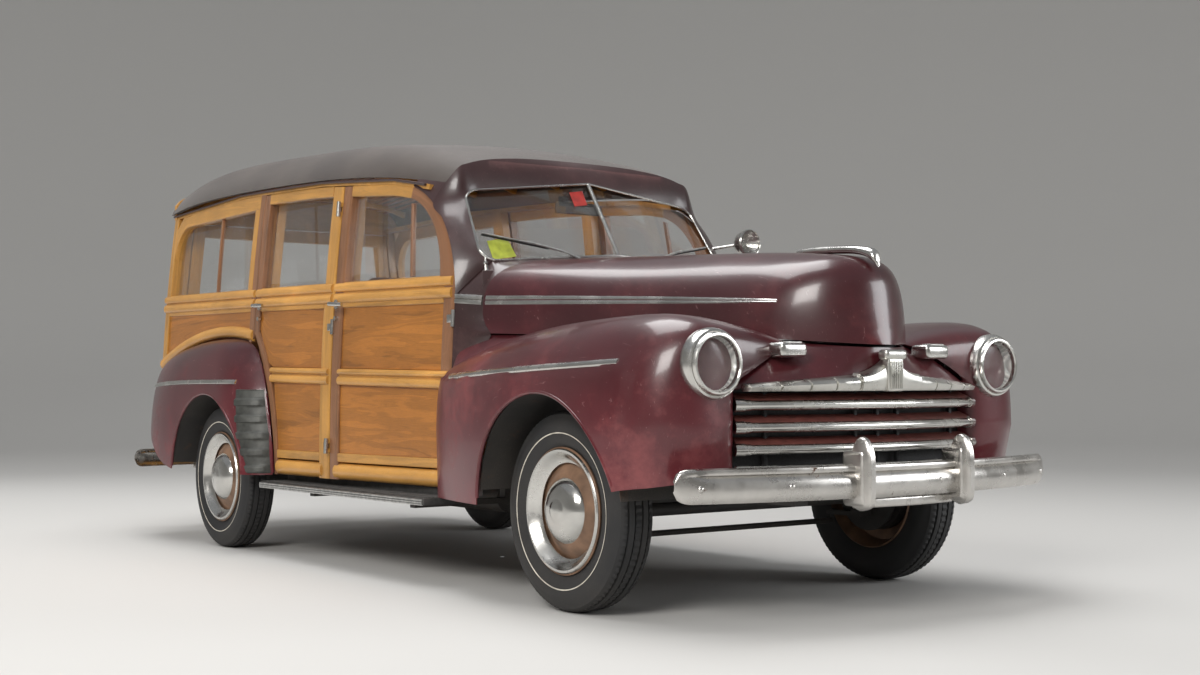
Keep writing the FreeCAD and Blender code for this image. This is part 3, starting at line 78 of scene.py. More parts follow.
def side_y(x, z):
    """Outer face of the left body side at (x, z): an arc through sill, belt and roof edge."""
    half = lookup(SIDE_STATIONS, x)
    ax, az = -SILL_FLARE, BELT_Z - SILL_Z
    bx, bz = -TOP_LEAN - SILL_FLARE, TOP_Z - SILL_Z
    d = 2.0 * (ax * bz - az * bx)
    uy = (bz * (ax * ax + az * az) - az * (bx * bx + bz * bz)) / d
    uz = (ax * (bx * bx + bz * bz) - bx * (ax * ax + az * az)) / d
    radius = hypot(uy, uz)
    return half + SILL_FLARE + uy + sqrt(radius ** 2 - (z - SILL_Z - uz) ** 2)


def smooth_rows(rows, count):
    """Catmull-Rom curve through rows of numbers, sampled at count even steps."""
    rows = [tuple(r) for r in rows]
    last = len(rows) - 1
    out = []
    for i in range(count):
        t = last * i / (count - 1)
        k = min(int(t), last - 1)
        f = t - k
        p = [rows[max(k - 1, 0)], rows[k], rows[k + 1], rows[min(k + 2, last)]]
        out.append([0.5 * (2 * b + (c - a) * f + (2 * a - 5 * b + 4 * c - d) * f * f
                           + (3 * b - a - 3 * c + d) * f ** 3) for a, b, c, d in zip(*p)])
    return out


def arc(start, middle, end, count):
    """Points of the circle through three 2-D points."""
    (ax, ay), (bx, by), (cx, cy) = start, middle, end
    d = 2.0 * (ax * (by - cy) + bx * (cy - ay) + cx * (ay - by))
    aa = ax * ax + ay * ay
    bb = bx * bx + by * by
    cc = cx * cx + cy * cy
    ux = (aa * (by - cy) + bb * (cy - ay) + cc * (ay - by)) / d
    uy = (aa * (cx - bx) + bb * (ax - cx) + cc * (bx - ax)) / d
    r = hypot(ax - ux, ay - uy)
    a0 = atan2(ay - uy, ax - ux)
    a1 = atan2(by - uy, bx - ux)
    a2 = atan2(cy - uy, cx - ux)
    turn = 2.0 * pi
    if (a1 - a0) % turn < (a2 - a0) % turn:
        sweep_angle = (a2 - a0) % turn
    else:
        sweep_angle = -((a0 - a2) % turn)
    return [(ux + r * cos(a0 + sweep_angle * i / (count - 1)),
             uy + r * sin(a0 + sweep_angle * i / (count - 1))) for i in range(count)]


def line(start, end, count):
    return [tuple(a + (b - a) * i / (count - 1) for a, b in zip(start, end)) for i in range(count)]


# Mesh helpers: every piece starts from a primitive and is shaped with Blender's own operators
def clear_selection():
    if bpy.context.object and bpy.context.object.mode != "OBJECT":
        bpy.ops.object.mode_set(mode="OBJECT")
    bpy.ops.object.select_all(action="DESELECT")


def pick(*objects):
    clear_selection()
    for o in objects:
        o.select_set(True)
    bpy.context.view_layer.objects.active = objects[0]


def apply_all(piece):
    pick(piece)
    for modifier in list(piece.modifiers):
        bpy.ops.object.modifier_apply(modifier=modifier.name)


def skin(name, rows, closed=False, capped=False, grain=(1.0, 1.0)):
    """Grid primitive pulled onto rows of points. closed joins a row's ends; capped fills the end rows."""
    clear_selection()
    across, along = len(rows[0]), len(rows)
    bpy.ops.mesh.primitive_grid_add(x_subdivisions=across - 1, y_subdivisions=along - 1, size=1.0)
    piece = bpy.context.object
    piece.name = name
    mesh = piece.data
    mesh.name = name
    mesh.vertices.foreach_set("co", [c for row in rows for p in row for c in p])
    run = [0.0]
    for a, b in zip(rows, rows[1:]):
        run.append(run[-1] + (Vector(b[0]) - Vector(a[0])).length)
    span = [0.0]
    for a, b in zip(rows[0], rows[0][1:]):
        span.append(span[-1] + (Vector(b) - Vector(a)).length)
    shift = random.uniform(0.0, 9.0)
    uv = mesh.uv_layers[0]
    uv.name = "grain"
    for loop in mesh.loops:
        j, i = divmod(loop.vertex_index, across)
        uv.data[loop.index].uv = (run[j] * grain[0] + shift, span[i] * grain[1] + 1.7 * shift)
    if closed or capped:
        bpy.ops.object.mode_set(mode="EDIT")
        bpy.ops.mesh.select_all(action="SELECT")
        bpy.ops.mesh.remove_doubles(threshold=0.00002)
        if capped:
            bpy.ops.mesh.select_all(action="DESELECT")
            bpy.ops.mesh.select_non_manifold()
            bpy.ops.mesh.fill_holes(sides=0)
        bpy.ops.mesh.select_all(action="SELECT")
        bpy.ops.mesh.normals_make_consistent(inside=False)
        bpy.ops.object.mode_set(mode="OBJECT")
    mesh.update()
    return piece


def shade(piece, angle=35.0):
    pick(piece)
    bpy.ops.object.shade_smooth_by_angle(angle=radians(angle))


def join(name, pieces):
    """Like pieces as one mesh."""
    pick(*pieces)
    if len(pieces) > 1:
        bpy.ops.object.join()
    piece = bpy.context.object
    piece.name = name
    piece.data.name = name
    return piece


def dress(piece, finish, body="body", replaces=(), angle=35.0):
    """Last step of a piece: its material, its smoothing and the body that it rides on."""
    piece.data.materials.clear()
    piece.data.materials.append(MATERIALS[finish])
    shade(piece, angle)
    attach(piece, body)
    if replaces:
        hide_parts(*replaces)
    return piece


def sided(rows, sign):
    """Rows for the car's left, or mirrored and turned over for its right."""
    if sign > 0:
        return [[tuple(p) for p in row] for row in rows]
    return [[(p[0], -p[1], p[2]) for p in reversed(row)] for row in rows]


def spun(name, profile, centre, axis, steps=48, closed=False):
    """Solid of revolution from (radius, along) points about an axis through centre."""
    axis = Vector(axis).normalized()
    ref = Vector((0, 0, 1)) if abs(axis.z) < 0.9 else Vector((1, 0, 0))
    u = axis.cross(ref).normalized()
    w = axis.cross(u)
    centre = Vector(centre)
    rows = []
    for k in range(steps + 1):
        a = 2.0 * pi * (k % steps) / steps
        d = u * cos(a) + w * sin(a)
        row = [centre + d * r + axis * h for r, h in profile]
        if closed:
            row.append(row[0])
        rows.append(row)
    return skin(name, rows, closed=True)


def tube(name, path, radius, steps=10, squash=1.0):
    """Round rod along 3-D points."""
    pts = [Vector(p) for p in path]
    rows = []
    normal = None
    for i, p in enumerate(pts):
        t = (pts[min(i + 1, len(pts) - 1)] - pts[max(i - 1, 0)]).normalized()
        if normal is None:
            normal = t.cross(Vector((0, 0, 1)) if abs(t.z) < 0.9 else Vector((0, 1, 0))).normalized()
        normal = (normal - t * normal.dot(t)).normalized()
        other = t.cross(normal)
        r = radius(i / (len(pts) - 1)) if callable(radius) else radius
        rows.append([p + normal * r * cos(2 * pi * k / steps) + other * r * squash * sin(2 * pi * k / steps)
                     for k in range(steps)])
        rows[-1].append(rows[-1][0])
    return skin(name, rows, closed=True, capped=True)


def block(name, low, high, bevel=0.004, segments=2):
    """Box with eased edges."""
    clear_selection()
    middle = [(a + b) / 2.0 for a, b in zip(low, high)]
    bpy.ops.mesh.primitive_cube_add(size=1.0, location=middle)
    piece = bpy.context.object
    piece.name = name
    piece.data.name = name
    piece.scale = [abs(b - a) for a, b in zip(low, high)]
    bpy.ops.object.transform_apply(location=True, rotation=True, scale=True)
    piece.data.uv_layers[0].name = "grain"
    if bevel:
        m = piece.modifiers.new("ease", "BEVEL")
        m.width = bevel
        m.segments = segments
        apply_all(piece)
    return piece


def thicken(piece, thickness, offset=-1.0):
    m = piece.modifiers.new("wall", "SOLIDIFY")
    m.thickness = thickness
    m.offset = offset
    apply_all(piece)


def cut_round(piece, x, z, radius, y0, y1):
    """Round opening through a panel, cut with a cylinder across the car."""
    clear_selection()
    bpy.ops.mesh.primitive_cylinder_add(vertices=128, radius=radius, depth=abs(y1 - y0),
                                        location=(x, (y0 + y1) / 2.0, z), rotation=(pi / 2.0, 0.0, 0.0))
    tool = bpy.context.object
    m = piece.modifiers.new("opening", "BOOLEAN")
    m.operation = "DIFFERENCE"
    m.solver = "EXACT"
    m.object = tool
    apply_all(piece)
    bpy.data.objects.remove(tool)


def faces_of(piece):
    mesh = piece.data
    return BVHTree.FromPolygons([v.co.copy() for v in mesh.vertices],
                                [tuple(p.vertices) for p in mesh.polygons])


def surface(piece):
    """Finder of the piece's outer face: its point at (x, z), seen from the car's side."""
    tree = faces_of(piece)

    def find(x, z, sign, near=0.0):
        hit = tree.ray_cast(Vector((x, sign * 2.0, z)), Vector((0.0, -sign, 0.0)))[0]
        if hit is None and near:
            hit = tree.find_nearest(Vector((x, sign * 0.8, z)), near)[0]
        return hit
    return find


# Shader node groups
def socket(tree, name, kind, out=False, value=None):
    s = tree.interface.new_socket(name=name, in_out="OUTPUT" if out else "INPUT", socket_type=kind)
    if value is not None:
        s.default_value = value
    return s


def put(tree, kind, links=None, **settings):
    """New node with its settings, and with its inputs set to values or linked to sockets."""
    node = tree.nodes.new(kind)
    for key, value in settings.items():
        setattr(node, key, value)
    for key, value in (links or {}).items():
        if isinstance(value, bpy.types.NodeSocket):
            tree.links.new(value, node.inputs[key])
        else:
            node.inputs[key].default_value = value
    return node


def math_node(tree, operation, a, b=0.0, clamp=False):
    return put(tree, "ShaderNodeMath", {0: a, 1: b}, operation=operation, use_clamp=clamp).outputs[0]


def times(tree, a, b, clamp=False):
    return math_node(tree, "MULTIPLY", a, b, clamp)


def plus(tree, a, b, clamp=False):
    return math_node(tree, "ADD", a, b, clamp)


def minus(tree, a, b):
    return math_node(tree, "SUBTRACT", a, b)


def mottle(tree, vector, scale, detail, roughness=0.5, distortion=0.0):
    """Cloudy noise from 0 to 1."""
    inputs = {"Vector": vector, "Scale": scale, "Detail": detail, "Roughness": roughness,
              "Distortion": distortion}
    return put(tree, "ShaderNodeTexNoise", inputs).outputs["Fac"]


def stretched(tree, vector, factors):
    return put(tree, "ShaderNodeVectorMath", {0: vector, 1: factors}, operation="MULTIPLY").outputs[0]


def between(tree, value, low, high):
    """Nothing below low, one above high."""
    inputs = {"Value": value, "From Min": low, "From Max": high}
    return put(tree, "ShaderNodeMapRange", inputs, clamp=True).outputs["Result"]


def ramp(tree, factor, stops):
    node = put(tree, "ShaderNodeValToRGB", {"Fac": factor})
    elements = node.color_ramp.elements
    while len(elements) < len(stops):
        elements.new(0.5)
    for e, (position, colour) in zip(elements, stops):
        e.position = position
        e.color = tuple(colour) + (1.0,) if len(colour) == 3 else colour
    return node.outputs["Color"]


def grey(v):
    return (v, v, v)


def blend_colour(tree, factor, a, b, mode="MIX"):
    node = put(tree, "ShaderNodeMix", {"Factor": factor}, data_type="RGBA", blend_type=mode)
    for key, value in ((6, a), (7, b)):
        if isinstance(value, bpy.types.NodeSocket):
            tree.links.new(value, node.inputs[key])
        else:
            node.inputs[key].default_value = tuple(value) + (1.0,)
    return node.outputs[2]


GROUPS = {}
FLOAT = "NodeSocketFloat"
VECTOR = "NodeSocketVector"


def group(name, inputs, outputs, build):
    """Shared shader effect, built once."""
    if name not in GROUPS:
        tree = bpy.data.node_groups.new(name, "ShaderNodeTree")
        for key, kind, value in inputs:
            socket(tree, key, kind, value=value)
        for key, kind in outputs:
            socket(tree, key, kind, out=True)
        entry = tree.nodes.new("NodeGroupInput")
        leave = tree.nodes.new("NodeGroupOutput")
        build(tree, entry.outputs, leave.inputs)
        GROUPS[name] = tree
    return GROUPS[name]


def use(tree, group_tree, links):
    node = tree.nodes.new("ShaderNodeGroup")
    node.node_tree = group_tree
    for key, value in links.items():
        if isinstance(value, bpy.types.NodeSocket):
            tree.links.new(value, node.inputs[key])
        else:
            node.inputs[key].default_value = value
    return node


def patches_group():
    """Worn patches: broad noise broken up by fine noise, more of them as Amount rises."""
    def build(tree, i, o):
        broad = mottle(tree, i["Vector"], i["Scale"], 5.0, 0.62)
        fine_scale = times(tree, i["Scale"], 7.0)
        fine = mottle(tree, i["Vector"], fine_scale, 6.0, 0.7)
        part = times(tree, fine, 0.35)
        total = plus(tree, times(tree, broad, 0.65), part)
        edge = minus(tree, 0.72, times(tree, i["Amount"], 0.4))
        soft = put(tree, "ShaderNodeMapRange", {"Value": total, "From Min": edge}, clamp=True)
        tree.links.new(plus(tree, edge, i["Softness"]), soft.inputs["From Max"])
        tree.links.new(soft.outputs["Result"], o["Mask"])
    return group("worn_patches",
                 [("Vector", VECTOR, None), ("Scale", FLOAT, 3.0), ("Amount", FLOAT, 0.4),
                  ("Softness", FLOAT, 0.08)], [("Mask", FLOAT)], build)


def patches(tree, vector, scale, amount, softness):
    inputs = {"Vector": vector, "Scale": scale, "Amount": amount, "Softness": softness}
    return use(tree, patches_group(), inputs).outputs["Mask"]


def low_group():
    """One low down, nothing above High, with a ragged edge."""
    def build(tree, i, o):
        z = put(tree, "ShaderNodeSeparateXYZ", {"Vector": i["Vector"]}).outputs["Z"]
        noise = mottle(tree, i["Vector"], 4.0, 4.0)
        wobble = times(tree, minus(tree, noise, 0.5), i["Ragged"])
        height = plus(tree, z, wobble)
        fall = put(tree, "ShaderNodeMapRange",
                   {"Value": height, "From Min": i["Low"], "From Max": i["High"], "To Min": 1.0,
                    "To Max": 0.0}, clamp=True)
        tree.links.new(fall.outputs["Result"], o["Mask"])
    return group("low_down", [("Vector", VECTOR, None), ("Low", FLOAT, 0.4), ("High", FLOAT, 0.9),
                              ("Ragged", FLOAT, 0.4)], [("Mask", FLOAT)], build)


def grain_group():
    """Wood grain that runs along the vector's X: broad figure, fine fibres and pores."""
    def build(tree, i, o):
        stretch = stretched(tree, i["Vector"], (1.0, 11.0, 11.0))
        warp = put(tree, "ShaderNodeTexNoise", {"Vector": stretch, "Scale": 1.3, "Detail": 3.0})
        moved = put(tree, "ShaderNodeVectorMath", {0: stretch, 1: warp.outputs["Color"]},
                    operation="ADD").outputs[0]
        figure = mottle(tree, moved, i["Figure"], 3.0, distortion=1.2)
        fibre_vector = stretched(tree, i["Vector"], (14.0, 420.0, 420.0))
        fibre = mottle(tree, fibre_vector, 1.0, 3.0, 0.7)
        pore_vector = stretched(tree, i["Vector"], (55.0, 900.0, 900.0))
        pore = mottle(tree, pore_vector, 1.0, 1.0)
        bands = math_node(tree, "SINE", times(tree, figure, 34.0))
        tone = plus(tree, times(tree, bands, 0.07), figure)
        tone = plus(tree, tone, times(tree, minus(tree, fibre, 0.5), 0.55))
        dark = between(tree, pore, 0.62, 0.7)
        tree.links.new(tone, o["Tone"])
        tree.links.new(dark, o["Pores"])
        height = minus(tree, times(tree, fibre, 0.5), dark)
        tree.links.new(height, o["Height"])
    return group("wood_grain", [("Vector", VECTOR, None), ("Figure", FLOAT, 1.0)],
                 [("Tone", FLOAT), ("Pores", FLOAT), ("Height", FLOAT)], build)


def dust_group():
    """Speckled dust and fine scratches."""
    def build(tree, i, o):
        speck = mottle(tree, i["Vector"], 260.0, 2.0)
        cloud = mottle(tree, i["Vector"], 2.2, 5.0, 0.6)
        film = between(tree, cloud, 0.42, 0.75)
        dots = between(tree, speck, 0.55, 0.75)
        total = times(tree, film, plus(tree, dots, 0.5))
        tree.links.new(times(tree, total, i["Amount"], clamp=True), o["Mask"])
        scratch_vector = stretched(tree, i["Vector"], (3.0, 90.0, 14.0))
        scratch = mottle(tree, scratch_vector, 4.0, 2.0, distortion=0.6)
        marks = between(tree, scratch, 0.7, 0.74)
        tree.links.new(marks, o["Scratches"])
    return group("dust_film", [("Vector", VECTOR, None), ("Amount", FLOAT, 0.5)],
                 [("Mask", FLOAT), ("Scratches", FLOAT)], build)


def dust_film(tree, vector, amount):
    return use(tree, dust_group(), {"Vector": vector, "Amount": amount})


MATERIALS = {}


def fresh(name):
    material = bpy.data.materials.new(name)
    material.use_nodes = True
    tree = material.node_tree
    shader = tree.nodes["Principled BSDF"]
    MATERIALS[name] = material
    return material, tree, shader


def object_coordinates(tree):
    return put(tree, "ShaderNodeTexCoord").outputs["Object"]


def bump(tree, shader, height, strength, distance=0.001):
    node = put(tree, "ShaderNodeBump", {"Height": height, "Strength": strength, "Distance": distance})
    tree.links.new(node.outputs["Normal"], shader.inputs["Normal"])


def aged_paint(name, top, low, worn, low_height=(0.45, 1.0), amount=0.42, roughness=0.3):
    """Old enamel: two tones, patches rubbed through to a redder or paler layer, scratches and dust."""
    material, tree, shader = fresh(name)
    at = object_coordinates(tree)
    fall = use(tree, low_group(),
               {"Vector": at, "Low": low_height[0], "High": low_height[1], "Ragged": 0.5}).outputs["Mask"]
    colour = blend_colour(tree, fall, top, low)
    tone = mottle(tree, at, 1.6, 6.0, 0.6)
    colour = blend_colour(tree, 1.0, colour, ramp(tree, tone, [(0.3, grey(0.72)), (0.7, grey(1.25))]),
                          "MULTIPLY")
    rub = patches(tree, at, 3.2, amount, 0.14)
    rub_low = times(tree, rub, plus(tree, times(tree, fall, 0.75), 0.12))
    colour = blend_colour(tree, rub_low, colour, worn)
    chips = patches(tree, at, 17.0, 0.16, 0.03)
    chips_low = times(tree, chips, fall)
    colour = blend_colour(tree, chips_low, colour, (0.035, 0.018, 0.016))
    film = dust_film(tree, at, 0.14)
    colour = blend_colour(tree, film.outputs["Mask"], colour, (0.22, 0.13, 0.125))
    marks = times(tree, film.outputs["Scratches"], 0.28)
    colour = blend_colour(tree, marks, colour, (0.42, 0.24, 0.24))
    tree.links.new(colour, shader.inputs["Base Color"])
    gloss = plus(tree, roughness, times(tree, rub_low, 0.28))
    gloss = plus(tree, gloss, times(tree, film.outputs["Mask"], 0.9), clamp=True)
    tree.links.new(gloss, shader.inputs["Roughness"])
    shader.inputs["Coat Weight"].default_value = 0.5
    shader.inputs["Coat Roughness"].default_value = 0.12
    orange = mottle(tree, at, 90.0, 2.0)
    bump(tree, shader, orange, 0.05, 0.002)
    return material


def varnished(name, light, dark, figure=1.0, along=None, worn=(0.6, 0.42, 0.24), roughness=0.36, wear=0.3,
              stain=0.5):
    """Varnished wood, darker where varnish has pooled and paler where it has gone.

    The grain runs along the piece's own map, or along an axis where one is given."""
    material, tree, shader = fresh(name)
    at = object_coordinates(tree)
    if along:
        turned = {"X": "XYZ", "Y": "YZX", "Z": "ZXY"}[along]
        parts = put(tree, "ShaderNodeSeparateXYZ", {"Vector": at}).outputs
        grain_at = put(tree, "ShaderNodeCombineXYZ", {a: parts[b] for a, b in zip("XYZ", turned)}).outputs[0]
    else:
        grain_at = put(tree, "ShaderNodeUVMap", uv_map="grain").outputs["UV"]
    grain = use(tree, grain_group(), {"Vector": grain_at, "Figure": figure})
    tone = grain.outputs["Tone"]
    middle = tuple((a + b) / 2.0 for a, b in zip(light, dark))
    colour = ramp(tree, tone, [(0.22, dark), (0.45, middle), (0.72, light)])
    colour = blend_colour(tree, times(tree, grain.outputs["Pores"], 0.45), colour,
                          tuple(0.45 * c for c in dark))
    cloud = mottle(tree, at, 2.6, 5.0, 0.6)
    colour = blend_colour(tree, stain, colour, ramp(tree, cloud, [(0.3, grey(0.55)), (0.72, grey(1.2))]),
                          "MULTIPLY")
    rub = patches(tree, at, 5.0, wear, 0.2)
    colour = blend_colour(tree, times(tree, rub, 0.4), colour, worn)
    spots = patches(tree, at, 22.0, 0.1, 0.04)
    colour = blend_colour(tree, times(tree, spots, 0.6), colour, tuple(0.25 * c for c in dark))
    tree.links.new(colour, shader.inputs["Base Color"])
    gloss = plus(tree, roughness, times(tree, rub, 0.22), clamp=True)
    tree.links.new(gloss, shader.inputs["Roughness"])
    shader.inputs["Coat Weight"].default_value = 0.35
    shader.inputs["Coat Roughness"].default_value = 0.22
    bump(tree, shader, grain.outputs["Height"], 0.22, 0.0006)
    return material


def worn_chrome(name, tint=(0.72, 0.71, 0.68), rust=0.25, roughness=0.14, scale=9.0):
    """Old plating: hazed in patches, pitted with rust."""
    material, tree, shader = fresh(name)
    at = object_coordinates(tree)
    haze = mottle(tree, at, 7.0, 6.0, 0.65)
    pits = patches(tree, at, scale, rust, 0.05)
    colour = blend_colour(tree, 1.0, tint, ramp(tree, haze, [(0.3, grey(0.78)), (0.65, grey(1.0))]),
                          "MULTIPLY")
    colour = blend_colour(tree, pits, colour, (0.09, 0.045, 0.025))
    tree.links.new(colour, shader.inputs["Base Color"])
    tree.links.new(minus(tree, 1.0, times(tree, pits, 0.9)), shader.inputs["Metallic"])
    gloss = put(tree, "ShaderNodeMapRange",
                {"Value": haze, "From Min": 0.35, "From Max": 0.7,
                 "To Min": roughness, "To Max": roughness + 0.22})
    tree.links.new(plus(tree, gloss.outputs["Result"], times(tree, pits, 0.5), clamp=True),
                   shader.inputs["Roughness"])
    bump(tree, shader, minus(tree, times(tree, haze, 0.4), pits), 0.12, 0.001)
    return material


def rubber(name, colour=(0.022, 0.022, 0.023), roughness=0.62, dust=0.5):
    material, tree, shader = fresh(name)
    at = object_coordinates(tree)
    film = dust_film(tree, at, dust)
    mixed = blend_colour(tree, film.outputs["Mask"], colour, (0.12, 0.105, 0.09))
    tree.links.new(mixed, shader.inputs["Base Color"])
    tree.links.new(plus(tree, roughness, times(tree, film.outputs["Mask"], 0.3), clamp=True),
                   shader.inputs["Roughness"])
    fine = mottle(tree, at, 160.0, 4.0)
    bump(tree, shader, fine, 0.15, 0.001)
    return material


def roof_cloth(name):
    """Coated cloth: fine weave, dull sheen, faded and rubbed in broad patches."""
    material, tree, shader = fresh(name)
    at = object_coordinates(tree)
    parts = put(tree, "ShaderNodeSeparateXYZ", {"Vector": at})
    threads = []
    for key in ("X", "Y"):
        wave = times(tree, parts.outputs[key], 2200.0)
        threads.append(math_node(tree, "SINE", wave))
    weave = times(tree, threads[0], threads[1])
    cloud = mottle(tree, at, 1.7, 7.0, 0.62)
    colour = ramp(tree, cloud, [(0.3, (0.032, 0.022, 0.018)), (0.55, (0.052, 0.038, 0.031)),
                                (0.75, (0.085, 0.066, 0.055))])
    film = dust_film(tree, at, 0.4)
    colour = blend_colour(tree, film.outputs["Mask"], colour, (0.15, 0.125, 0.105))
    tree.links.new(colour, shader.inputs["Base Color"])
    shader.inputs["Roughness"].default_value = 0.62
    shader.inputs["Sheen Weight"].default_value = 0.2
    ripple = mottle(tree, at, 24.0, 4.0)
    height = plus(tree, times(tree, weave, 0.25), ripple)
    bump(tree, shader, height, 0.25, 0.0015)
    return material


def leather(name, colour=(0.055, 0.026, 0.017)):
    material, tree, shader = fresh(name)
    at = object_coordinates(tree)
    cells = put(tree, "ShaderNodeTexVoronoi", {"Vector": at, "Scale": 320.0}, feature="DISTANCE_TO_EDGE")
    cloud = mottle(tree, at, 6.0, 6.0)
    mixed = blend_colour(tree, 1.0, colour, ramp(tree, cloud, [(0.3, grey(0.6)), (0.7, grey(1.5))]),
                         "MULTIPLY")
    rub = patches(tree, at, 8.0, 0.3, 0.15)
    mixed = blend_colour(tree, times(tree, rub, 0.5), mixed, tuple(2.6 * c for c in colour))
    tree.links.new(mixed, shader.inputs["Base Color"])
    shader.inputs["Roughness"].default_value = 0.48
    crease = plus(tree, times(tree, cells.outputs["Distance"], 1.0), cloud)
    bump(tree, shader, crease, 0.3, 0.0012)
    return material


def dark_iron(name, colour=(0.028, 0.026, 0.025), rust=0.35):
    """Chassis black under road dirt and surface rust."""
    material, tree, shader = fresh(name)
    at = object_coordinates(tree)
    mask = patches(tree, at, 8.0, rust, 0.12)
    mixed = blend_colour(tree, mask, colour, (0.085, 0.042, 0.024))
    film = dust_film(tree, at, 0.6)
    mixed = blend_colour(tree, film.outputs["Mask"], mixed, (0.13, 0.11, 0.09))
    tree.links.new(mixed, shader.inputs["Base Color"])
    shader.inputs["Roughness"].default_value = 0.6
    fine = mottle(tree, at, 70.0, 5.0)
    bump(tree, shader, fine, 0.3, 0.002)
    return material


def clear_glass(name, tint=(0.93, 0.96, 0.94), alpha=0.2, ribs=None):
    """Window glass with a thin film of dust; ribs gives flutes a metre along Y."""
    material, tree, shader = fresh(name)
    at = object_coordinates(tree)
    shader.inputs["Base Color"].default_value = tint + (1.0,)
    shader.inputs["Transmission Weight"].default_value = 1.0
    shader.inputs["IOR"].default_value = 1.45
    film = dust_film(tree, at, 0.35)
    tree.links.new(plus(tree, 0.02, times(tree, film.outputs["Mask"], 0.12)), shader.inputs["Roughness"])
    if ribs:
        y = put(tree, "ShaderNodeSeparateXYZ", {"Vector": at}).outputs["Y"]
        flutes = math_node(tree, "SINE", times(tree, y, ribs))
        bump(tree, shader, flutes, 0.8, 0.003)
        shader.inputs["Alpha"].default_value = 0.16
    else:
        tree.links.new(plus(tree, alpha, times(tree, film.outputs["Mask"], 0.12)), shader.inputs["Alpha"])
    return material


def plain(name, colour, roughness=0.5, metallic=0.0, noise=0.25, scale=30.0, coat=0.0):
    """Simple finish with a slight change of tone and a fine surface."""
    material, tree, shader = fresh(name)
    at = object_coordinates(tree)
    cloud = mottle(tree, at, scale, 5.0)
    mixed = blend_colour(tree, 1.0, colour,
                         ramp(tree, cloud, [(0.3, grey(1.0 - noise)), (0.7, grey(1.0 + noise))]),
                         "MULTIPLY")
    tree.links.new(mixed, shader.inputs["Base Color"])
    shader.inputs["Roughness"].default_value = roughness
    shader.inputs["Metallic"].default_value = metallic
    shader.inputs["Coat Weight"].default_value = coat
    bump(tree, shader, cloud, 0.15, 0.001)
    return material


def reflector_with_painted_flute_light(name):
    """Silvered bowl behind fluted glass: upright flutes in relief, and upright stripes of painted highlight
    and painted shade in its colour that stand for light thrown through the fluted glass.
    """
    material, tree, shader = fresh(name)
    at = object_coordinates(tree)
    parts = put(tree, "ShaderNodeSeparateXYZ", {"Vector": at})
    flutes = math_node(tree, "SINE", times(tree, parts.outputs["Y"], 620.0))
    # Painted highlight and painted shade: the bowl's colour runs from grey to near white with each flute.
    share = plus(tree, times(tree, flutes, 0.5), 0.5)
    colour = blend_colour(tree, share, (0.5, 0.51, 0.5), (0.93, 0.93, 0.9))
    tree.links.new(colour, shader.inputs["Base Color"])
    shader.inputs["Roughness"].default_value = 0.3
    shader.inputs["Metallic"].default_value = 0.25
    bump(tree, shader, flutes, 0.9, 0.003)
    return material


class WagonColours(bpy.types.PropertyGroup):
    paint: FloatVectorProperty(name="Paint", description="Enamel on the steel panels", subtype="COLOR",
                               default=(0.05, 0.0085, 0.0115), min=0.0, max=1.0)
    paint_low: FloatVectorProperty(name="Low paint", description="Redder enamel low on the fenders",
                                   subtype="COLOR", default=(0.12, 0.009, 0.016), min=0.0, max=1.0)
    paint_roof: FloatVectorProperty(name="Upper paint", description="Browner enamel round the windshield",
                                    subtype="COLOR", default=(0.034, 0.0125, 0.013), min=0.0, max=1.0)
    rail_wood: FloatVectorProperty(name="Rail wood", description="Honey coloured framing", subtype="COLOR",
                                   default=(0.66, 0.33, 0.075), min=0.0, max=1.0)
    stile_wood: FloatVectorProperty(name="Stile wood", description="Darker, pinker stiles", subtype="COLOR",
                                    default=(0.34, 0.155, 0.072), min=0.0, max=1.0)
    panel_wood: FloatVectorProperty(name="Panel wood", description="Figured veneer of the panels",
                                    subtype="COLOR", default=(0.5, 0.19, 0.03), min=0.0, max=1.0)
    inner_wood: FloatVectorProperty(name="Inner wood", description="Orange stained wood inside",
                                    subtype="COLOR", default=(0.42, 0.115, 0.02), min=0.0, max=1.0)


class WagonStage(bpy.types.PropertyGroup):
    key_power: FloatProperty(name="Key light", description="Power of the key light", default=175.0, min=0.0,
                             unit="POWER")
    fill_power: FloatProperty(name="Fill light", description="Power of the fill light", default=80.0,
                              min=0.0, unit="POWER")
    top_power: FloatProperty(name="Top light", description="Power of the overhead light", default=150.0,
                             min=0.0, unit="POWER")
    cabin_power: FloatProperty(name="Cabin light", description="Power of the soft light inside the cabin",
                               default=14.0, min=0.0, unit="POWER")
    ambient: FloatProperty(name="Ambient", description="Strength of the room's light", default=0.3, min=0.0)


class WagonSizes(bpy.types.PropertyGroup):
    moulding_rise: FloatProperty(name="Moulding rise",
                                 description="How far the half-round mouldings stand out", default=0.014,
                                 min=0.002, unit="LENGTH")
    tread_notches: IntProperty(name="Tread notches", description="Notches round each tyre", default=90,
                               min=24)


def colours():
    return bpy.context.scene.wagon_colours


def sizes():
    return bpy.context.scene.wagon_sizes


def tint(colour, factor):
    return tuple(min(1.0, c * factor) for c in colour)


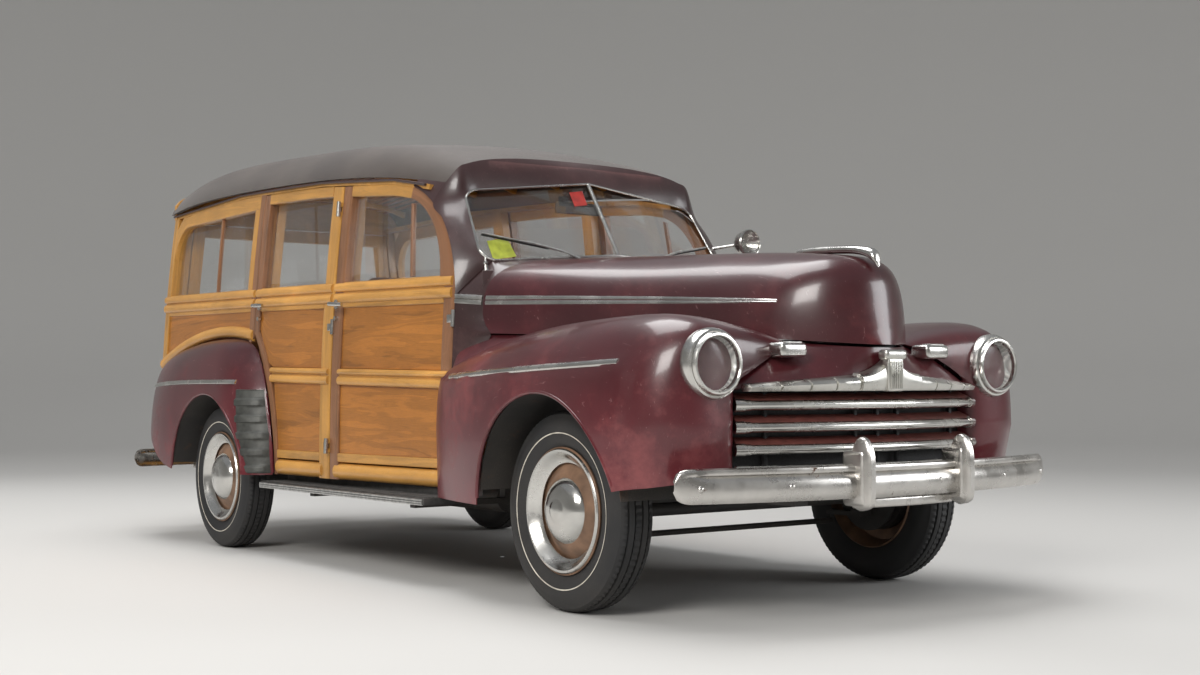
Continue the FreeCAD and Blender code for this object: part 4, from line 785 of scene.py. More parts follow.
# Shapes of the steel panels, metres. Each row is a station from the cowl forwards
HOOD_ROWS = (
    # centre x, centre z, edge x, edge y, edge z, squareness
    (0.962, 1.276, 0.889, 0.65, 0.975, 4.2),
    (1.4, 1.264, 1.4, 0.478, 0.957, 2.9),
    (1.85, 1.243, 1.85, 0.352, 0.94, 2.6),
    (2.15, 1.217, 2.08, 0.305, 0.93, 2.6),
    (2.29, 1.19, 2.17, 0.275, 0.922, 2.5),
    (2.345, 1.13, 2.25, 0.225, 0.915, 2.4),
    (2.363, 1.03, 2.32, 0.155, 0.908, 2.3),
    (2.375, 0.95, 2.365, 0.075, 0.903, 2.2),
)
FENDER_ROWS = (
    # seam (x, y, z), crown (x, y, z), widest (x, y, z), foot (x, y, z)
    (0.784, 0.676, 0.95, 0.784, 0.712, 0.822, 0.784, 0.724, 0.6, 0.784, 0.722, 0.35),
    (0.8, 0.688, 0.968, 0.8, 0.748, 0.828, 0.8, 0.792, 0.6, 0.8, 0.786, 0.35),
    (0.95, 0.632, 0.968, 0.95, 0.722, 0.882, 0.95, 0.842, 0.6, 0.95, 0.835, 0.35),
    (1.2, 0.545, 0.955, 1.2, 0.688, 0.942, 1.2, 0.893, 0.6, 1.2, 0.886, 0.35),
    (1.5, 0.45, 0.946, 1.5, 0.662, 0.982, 1.5, 0.918, 0.62, 1.5, 0.91, 0.35),
    (1.8, 0.366, 0.934, 1.8, 0.662, 0.998, 1.8, 0.92, 0.63, 1.8, 0.91, 0.36),
    (2.05, 0.313, 0.922, 2.07, 0.676, 0.998, 2.05, 0.898, 0.62, 2.03, 0.885, 0.43),
    (2.17, 0.282, 0.913, 2.2, 0.672, 0.972, 2.195, 0.848, 0.62, 2.17, 0.832, 0.45),
    (2.222, 0.31, 0.898, 2.262, 0.662, 0.932, 2.262, 0.765, 0.62, 2.228, 0.75, 0.462),
    (2.245, 0.4, 0.86, 2.275, 0.655, 0.86, 2.28, 0.672, 0.62, 2.245, 0.665, 0.466),
    (2.25, 0.535, 0.79, 2.265, 0.58, 0.775, 2.262, 0.582, 0.62, 2.246, 0.575, 0.466),
    (2.205, 0.52, 0.782, 2.21, 0.548, 0.77, 2.21, 0.55, 0.62, 2.2, 0.548, 0.466),
)
FRONT_ARCH = (1.655, 0.345, 0.402)
REAR_ARCH = (REAR_AXLE_X, 0.345, 0.402)
NOSE_PLAN = ((2.262, 0.59), (2.392, 0.0))
LAMP = (2.289, 0.667, 0.836)
PARK = (2.285, 0.342, 0.884)
DOOR_CURVE = ((-0.735, 0.372), (-0.842, 0.8), (C_X, 1.04))
EDGE = 0.0035
ROOF_EDGE = ((0.612, 1.586), (0.25, 1.653), (-0.4, 1.712), (-1.3, 1.749), (-2.266, 1.73))
ROOF_HALF = ((0.612, 0.622), (0.25, 0.674), (-0.4, 0.706), (-1.3, 0.716), (-2.266, 0.7))
ROOF_CROWN = ((0.612, 1.722), (0.25, 1.83), (-0.4, 1.906), (-1.3, 1.956), (-2.266, 1.9))
ROOF_POWER = 2.95
RAIL_H = 0.024


def belt_z(x):
    return 1.226 - 0.0235 * x


def mid_z(x):
    return 0.853 - 0.0245 * x


def door_top(x):
    return lookup(ROOF_EDGE, x) - RAIL_H


def leaf_top(x):
    """Upper edge of a door leaf."""
    return door_top(x) - EDGE


def sweep(name, path, profile, up=(0.0, 0.0, 1.0), closed_path=False):
    """Closed section of (out, up) points carried along 3-D points; out is to the right of the run."""
    pts = [Vector(p) for p in path]
    up = Vector(up)
    rows = []
    count = len(pts)
    for i, p in enumerate(pts):
        if closed_path:
            t = (pts[(i + 1) % count] - pts[i - 1]).normalized()
        else:
            t = (pts[min(i + 1, count - 1)] - pts[max(i - 1, 0)]).normalized()
        out = t.cross(up).normalized()
        lift = out.cross(t).normalized()
        rows.append([p + out * a + lift * b for a, b in profile])
        rows[-1].append(rows[-1][0])
    if closed_path:
        rows.append(rows[0])
        return skin(name, rows, closed=True)
    return skin(name, rows, closed=True, capped=True)


def rounded(width, height, radius, steps=4, centre=(0.0, 0.0)):
    """Rounded rectangle as (out, up) points."""
    pts = []
    for cx, cy, a0 in ((1, 1, 0), (-1, 1, 90), (-1, -1, 180), (1, -1, 270)):
        for k in range(steps + 1):
            a = radians(a0 + 90.0 * k / steps)
            pts.append((centre[0] + cx * (width / 2 - radius) + radius * cos(a),
                        centre[1] + cy * (height / 2 - radius) + radius * sin(a)))
    return pts


def nose_x(y, forward=0.0):
    """Plan curve of the nose across the car."""
    (x0, y0), (x1, _) = NOSE_PLAN
    sag = x1 - x0
    radius = (y0 * y0 + sag * sag) / (2.0 * sag)
    return x1 - radius + sqrt(radius * radius - y * y) + forward


# Boards on the wooden body side
def board_points(low, high, profile, sign):
    """Rows of a board between two edge paths of (x, z); profile is (share across, rise) points."""
    rows = []
    for (xa, za), (xb, zb) in zip(low, high):
        row = []
        for share, rise in profile:
            x = xa + (xb - xa) * share
            z = za + (zb - za) * share
            row.append((x, sign * (side_y(x, z) + rise), z))
        row.append(row[0])
        rows.append(row)
    return rows


def flat_profile(rise, depth, ease=0.06, steps=3):
    """Board face standing at rise with eased edges, and its back at -depth."""
    pts = [(0.0, -depth), (0.0, rise - 0.003)]
    pts += [(ease, rise)] + [(ease + (1 - 2 * ease) * k / (steps + 1), rise) for k in range(1, steps + 1)]
    return pts + [(1.0 - ease, rise), (1.0, rise - 0.003), (1.0, -depth)]


STILE_DEPTH = 0.044
DOOR_FOOT = 0.3765
PANEL_FOOT = 0.488
PANEL_SECTION = flat_profile(-0.008, 0.016, 0.01)
LINING_SECTION = flat_profile(-0.04, 0.0455, 0.02)


def round_profile(rise, base, steps=8):
    """Half-round moulding."""
    pts = [(0.0, base)]
    for k in range(steps + 1):
        a = pi * k / steps
        pts.append((0.5 - 0.5 * cos(a), base + 0.003 + (rise - base - 0.003) * sin(a)))
    return pts + [(1.0, base)]


def board(name, low, high, profile, sign):
    return skin(name, board_points(low, high, profile, sign), closed=True, capped=True)


def level_path(level, drop, x0, x1, count=7):
    return [(x0 + (x1 - x0) * i / (count - 1), level(x0 + (x1 - x0) * i / (count - 1)) - drop)
            for i in range(count)]


def post_path(x0, z0, x1, z1, count=9):
    return line((x0, z0), (x1, z1), count)


WOOD = {}


def boards_of(leaf, side):
    """Maker of a leaf's boards, which are kept by their kind of wood until they are joined."""
    def add(kind, low, high, profile):
        WOOD.setdefault((leaf, kind), []).append(board(leaf + "_" + kind, low, high, profile, SIDES[side]))
    return add


def rails_for(add, x0, x1, bar_x0, bar_x1, mid_x0=None):
    """Belt rail, its pale line and half-round bars, and the mid rail with its bars."""
    belt_low = level_path(belt_z, 0.107, x0, x1)
    belt_high = level_path(belt_z, -0.004, x0, x1)
    add("rail", belt_low, belt_high, flat_profile(0.0, 0.02, 0.03))
    for top, low in ((0.0, 0.038), (0.044, 0.087)):
        add("bar", level_path(belt_z, low, bar_x0, bar_x1), level_path(belt_z, top, bar_x0, bar_x1),
            round_profile(sizes().moulding_rise, -0.002))
    if mid_x0 is not None:
        add("rail", level_path(mid_z, 0.07, mid_x0, x1), level_path(mid_z, 0.0, mid_x0, x1),
            flat_profile(0.0, 0.02, 0.04))
        for top, low in ((0.0, 0.026), (0.032, 0.07)):
            add("bar", level_path(mid_z, low, mid_x0, bar_x1), level_path(mid_z, top, mid_x0, bar_x1),
                round_profile(sizes().moulding_rise, -0.002))


def foot_for(add, x0, x1):
    """Lower rail over a pale half-round sill piece."""
    add("rail", line((x0, 0.452), (x1, 0.452), 7), line((x0, 0.49), (x1, 0.49), 7),
        flat_profile(0.0, 0.02, 0.08))
    add("pale", line((x0, DOOR_FOOT), (x1, DOOR_FOOT), 7), line((x0, 0.446), (x1, 0.446), 7),
        round_profile(0.01, -0.02))


def build_front_door(side):
    add = boards_of("door_front_" + side, side)
    x0, x1 = B_X + EDGE, A_X - EDGE
    stile0, stile1 = B_X + 0.076, A_X - 0.08
    add("stile", post_path(x0, DOOR_FOOT, x0, leaf_top(x0) - 0.003),
        post_path(stile0, DOOR_FOOT, stile0, leaf_top(stile0) - 0.003), flat_profile(0.001, STILE_DEPTH))
    add("stile", post_path(stile1, DOOR_FOOT, stile1, 1.208), post_path(x1, DOOR_FOOT, x1, 1.13),
        flat_profile(0.001, STILE_DEPTH))
    outer = arc((x1, 1.13), (x1 - 0.115, 1.4265), (0.4, leaf_top(0.4)), 22)
    inner = arc((A_X - 0.118, 1.212), (A_X - 0.19, 1.42), (0.39, door_top(0.39) - 0.052), 22)
    add("stile", inner, outer, flat_profile(0.002, STILE_DEPTH, 0.1))
    add("rail", [(x, door_top(x) - 0.052) for x in (0.39, 0.25, 0.1, 0.0, stile0)],
        [(x, leaf_top(x)) for x in (0.4, 0.25, 0.1, 0.0, stile0)], flat_profile(0.001, STILE_DEPTH, 0.08))
    rails_for(add, stile0, stile1, x0 + 0.012, x1 - 0.014, stile0)
    foot_for(add, stile0 - 0.03, stile1 + 0.03)
    for low, high in ((level_path(mid_z, 0.0, stile0 - 0.004, stile1 + 0.004),
                       level_path(belt_z, 0.105, stile0 - 0.004, stile1 + 0.004)),
                      (line((stile0 - 0.004, PANEL_FOOT), (stile1 + 0.004, PANEL_FOOT), 7),
                       level_path(mid_z, 0.068, stile0 - 0.004, stile1 + 0.004))):
        add("panel", low, high, PANEL_SECTION)
    inner_low = line((x0 + 0.02, 0.4), (x1 - 0.03, 0.4), 5)
    inner_high = level_path(belt_z, 0.012, x0 + 0.02, x1 - 0.03, 5)
    add("inner", inner_low, inner_high, LINING_SECTION)
    add("stile", post_path(0.404, 1.226, 0.366, 1.536), post_path(0.424, 1.226, 0.386, 1.53),
        flat_profile(-0.014, 0.03, 0.2))


def build_rear_door(side):
    add = boards_of("door_rear_" + side, side)
    x0, x1 = C_X + EDGE, B_X - EDGE
    stile0, stile1 = C_X + 0.054, B_X - 0.1
    (cx0, cz0), (cx1, cz1), (cx2, cz2) = DOOR_CURVE
    curve = arc((cx0 + EDGE, cz0 + EDGE), (cx1 + EDGE, cz1), (cx2 + EDGE, cz2), 24)
    inset = arc((cx0 + 0.028, cz0 + EDGE), (cx1 + 0.055, cz1), (cx2 + 0.054, cz2 + 0.004), 24)
    add("dark", curve, inset, flat_profile(0.001, STILE_DEPTH, 0.1))
    add("dark", post_path(x0, cz2, x0, leaf_top(x0) - 0.003),
        post_path(stile0, cz2, stile0, leaf_top(stile0) - 0.003), flat_profile(0.001, STILE_DEPTH))
    add("rail", post_path(stile1, DOOR_FOOT, stile1, leaf_top(stile1) - 0.003),
        post_path(x1, DOOR_FOOT, x1, leaf_top(x1) - 0.003), flat_profile(0.001, STILE_DEPTH))
    add("rail", [(x, door_top(x) - 0.052) for x in (stile1, -0.5, -0.7, stile0)],
        [(x, leaf_top(x)) for x in (stile1, -0.5, -0.7, stile0)], flat_profile(0.001, STILE_DEPTH, 0.08))
    rails_for(add, stile0, stile1, x0 + 0.012, x1 - 0.014, cx1 + 0.062)
    foot_for(add, cx0 + 0.028, stile1 + 0.03)
    low = [(stile1 + 0.004, mid_z(stile1))] + [(x, mid_z(x))
            for x in (-0.4, -0.55, -0.7)] + [(cx1 + 0.05, mid_z(cx1)), (cx1 - 0.005, 0.9), (-0.905, 0.99),
            (stile0 - 0.004, 1.062)]
    high = [(x, belt_z(x) - 0.105) for x in (stile1 + 0.004, -0.4, -0.55, -0.7, -0.79, -0.85, -0.9,
            stile0 - 0.004)]
    add("panel", low, high, PANEL_SECTION)
    add("panel", [(stile1 + 0.004, PANEL_FOOT), (-0.5, PANEL_FOOT), (-0.66, PANEL_FOOT),
                  (cx0 + 0.018, PANEL_FOOT)], [(stile1 + 0.004, mid_z(stile1) - 0.068),
            (-0.5, mid_z(-0.5) - 0.068), (-0.66, mid_z(-0.66) - 0.068), (cx1 + 0.075, mid_z(cx1) - 0.068)],
        PANEL_SECTION)
    add("inner", [(x1 - 0.03, 0.4), (-0.5, 0.4), (-0.7, 0.4), (-0.74, 0.6), (-0.8, 0.8)],
        [(x1 - 0.03, belt_z(0.2) - 0.012), (-0.5, belt_z(-0.5) - 0.012), (-0.72, belt_z(-0.7) - 0.012),
         (-0.86, belt_z(-0.86) - 0.012), (x0 + 0.03, belt_z(-0.97) - 0.012)], LINING_SECTION)


def build_quarter(side):
    add = boards_of("body", side)

    def top(x):
        return door_top(x) - 0.001
    f0, f1 = C_X - 0.06, C_X
    add("stile_" + side, post_path(f0, 0.97, f0, top(f0)), post_path(f1 - 0.001, 1.02, f1 - 0.001, top(f1)),
        flat_profile(0.001, STILE_DEPTH))
    back0 = REAR_X + 0.002
    add("rail_" + side, post_path(back0, 0.475, back0, top(REAR_X)),
        post_path(back0 + 0.058, 0.475, back0 + 0.058, top(REAR_X)), flat_profile(0.001, STILE_DEPTH))
    x0, x1 = back0 + 0.058, f0
    rails_for(boards_of("body_" + side, side), x0, x1, REAR_X + 0.004, C_X - 0.012)
    frame_low = [(x1 - 0.062, 1.25)] + [(x1 - 0.062, z)
                                        for z in (1.4, 1.55)] + [(x1 - 0.062, door_top(C_X) - 0.066)]
    frame_high = [(x1, 1.25), (x1, 1.4), (x1, 1.55), (x1, door_top(C_X) - 0.066)]
    add("rail_" + side, frame_low, frame_high, flat_profile(-0.001, STILE_DEPTH, 0.08))
    zt = door_top(C_X) - 0.066
    q0 = REAR_X + 0.062
    window_top = [(x1, zt), (x1 - 0.3, zt), (x1 - 0.6, zt), (q0 + 0.19, zt)] + arc((q0 + 0.19, zt),
            (q0 + 0.056, zt - 0.044), (q0, zt - 0.17), 10)[1:]
    roof_line = [(x, top(x)) for x in (x1, x1 - 0.3, x1 - 0.6, q0 + 0.19)] + [(q0 + 0.19 - 0.19 * k / 9.0,
            top(q0)) for k in range(1, 7)] + [(q0 - 0.004, top(q0) - 0.06 * k) for k in range(1, 4)]
    add("rail_" + side, window_top, roof_line, flat_profile(0.0, STILE_DEPTH, 0.05))
    arch_top = arc((REAR_X + 0.004, 0.942), (-1.65, 1.074), (C_X - 0.012, 1.056), 34)
    arch_low = [(x, z - 0.055) for x, z in arch_top]
    add("pale_" + side, arch_low, arch_top, round_profile(sizes().moulding_rise, -0.01))
    panel_low = [(x, z - 0.004) for x, z in arch_top]
    panel_high = [(x, belt_z(x) - 0.105) for x, z in arch_top]
    add("panel_" + side, panel_low, panel_high, PANEL_SECTION)
    add("inner_" + side, [(x, 0.84) for x in (x0 + 0.06, -1.6, C_X - 0.08)],
        [(x, belt_z(x) - 0.012) for x in (x0 + 0.06, -1.6, C_X - 0.08)], LINING_SECTION)
    add("stile_" + side, post_path(-1.566, 1.262, -1.59, zt), post_path(-1.546, 1.262, -1.57, zt),
        flat_profile(-0.014, 0.03, 0.2))


def finish_wood():
    """Join the boards of each leaf by kind of wood and give each its finish."""
    kinds = {"rail": "rail_wood", "bar": "bar_wood", "pale": "pale_wood", "stile": "stile_wood",
             "dark": "dark_stile_wood", "panel": "panel_wood", "inner": "inner_wood"}
    for (leaf, kind), boards in WOOD.items():
        base = kind.split("_")[0]
        piece = join(leaf + "_" + kind, boards)
        body = "body" if leaf.startswith("body") else leaf
        replaces = ()
        if base == "rail" and body != "body":
            replaces = (leaf,)
        if leaf == "body" and kind == "rail_left":
            replaces = ("quarters",)
        dress(piece, kinds[base], body, replaces)
    WOOD.clear()


# Steel shells
def superellipse(a, n):
    return sin(a) ** (2.0 / n), cos(a) ** (2.0 / n)


def hood_rows(columns=33, stations=46):
    """Half sections of the hood, mirrored; its lower rear corners are rounded off."""
    rows = []
    for i, (cx, cz, ex, ey, ez, n) in enumerate(smooth_rows(HOOD_ROWS, stations)):
        ease = max(0.0, 1.0 - i / 7.0) ** 2
        half = []
        for k in range(columns):
            t = 1.0 - k / (columns - 1.0)
            s, c = superellipse(pi / 2.0 * (1.0 - t ** 1.6), n)
            z = ez + (cz - ez) * c
            low = max(0.0, (1.065 - z) / 0.09)
            half.append((cx + (ex - cx) * s * s + 0.06 * ease * low * low, ey * s, z))
        rows.append([(x, -y, z) for x, y, z in reversed(half[1:])] + half)
    return rows


def band(name, find, sign, stations, rise, groove=True):
    """Moulding laid on a face: stations of (x, z, half height), with a groove along its middle."""
    ring = [(-1.0, -0.2), (-0.92, 0.7), (-0.45, 1.0), (-0.1, 0.75 if groove else 1.0),
            (0.0, 0.1 if groove else 1.0), (0.1, 0.75 if groove else 1.0), (0.45, 1.0), (0.92, 0.7),
            (1.0, -0.2)]
    rows = []
    for x, z, half in stations:
        row = []
        for up, out in ring:
            hit = find(x, z + up * half, sign, 0.2)
            if hit is not None:
                row.append((x, hit.y + sign * out * rise, z + up * half))
        if len(row) == len(ring):
            rows.append(row + [row[0]])
    return skin(name, rows, closed=True, capped=True)


def build_hood():
    rows = hood_rows()
    piece = skin("hood_shell", rows + [[(2.384, y * 0.5, 0.901) for x, y, z in rows[-1]]])
    find = surface(piece)
    tree = faces_of(piece)
    thicken(piece, 0.004)
    dress(piece, "paint", "hood", replaces=("hood",), angle=50.0)
    strips = []
    for sign in (1.0, -1.0):
        stations = [(0.9 + (2.15 - 0.9) * t, 1.1065 - 0.043 * t - 0.012 * t * t, 0.0195 - 0.013 * t ** 2)
                    for t in [k / 50.0 for k in range(51)]]
        strips.append(band("hood_strip", find, sign, stations, 0.006))
    dress(join("hood_strips", strips), "chrome", "hood", angle=30.0)
    body = [((1.962, 1.24), 0.006, 0.01), ((2.05, 1.24), 0.014, 0.012), ((2.15, 1.236), 0.02, 0.014),
            ((2.24, 1.23), 0.024, 0.015), ((2.3, 1.219), 0.024, 0.017), ((2.34, 1.2), 0.02, 0.022),
            ((2.352, 1.176), 0.01, 0.012)]
    rings = []
    for (x, z), w, h in body:
        rings.append([(x, w * cos(a), z + h * sin(a)) for a in [2 * pi * k / 14 for k in range(14)]])
        rings[-1].append(rings[-1][0])
    mascot = skin("hood_ornament", smooth_loop(rings, 22), closed=True, capped=True)
    dress(mascot, "chrome", "hood", angle=60.0)
    # Seams either side of the strip down the middle of the nose
    seams = []
    for y in (-0.045, 0.045):
        path = []
        for k in range(24):
            hit = tree.ray_cast(Vector((3.0, y, 1.19 - 0.27 * k / 23.0)), Vector((-1.0, 0.0, 0.0)))[0]
            if hit is not None:
                path.append(hit)
        if len(path) > 3:
            seams.append(tube("nose_seam", path, 0.0022, 6))
    dress(join("hood_nose_seams", seams), "shadow", "hood", angle=40.0)
    arms = []
    for y in (-0.15, 0.15):
        arms.append(block("hood_arm", (0.918, y - 0.005, 1.246), (1.052, y + 0.005, 1.264), 0.002))
    dress(join("hood_arms", arms), "iron", "hood")


def roof_front(y):
    """Point of the roof's front edge at y."""
    x, edge, crown, half = ROOF_EDGE[0][0], ROOF_EDGE[0][1], ROOF_CROWN[0][1], ROOF_HALF[0][1]
    t = min(abs(y) / half, 1.0)
    return Vector((x, y, edge + (crown - edge) * (1.0 - t ** ROOF_POWER) ** (1.0 / ROOF_POWER)))


def bowed(a, b, bulge, count, core=(0.2, 0.0, 1.2)):
    """Points of an arch from a to b, bulging away from the core."""
    a, b = Vector(a), Vector(b)
    middle = (a + b) / 2.0
    out = (middle - Vector(core)).normalized() * (b - a).length * bulge
    return [tuple(a * (1 - t) ** 2 + (middle + out) * 2 * t * (1 - t) + b * t * t)
            for t in [k / (count - 1) for k in range(count)]]


def pane_edge():
    """Half of the windshield opening, from the top's middle to the foot's middle, as (across, up)."""
    pts = [(0.0, 1.0), (0.25, 1.0), (0.5, 1.0), (0.75, 1.0), (0.9, 1.0)]
    pts += [(0.9 + 0.1 * cos(radians(a)), 0.85 + 0.15 * sin(radians(a))) for a in (67.5, 45.0, 22.5)]
    pts += [(1.0, 0.85), (1.0, 0.65), (1.0, 0.45), (1.0, 0.2)]
    pts += [(0.87 + 0.13 * cos(radians(a)), 0.2 + 0.2 * sin(radians(a))) for a in (-22.5, -45.0, -67.5)]
    return pts + [(0.87, 0.0), (0.6, 0.0), (0.3, 0.0), (0.0, 0.0)]


def both_ways(keys):
    """Keys from the car's middle to its left, led by their mirror images from its right."""
    flip = [tuple(-c if i % 3 == 1 else c for i, c in enumerate(k)) for k in reversed(keys[1:])]
    return flip + keys


# Ends of the header and cowl sheets: along them the skins bulge less towards the pillars' feet
HEADER_ROWS = 141
COWL_ROWS = 201
COWL_BACK = A_X + 0.0035


def build_cowl():
    """Header, pillars and cowl as smooth sheet steel round the windshield."""
    hood_edge = [p for p in hood_rows()[0] if p[1] >= 0.0]
    arc_side = arc((A_X + 0.0005, 1.13), (A_X - 0.1145, 1.4265), (0.404, door_top(0.404) + 0.001), 60)

    def side_point(x, z, out=0.001):
        return (x, side_y(x, z) + out, z)

    def by_arc(z):
        x, height = min(arc_side, key=lambda p: abs(p[1] - z))
        return side_point(x + 0.003, height)
    edge = pane_edge()
    keys = []
    for (across, up), y in zip(edge[:5], (0.0, 0.16, 0.31, 0.45, 0.545)):
        keys.append(tuple(screen_point(across, up, 1.0, 0.003))
                    + tuple(roof_front(y) + Vector((-0.004, 0.0, 0.001))))
    keys.append(tuple(screen_point(*edge[6], 1.0, 0.003))
                + tuple(roof_front(0.6) + Vector((-0.004, 0.0, 0.001))))
    for place, z in ((8, 1.515), (9, 1.44), (10, 1.355), (11, 1.262)):
        keys.append(tuple(screen_point(*edge[place], 1.0, 0.003)) + by_arc(z))
    foot = side_point(COWL_BACK, 1.13)
    keys.append(tuple(screen_point(*edge[13], 1.0, 0.003)) + by_arc(1.19))
    keys.append(tuple(screen_point(*edge[14], 1.0, 0.003)) + foot)
    rows = []
    for i, k in enumerate(smooth_rows(both_ways(keys), HEADER_ROWS)):
        bulge = 0.05 + 0.11 * min(1.0, min(i, HEADER_ROWS - 1 - i) / 22.0)
        rows.append(bowed(k[:3], k[3:], bulge, 11))
    header = skin("header", rows)
    last = rows[-1]
    keys = []
    for x, y, z in hood_edge:
        if y < 0.585:
            inner = screen_point(0.95 * y / 0.585 if y < 0.4 else 0.65 + (y - 0.4) / 0.185 * 0.27, 0.0, 1.0,
                                 0.002)
        elif z > 1.1:
            t = min(max((1.205 - z) / 0.105, 0.0), 1.0) * (len(last) - 1)
            k = min(int(t), len(last) - 2)
            inner = Vector(last[k]).lerp(Vector(last[k + 1]), t - k)
        else:
            inner = Vector(side_point(COWL_BACK, 0.98 + (z - 0.973) * (1.13 - 0.98) / (1.1 - 0.973)))
        keys.append(tuple(inner) + (x - 0.004, y, z))
    keys.append(side_point(COWL_BACK, 0.9) + (0.92, 0.652, 0.93))
    for z in (0.82, 0.7, 0.56, 0.4, 0.352):
        keys.append(side_point(COWL_BACK, z) + (0.884, 0.655, z))
    rows = [bowed(k[:3], k[3:], 0.05, 9) for k in smooth_rows(both_ways(keys), COWL_ROWS)]
    cowl = skin("cowl_top", rows)
    find = surface(cowl)
    strips = []
    for sign in (1.0, -1.0):
        stations = [(0.776 + (0.882 - 0.776) * k / 8.0, 1.1175 - 0.01 * k / 8.0, 0.0195) for k in range(9)]
        strips.append(band("cowl_strip", find, sign, stations, 0.006))
    shells = [header, cowl]
    for sign in (1.0, -1.0):
        corner = by_arc(1.505)
        patch = [[(corner[0], sign * corner[1], corner[2]),
                  tuple(roof_front(sign * 0.622) + Vector((-0.002, 0.0, 0.003)))]]
        for x, z in arc_side:
            if z > 1.5:
                p = side_point(x + 0.002, z, 0.006)
                patch.append([(p[0], sign * p[1], p[2]),
                              (x + 0.002, sign * (lookup(ROOF_HALF, x) + 0.007),
                               lookup(ROOF_EDGE, x) + 0.008)])
        piece = skin("header_side", patch)
        face_out(piece, sign)
        shells.append(piece)
    for piece in shells:
        thicken(piece, 0.005)
    shells.append(block("firewall", (0.866, -0.64, 0.56), (0.873, 0.64, 1.225), 0.001, 1))
    dress(join("cowl_shell", shells), "paint_upper", replaces=("cowl",), angle=55.0)
    dress(join("cowl_strips", strips), "chrome", angle=30.0)


def smooth_loop(rows, count):
    """Catmull-Rom through rows of 3-D points, point by point."""
    flat = [[c for p in row for c in p] for row in rows]
    return [[tuple(r[i:i + 3]) for i in range(0, len(r), 3)] for r in smooth_rows(flat, count)]


def fender_section(row, inner=9, outer=17, foot=7):
    seam, crown, wide, low = (Vector(row[k:k + 3]) for k in (0, 3, 6, 9))
    pts = []
    for k in range(inner):
        t = k / inner
        p = seam.lerp(crown, t)
        p.z = crown.z - (crown.z - seam.z) * (1.0 - t) ** 2
        pts.append(p)
    for k in range(outer):
        s, c = superellipse(pi / 2.0 * k / outer, 2.3)
        pts.append(Vector((crown.x + (wide.x - crown.x) * (1.0 - c), crown.y + (wide.y - crown.y) * s,
                           wide.z + (crown.z - wide.z) * c)))
    for k in range(foot + 1):
        pts.append(wide.lerp(low, k / foot))
    return [tuple(p) for p in pts]


def build_front_fenders():
    shells, beads, lips, liners = [], [], [], []
    for sign in (1.0, -1.0):
        rows = [fender_section(r) for r in smooth_rows(FENDER_ROWS, 70)]
        piece = skin("fender", sided(rows, sign))
        find = surface(piece)
        raise_lower_panel(piece, sign)
        thicken(piece, 0.004)
        cut_round(piece, FRONT_ARCH[0], FRONT_ARCH[1], FRONT_ARCH[2], sign * 0.6, sign * 1.0)
        shells.append(piece)
        liners.append(arch_liner("front_liner", FRONT_ARCH, find, sign, 0.62))
        lips.append(arch_lip("fender_lip", FRONT_ARCH, surface(piece), sign, 8.0, 176.0))
        stations = [(0.905 + (2.06 - 0.905) * t, strip_z(0.905 + (2.06 - 0.905) * t), 0.0115)
                    for t in [k / 40.0 for k in range(41)]]
        beads.append(band("fender_strip", find, sign, stations, 0.0165, False))
    dress(join("front_fender_shells", shells), "paint", replaces=("front_fenders",), angle=45.0)
    dress(join("front_arch_liners", liners), "iron")
    dress(join("front_fender_lips", lips), "paint")
    dress(join("front_fender_strips", beads), "chrome")


def strip_z(x):
    """Height of the front fender's strip."""
    return 0.812 + 0.034 * (x - 0.943) / 1.12


def raise_lower_panel(piece, sign):
    """The panel under the strip stands out by a small step, back from a rounded end."""
    for v in piece.data.vertices:
        x, z = v.co.x, v.co.z
        top = strip_z(x) - 0.004
        nose = 2.105 - 0.055 * ((z - 0.8) / 0.05) ** 2 if z > 0.8 else 2.105 - 0.1 * (0.8 - z)
        if z < top and x < nose:
            v.co.y += sign * 0.011


def arch_lip(name, arch, find, sign, start, end, radius=0.007):
    """Rolled edge round a wheel arch, laid on the fender's own face."""
    cx, cz, r = arch
    path = []
    for k in range(49):
        a = radians(start + (end - start) * k / 48.0)
        x, z = cx + (r + 0.004) * cos(a), cz + (r + 0.004) * sin(a)
        hit = find(x, z, sign)
        if hit is not None:
            path.append((x, hit.y - sign * 0.004, z))
    return tube(name, path, radius, 8)


REAR_TOP = smooth_rows(((-0.744, 0.372), (-0.772, 0.56), (-0.838, 0.775), (-0.9, 0.896), (-0.98, 0.974),
                        (-1.1, 1.009), (-1.3, 1.021), (-1.5, 1.016), (-1.7, 0.999), (-1.9, 0.972),
                        (-2.08, 0.93), (-2.235, 0.872)), 110)
REAR_FRONT = ((1.021, -1.1), (0.974, -0.98), (0.896, -0.9), (0.775, -0.838), (0.56, -0.772), (0.372, -0.744))
REAR_FOOT = ((-0.74, 0.372), (-1.66, 0.372), (-1.78, 0.392), (-1.9, 0.43), (-2.06, 0.51), (-2.18, 0.61),
             (-2.24, 0.7))


def swell(share, power):
    """Rise of a rounded edge: nothing at its rim, one where it has reached the full width."""
    share = min(max(share, 0.0), 1.0)
    return (1.0 - (1.0 - share) ** power) ** (1.0 / power)


def rear_fender_rows():
    """Sections of the left rear fender from its front edge backwards, each from its top to its foot."""
    rows = []
    for x, top in REAR_TOP[1:]:
        foot = lookup(REAR_FOOT, x)
        row = []
        for j in range(30):
            z = top - (top - foot) * (j / 29.0) ** 1.5
            side = side_y(x, z)
            full = swell((top - z) / 0.44, 2.2) * swell((lookup(REAR_FRONT, z) - x) / 0.26,
                    2.0) * swell((x + 2.25) / 0.62, 2.0)
            row.append((x, side + 0.001 + (0.928 - side) * full, z))
        rows.append(row)
    return rows


def face_out(piece, sign):
    """Turn a sheet's faces so that they look away from the car's middle."""
    if sum(p.normal.y * p.area for p in piece.data.polygons) * sign < 0.0:
        piece.data.flip_normals()


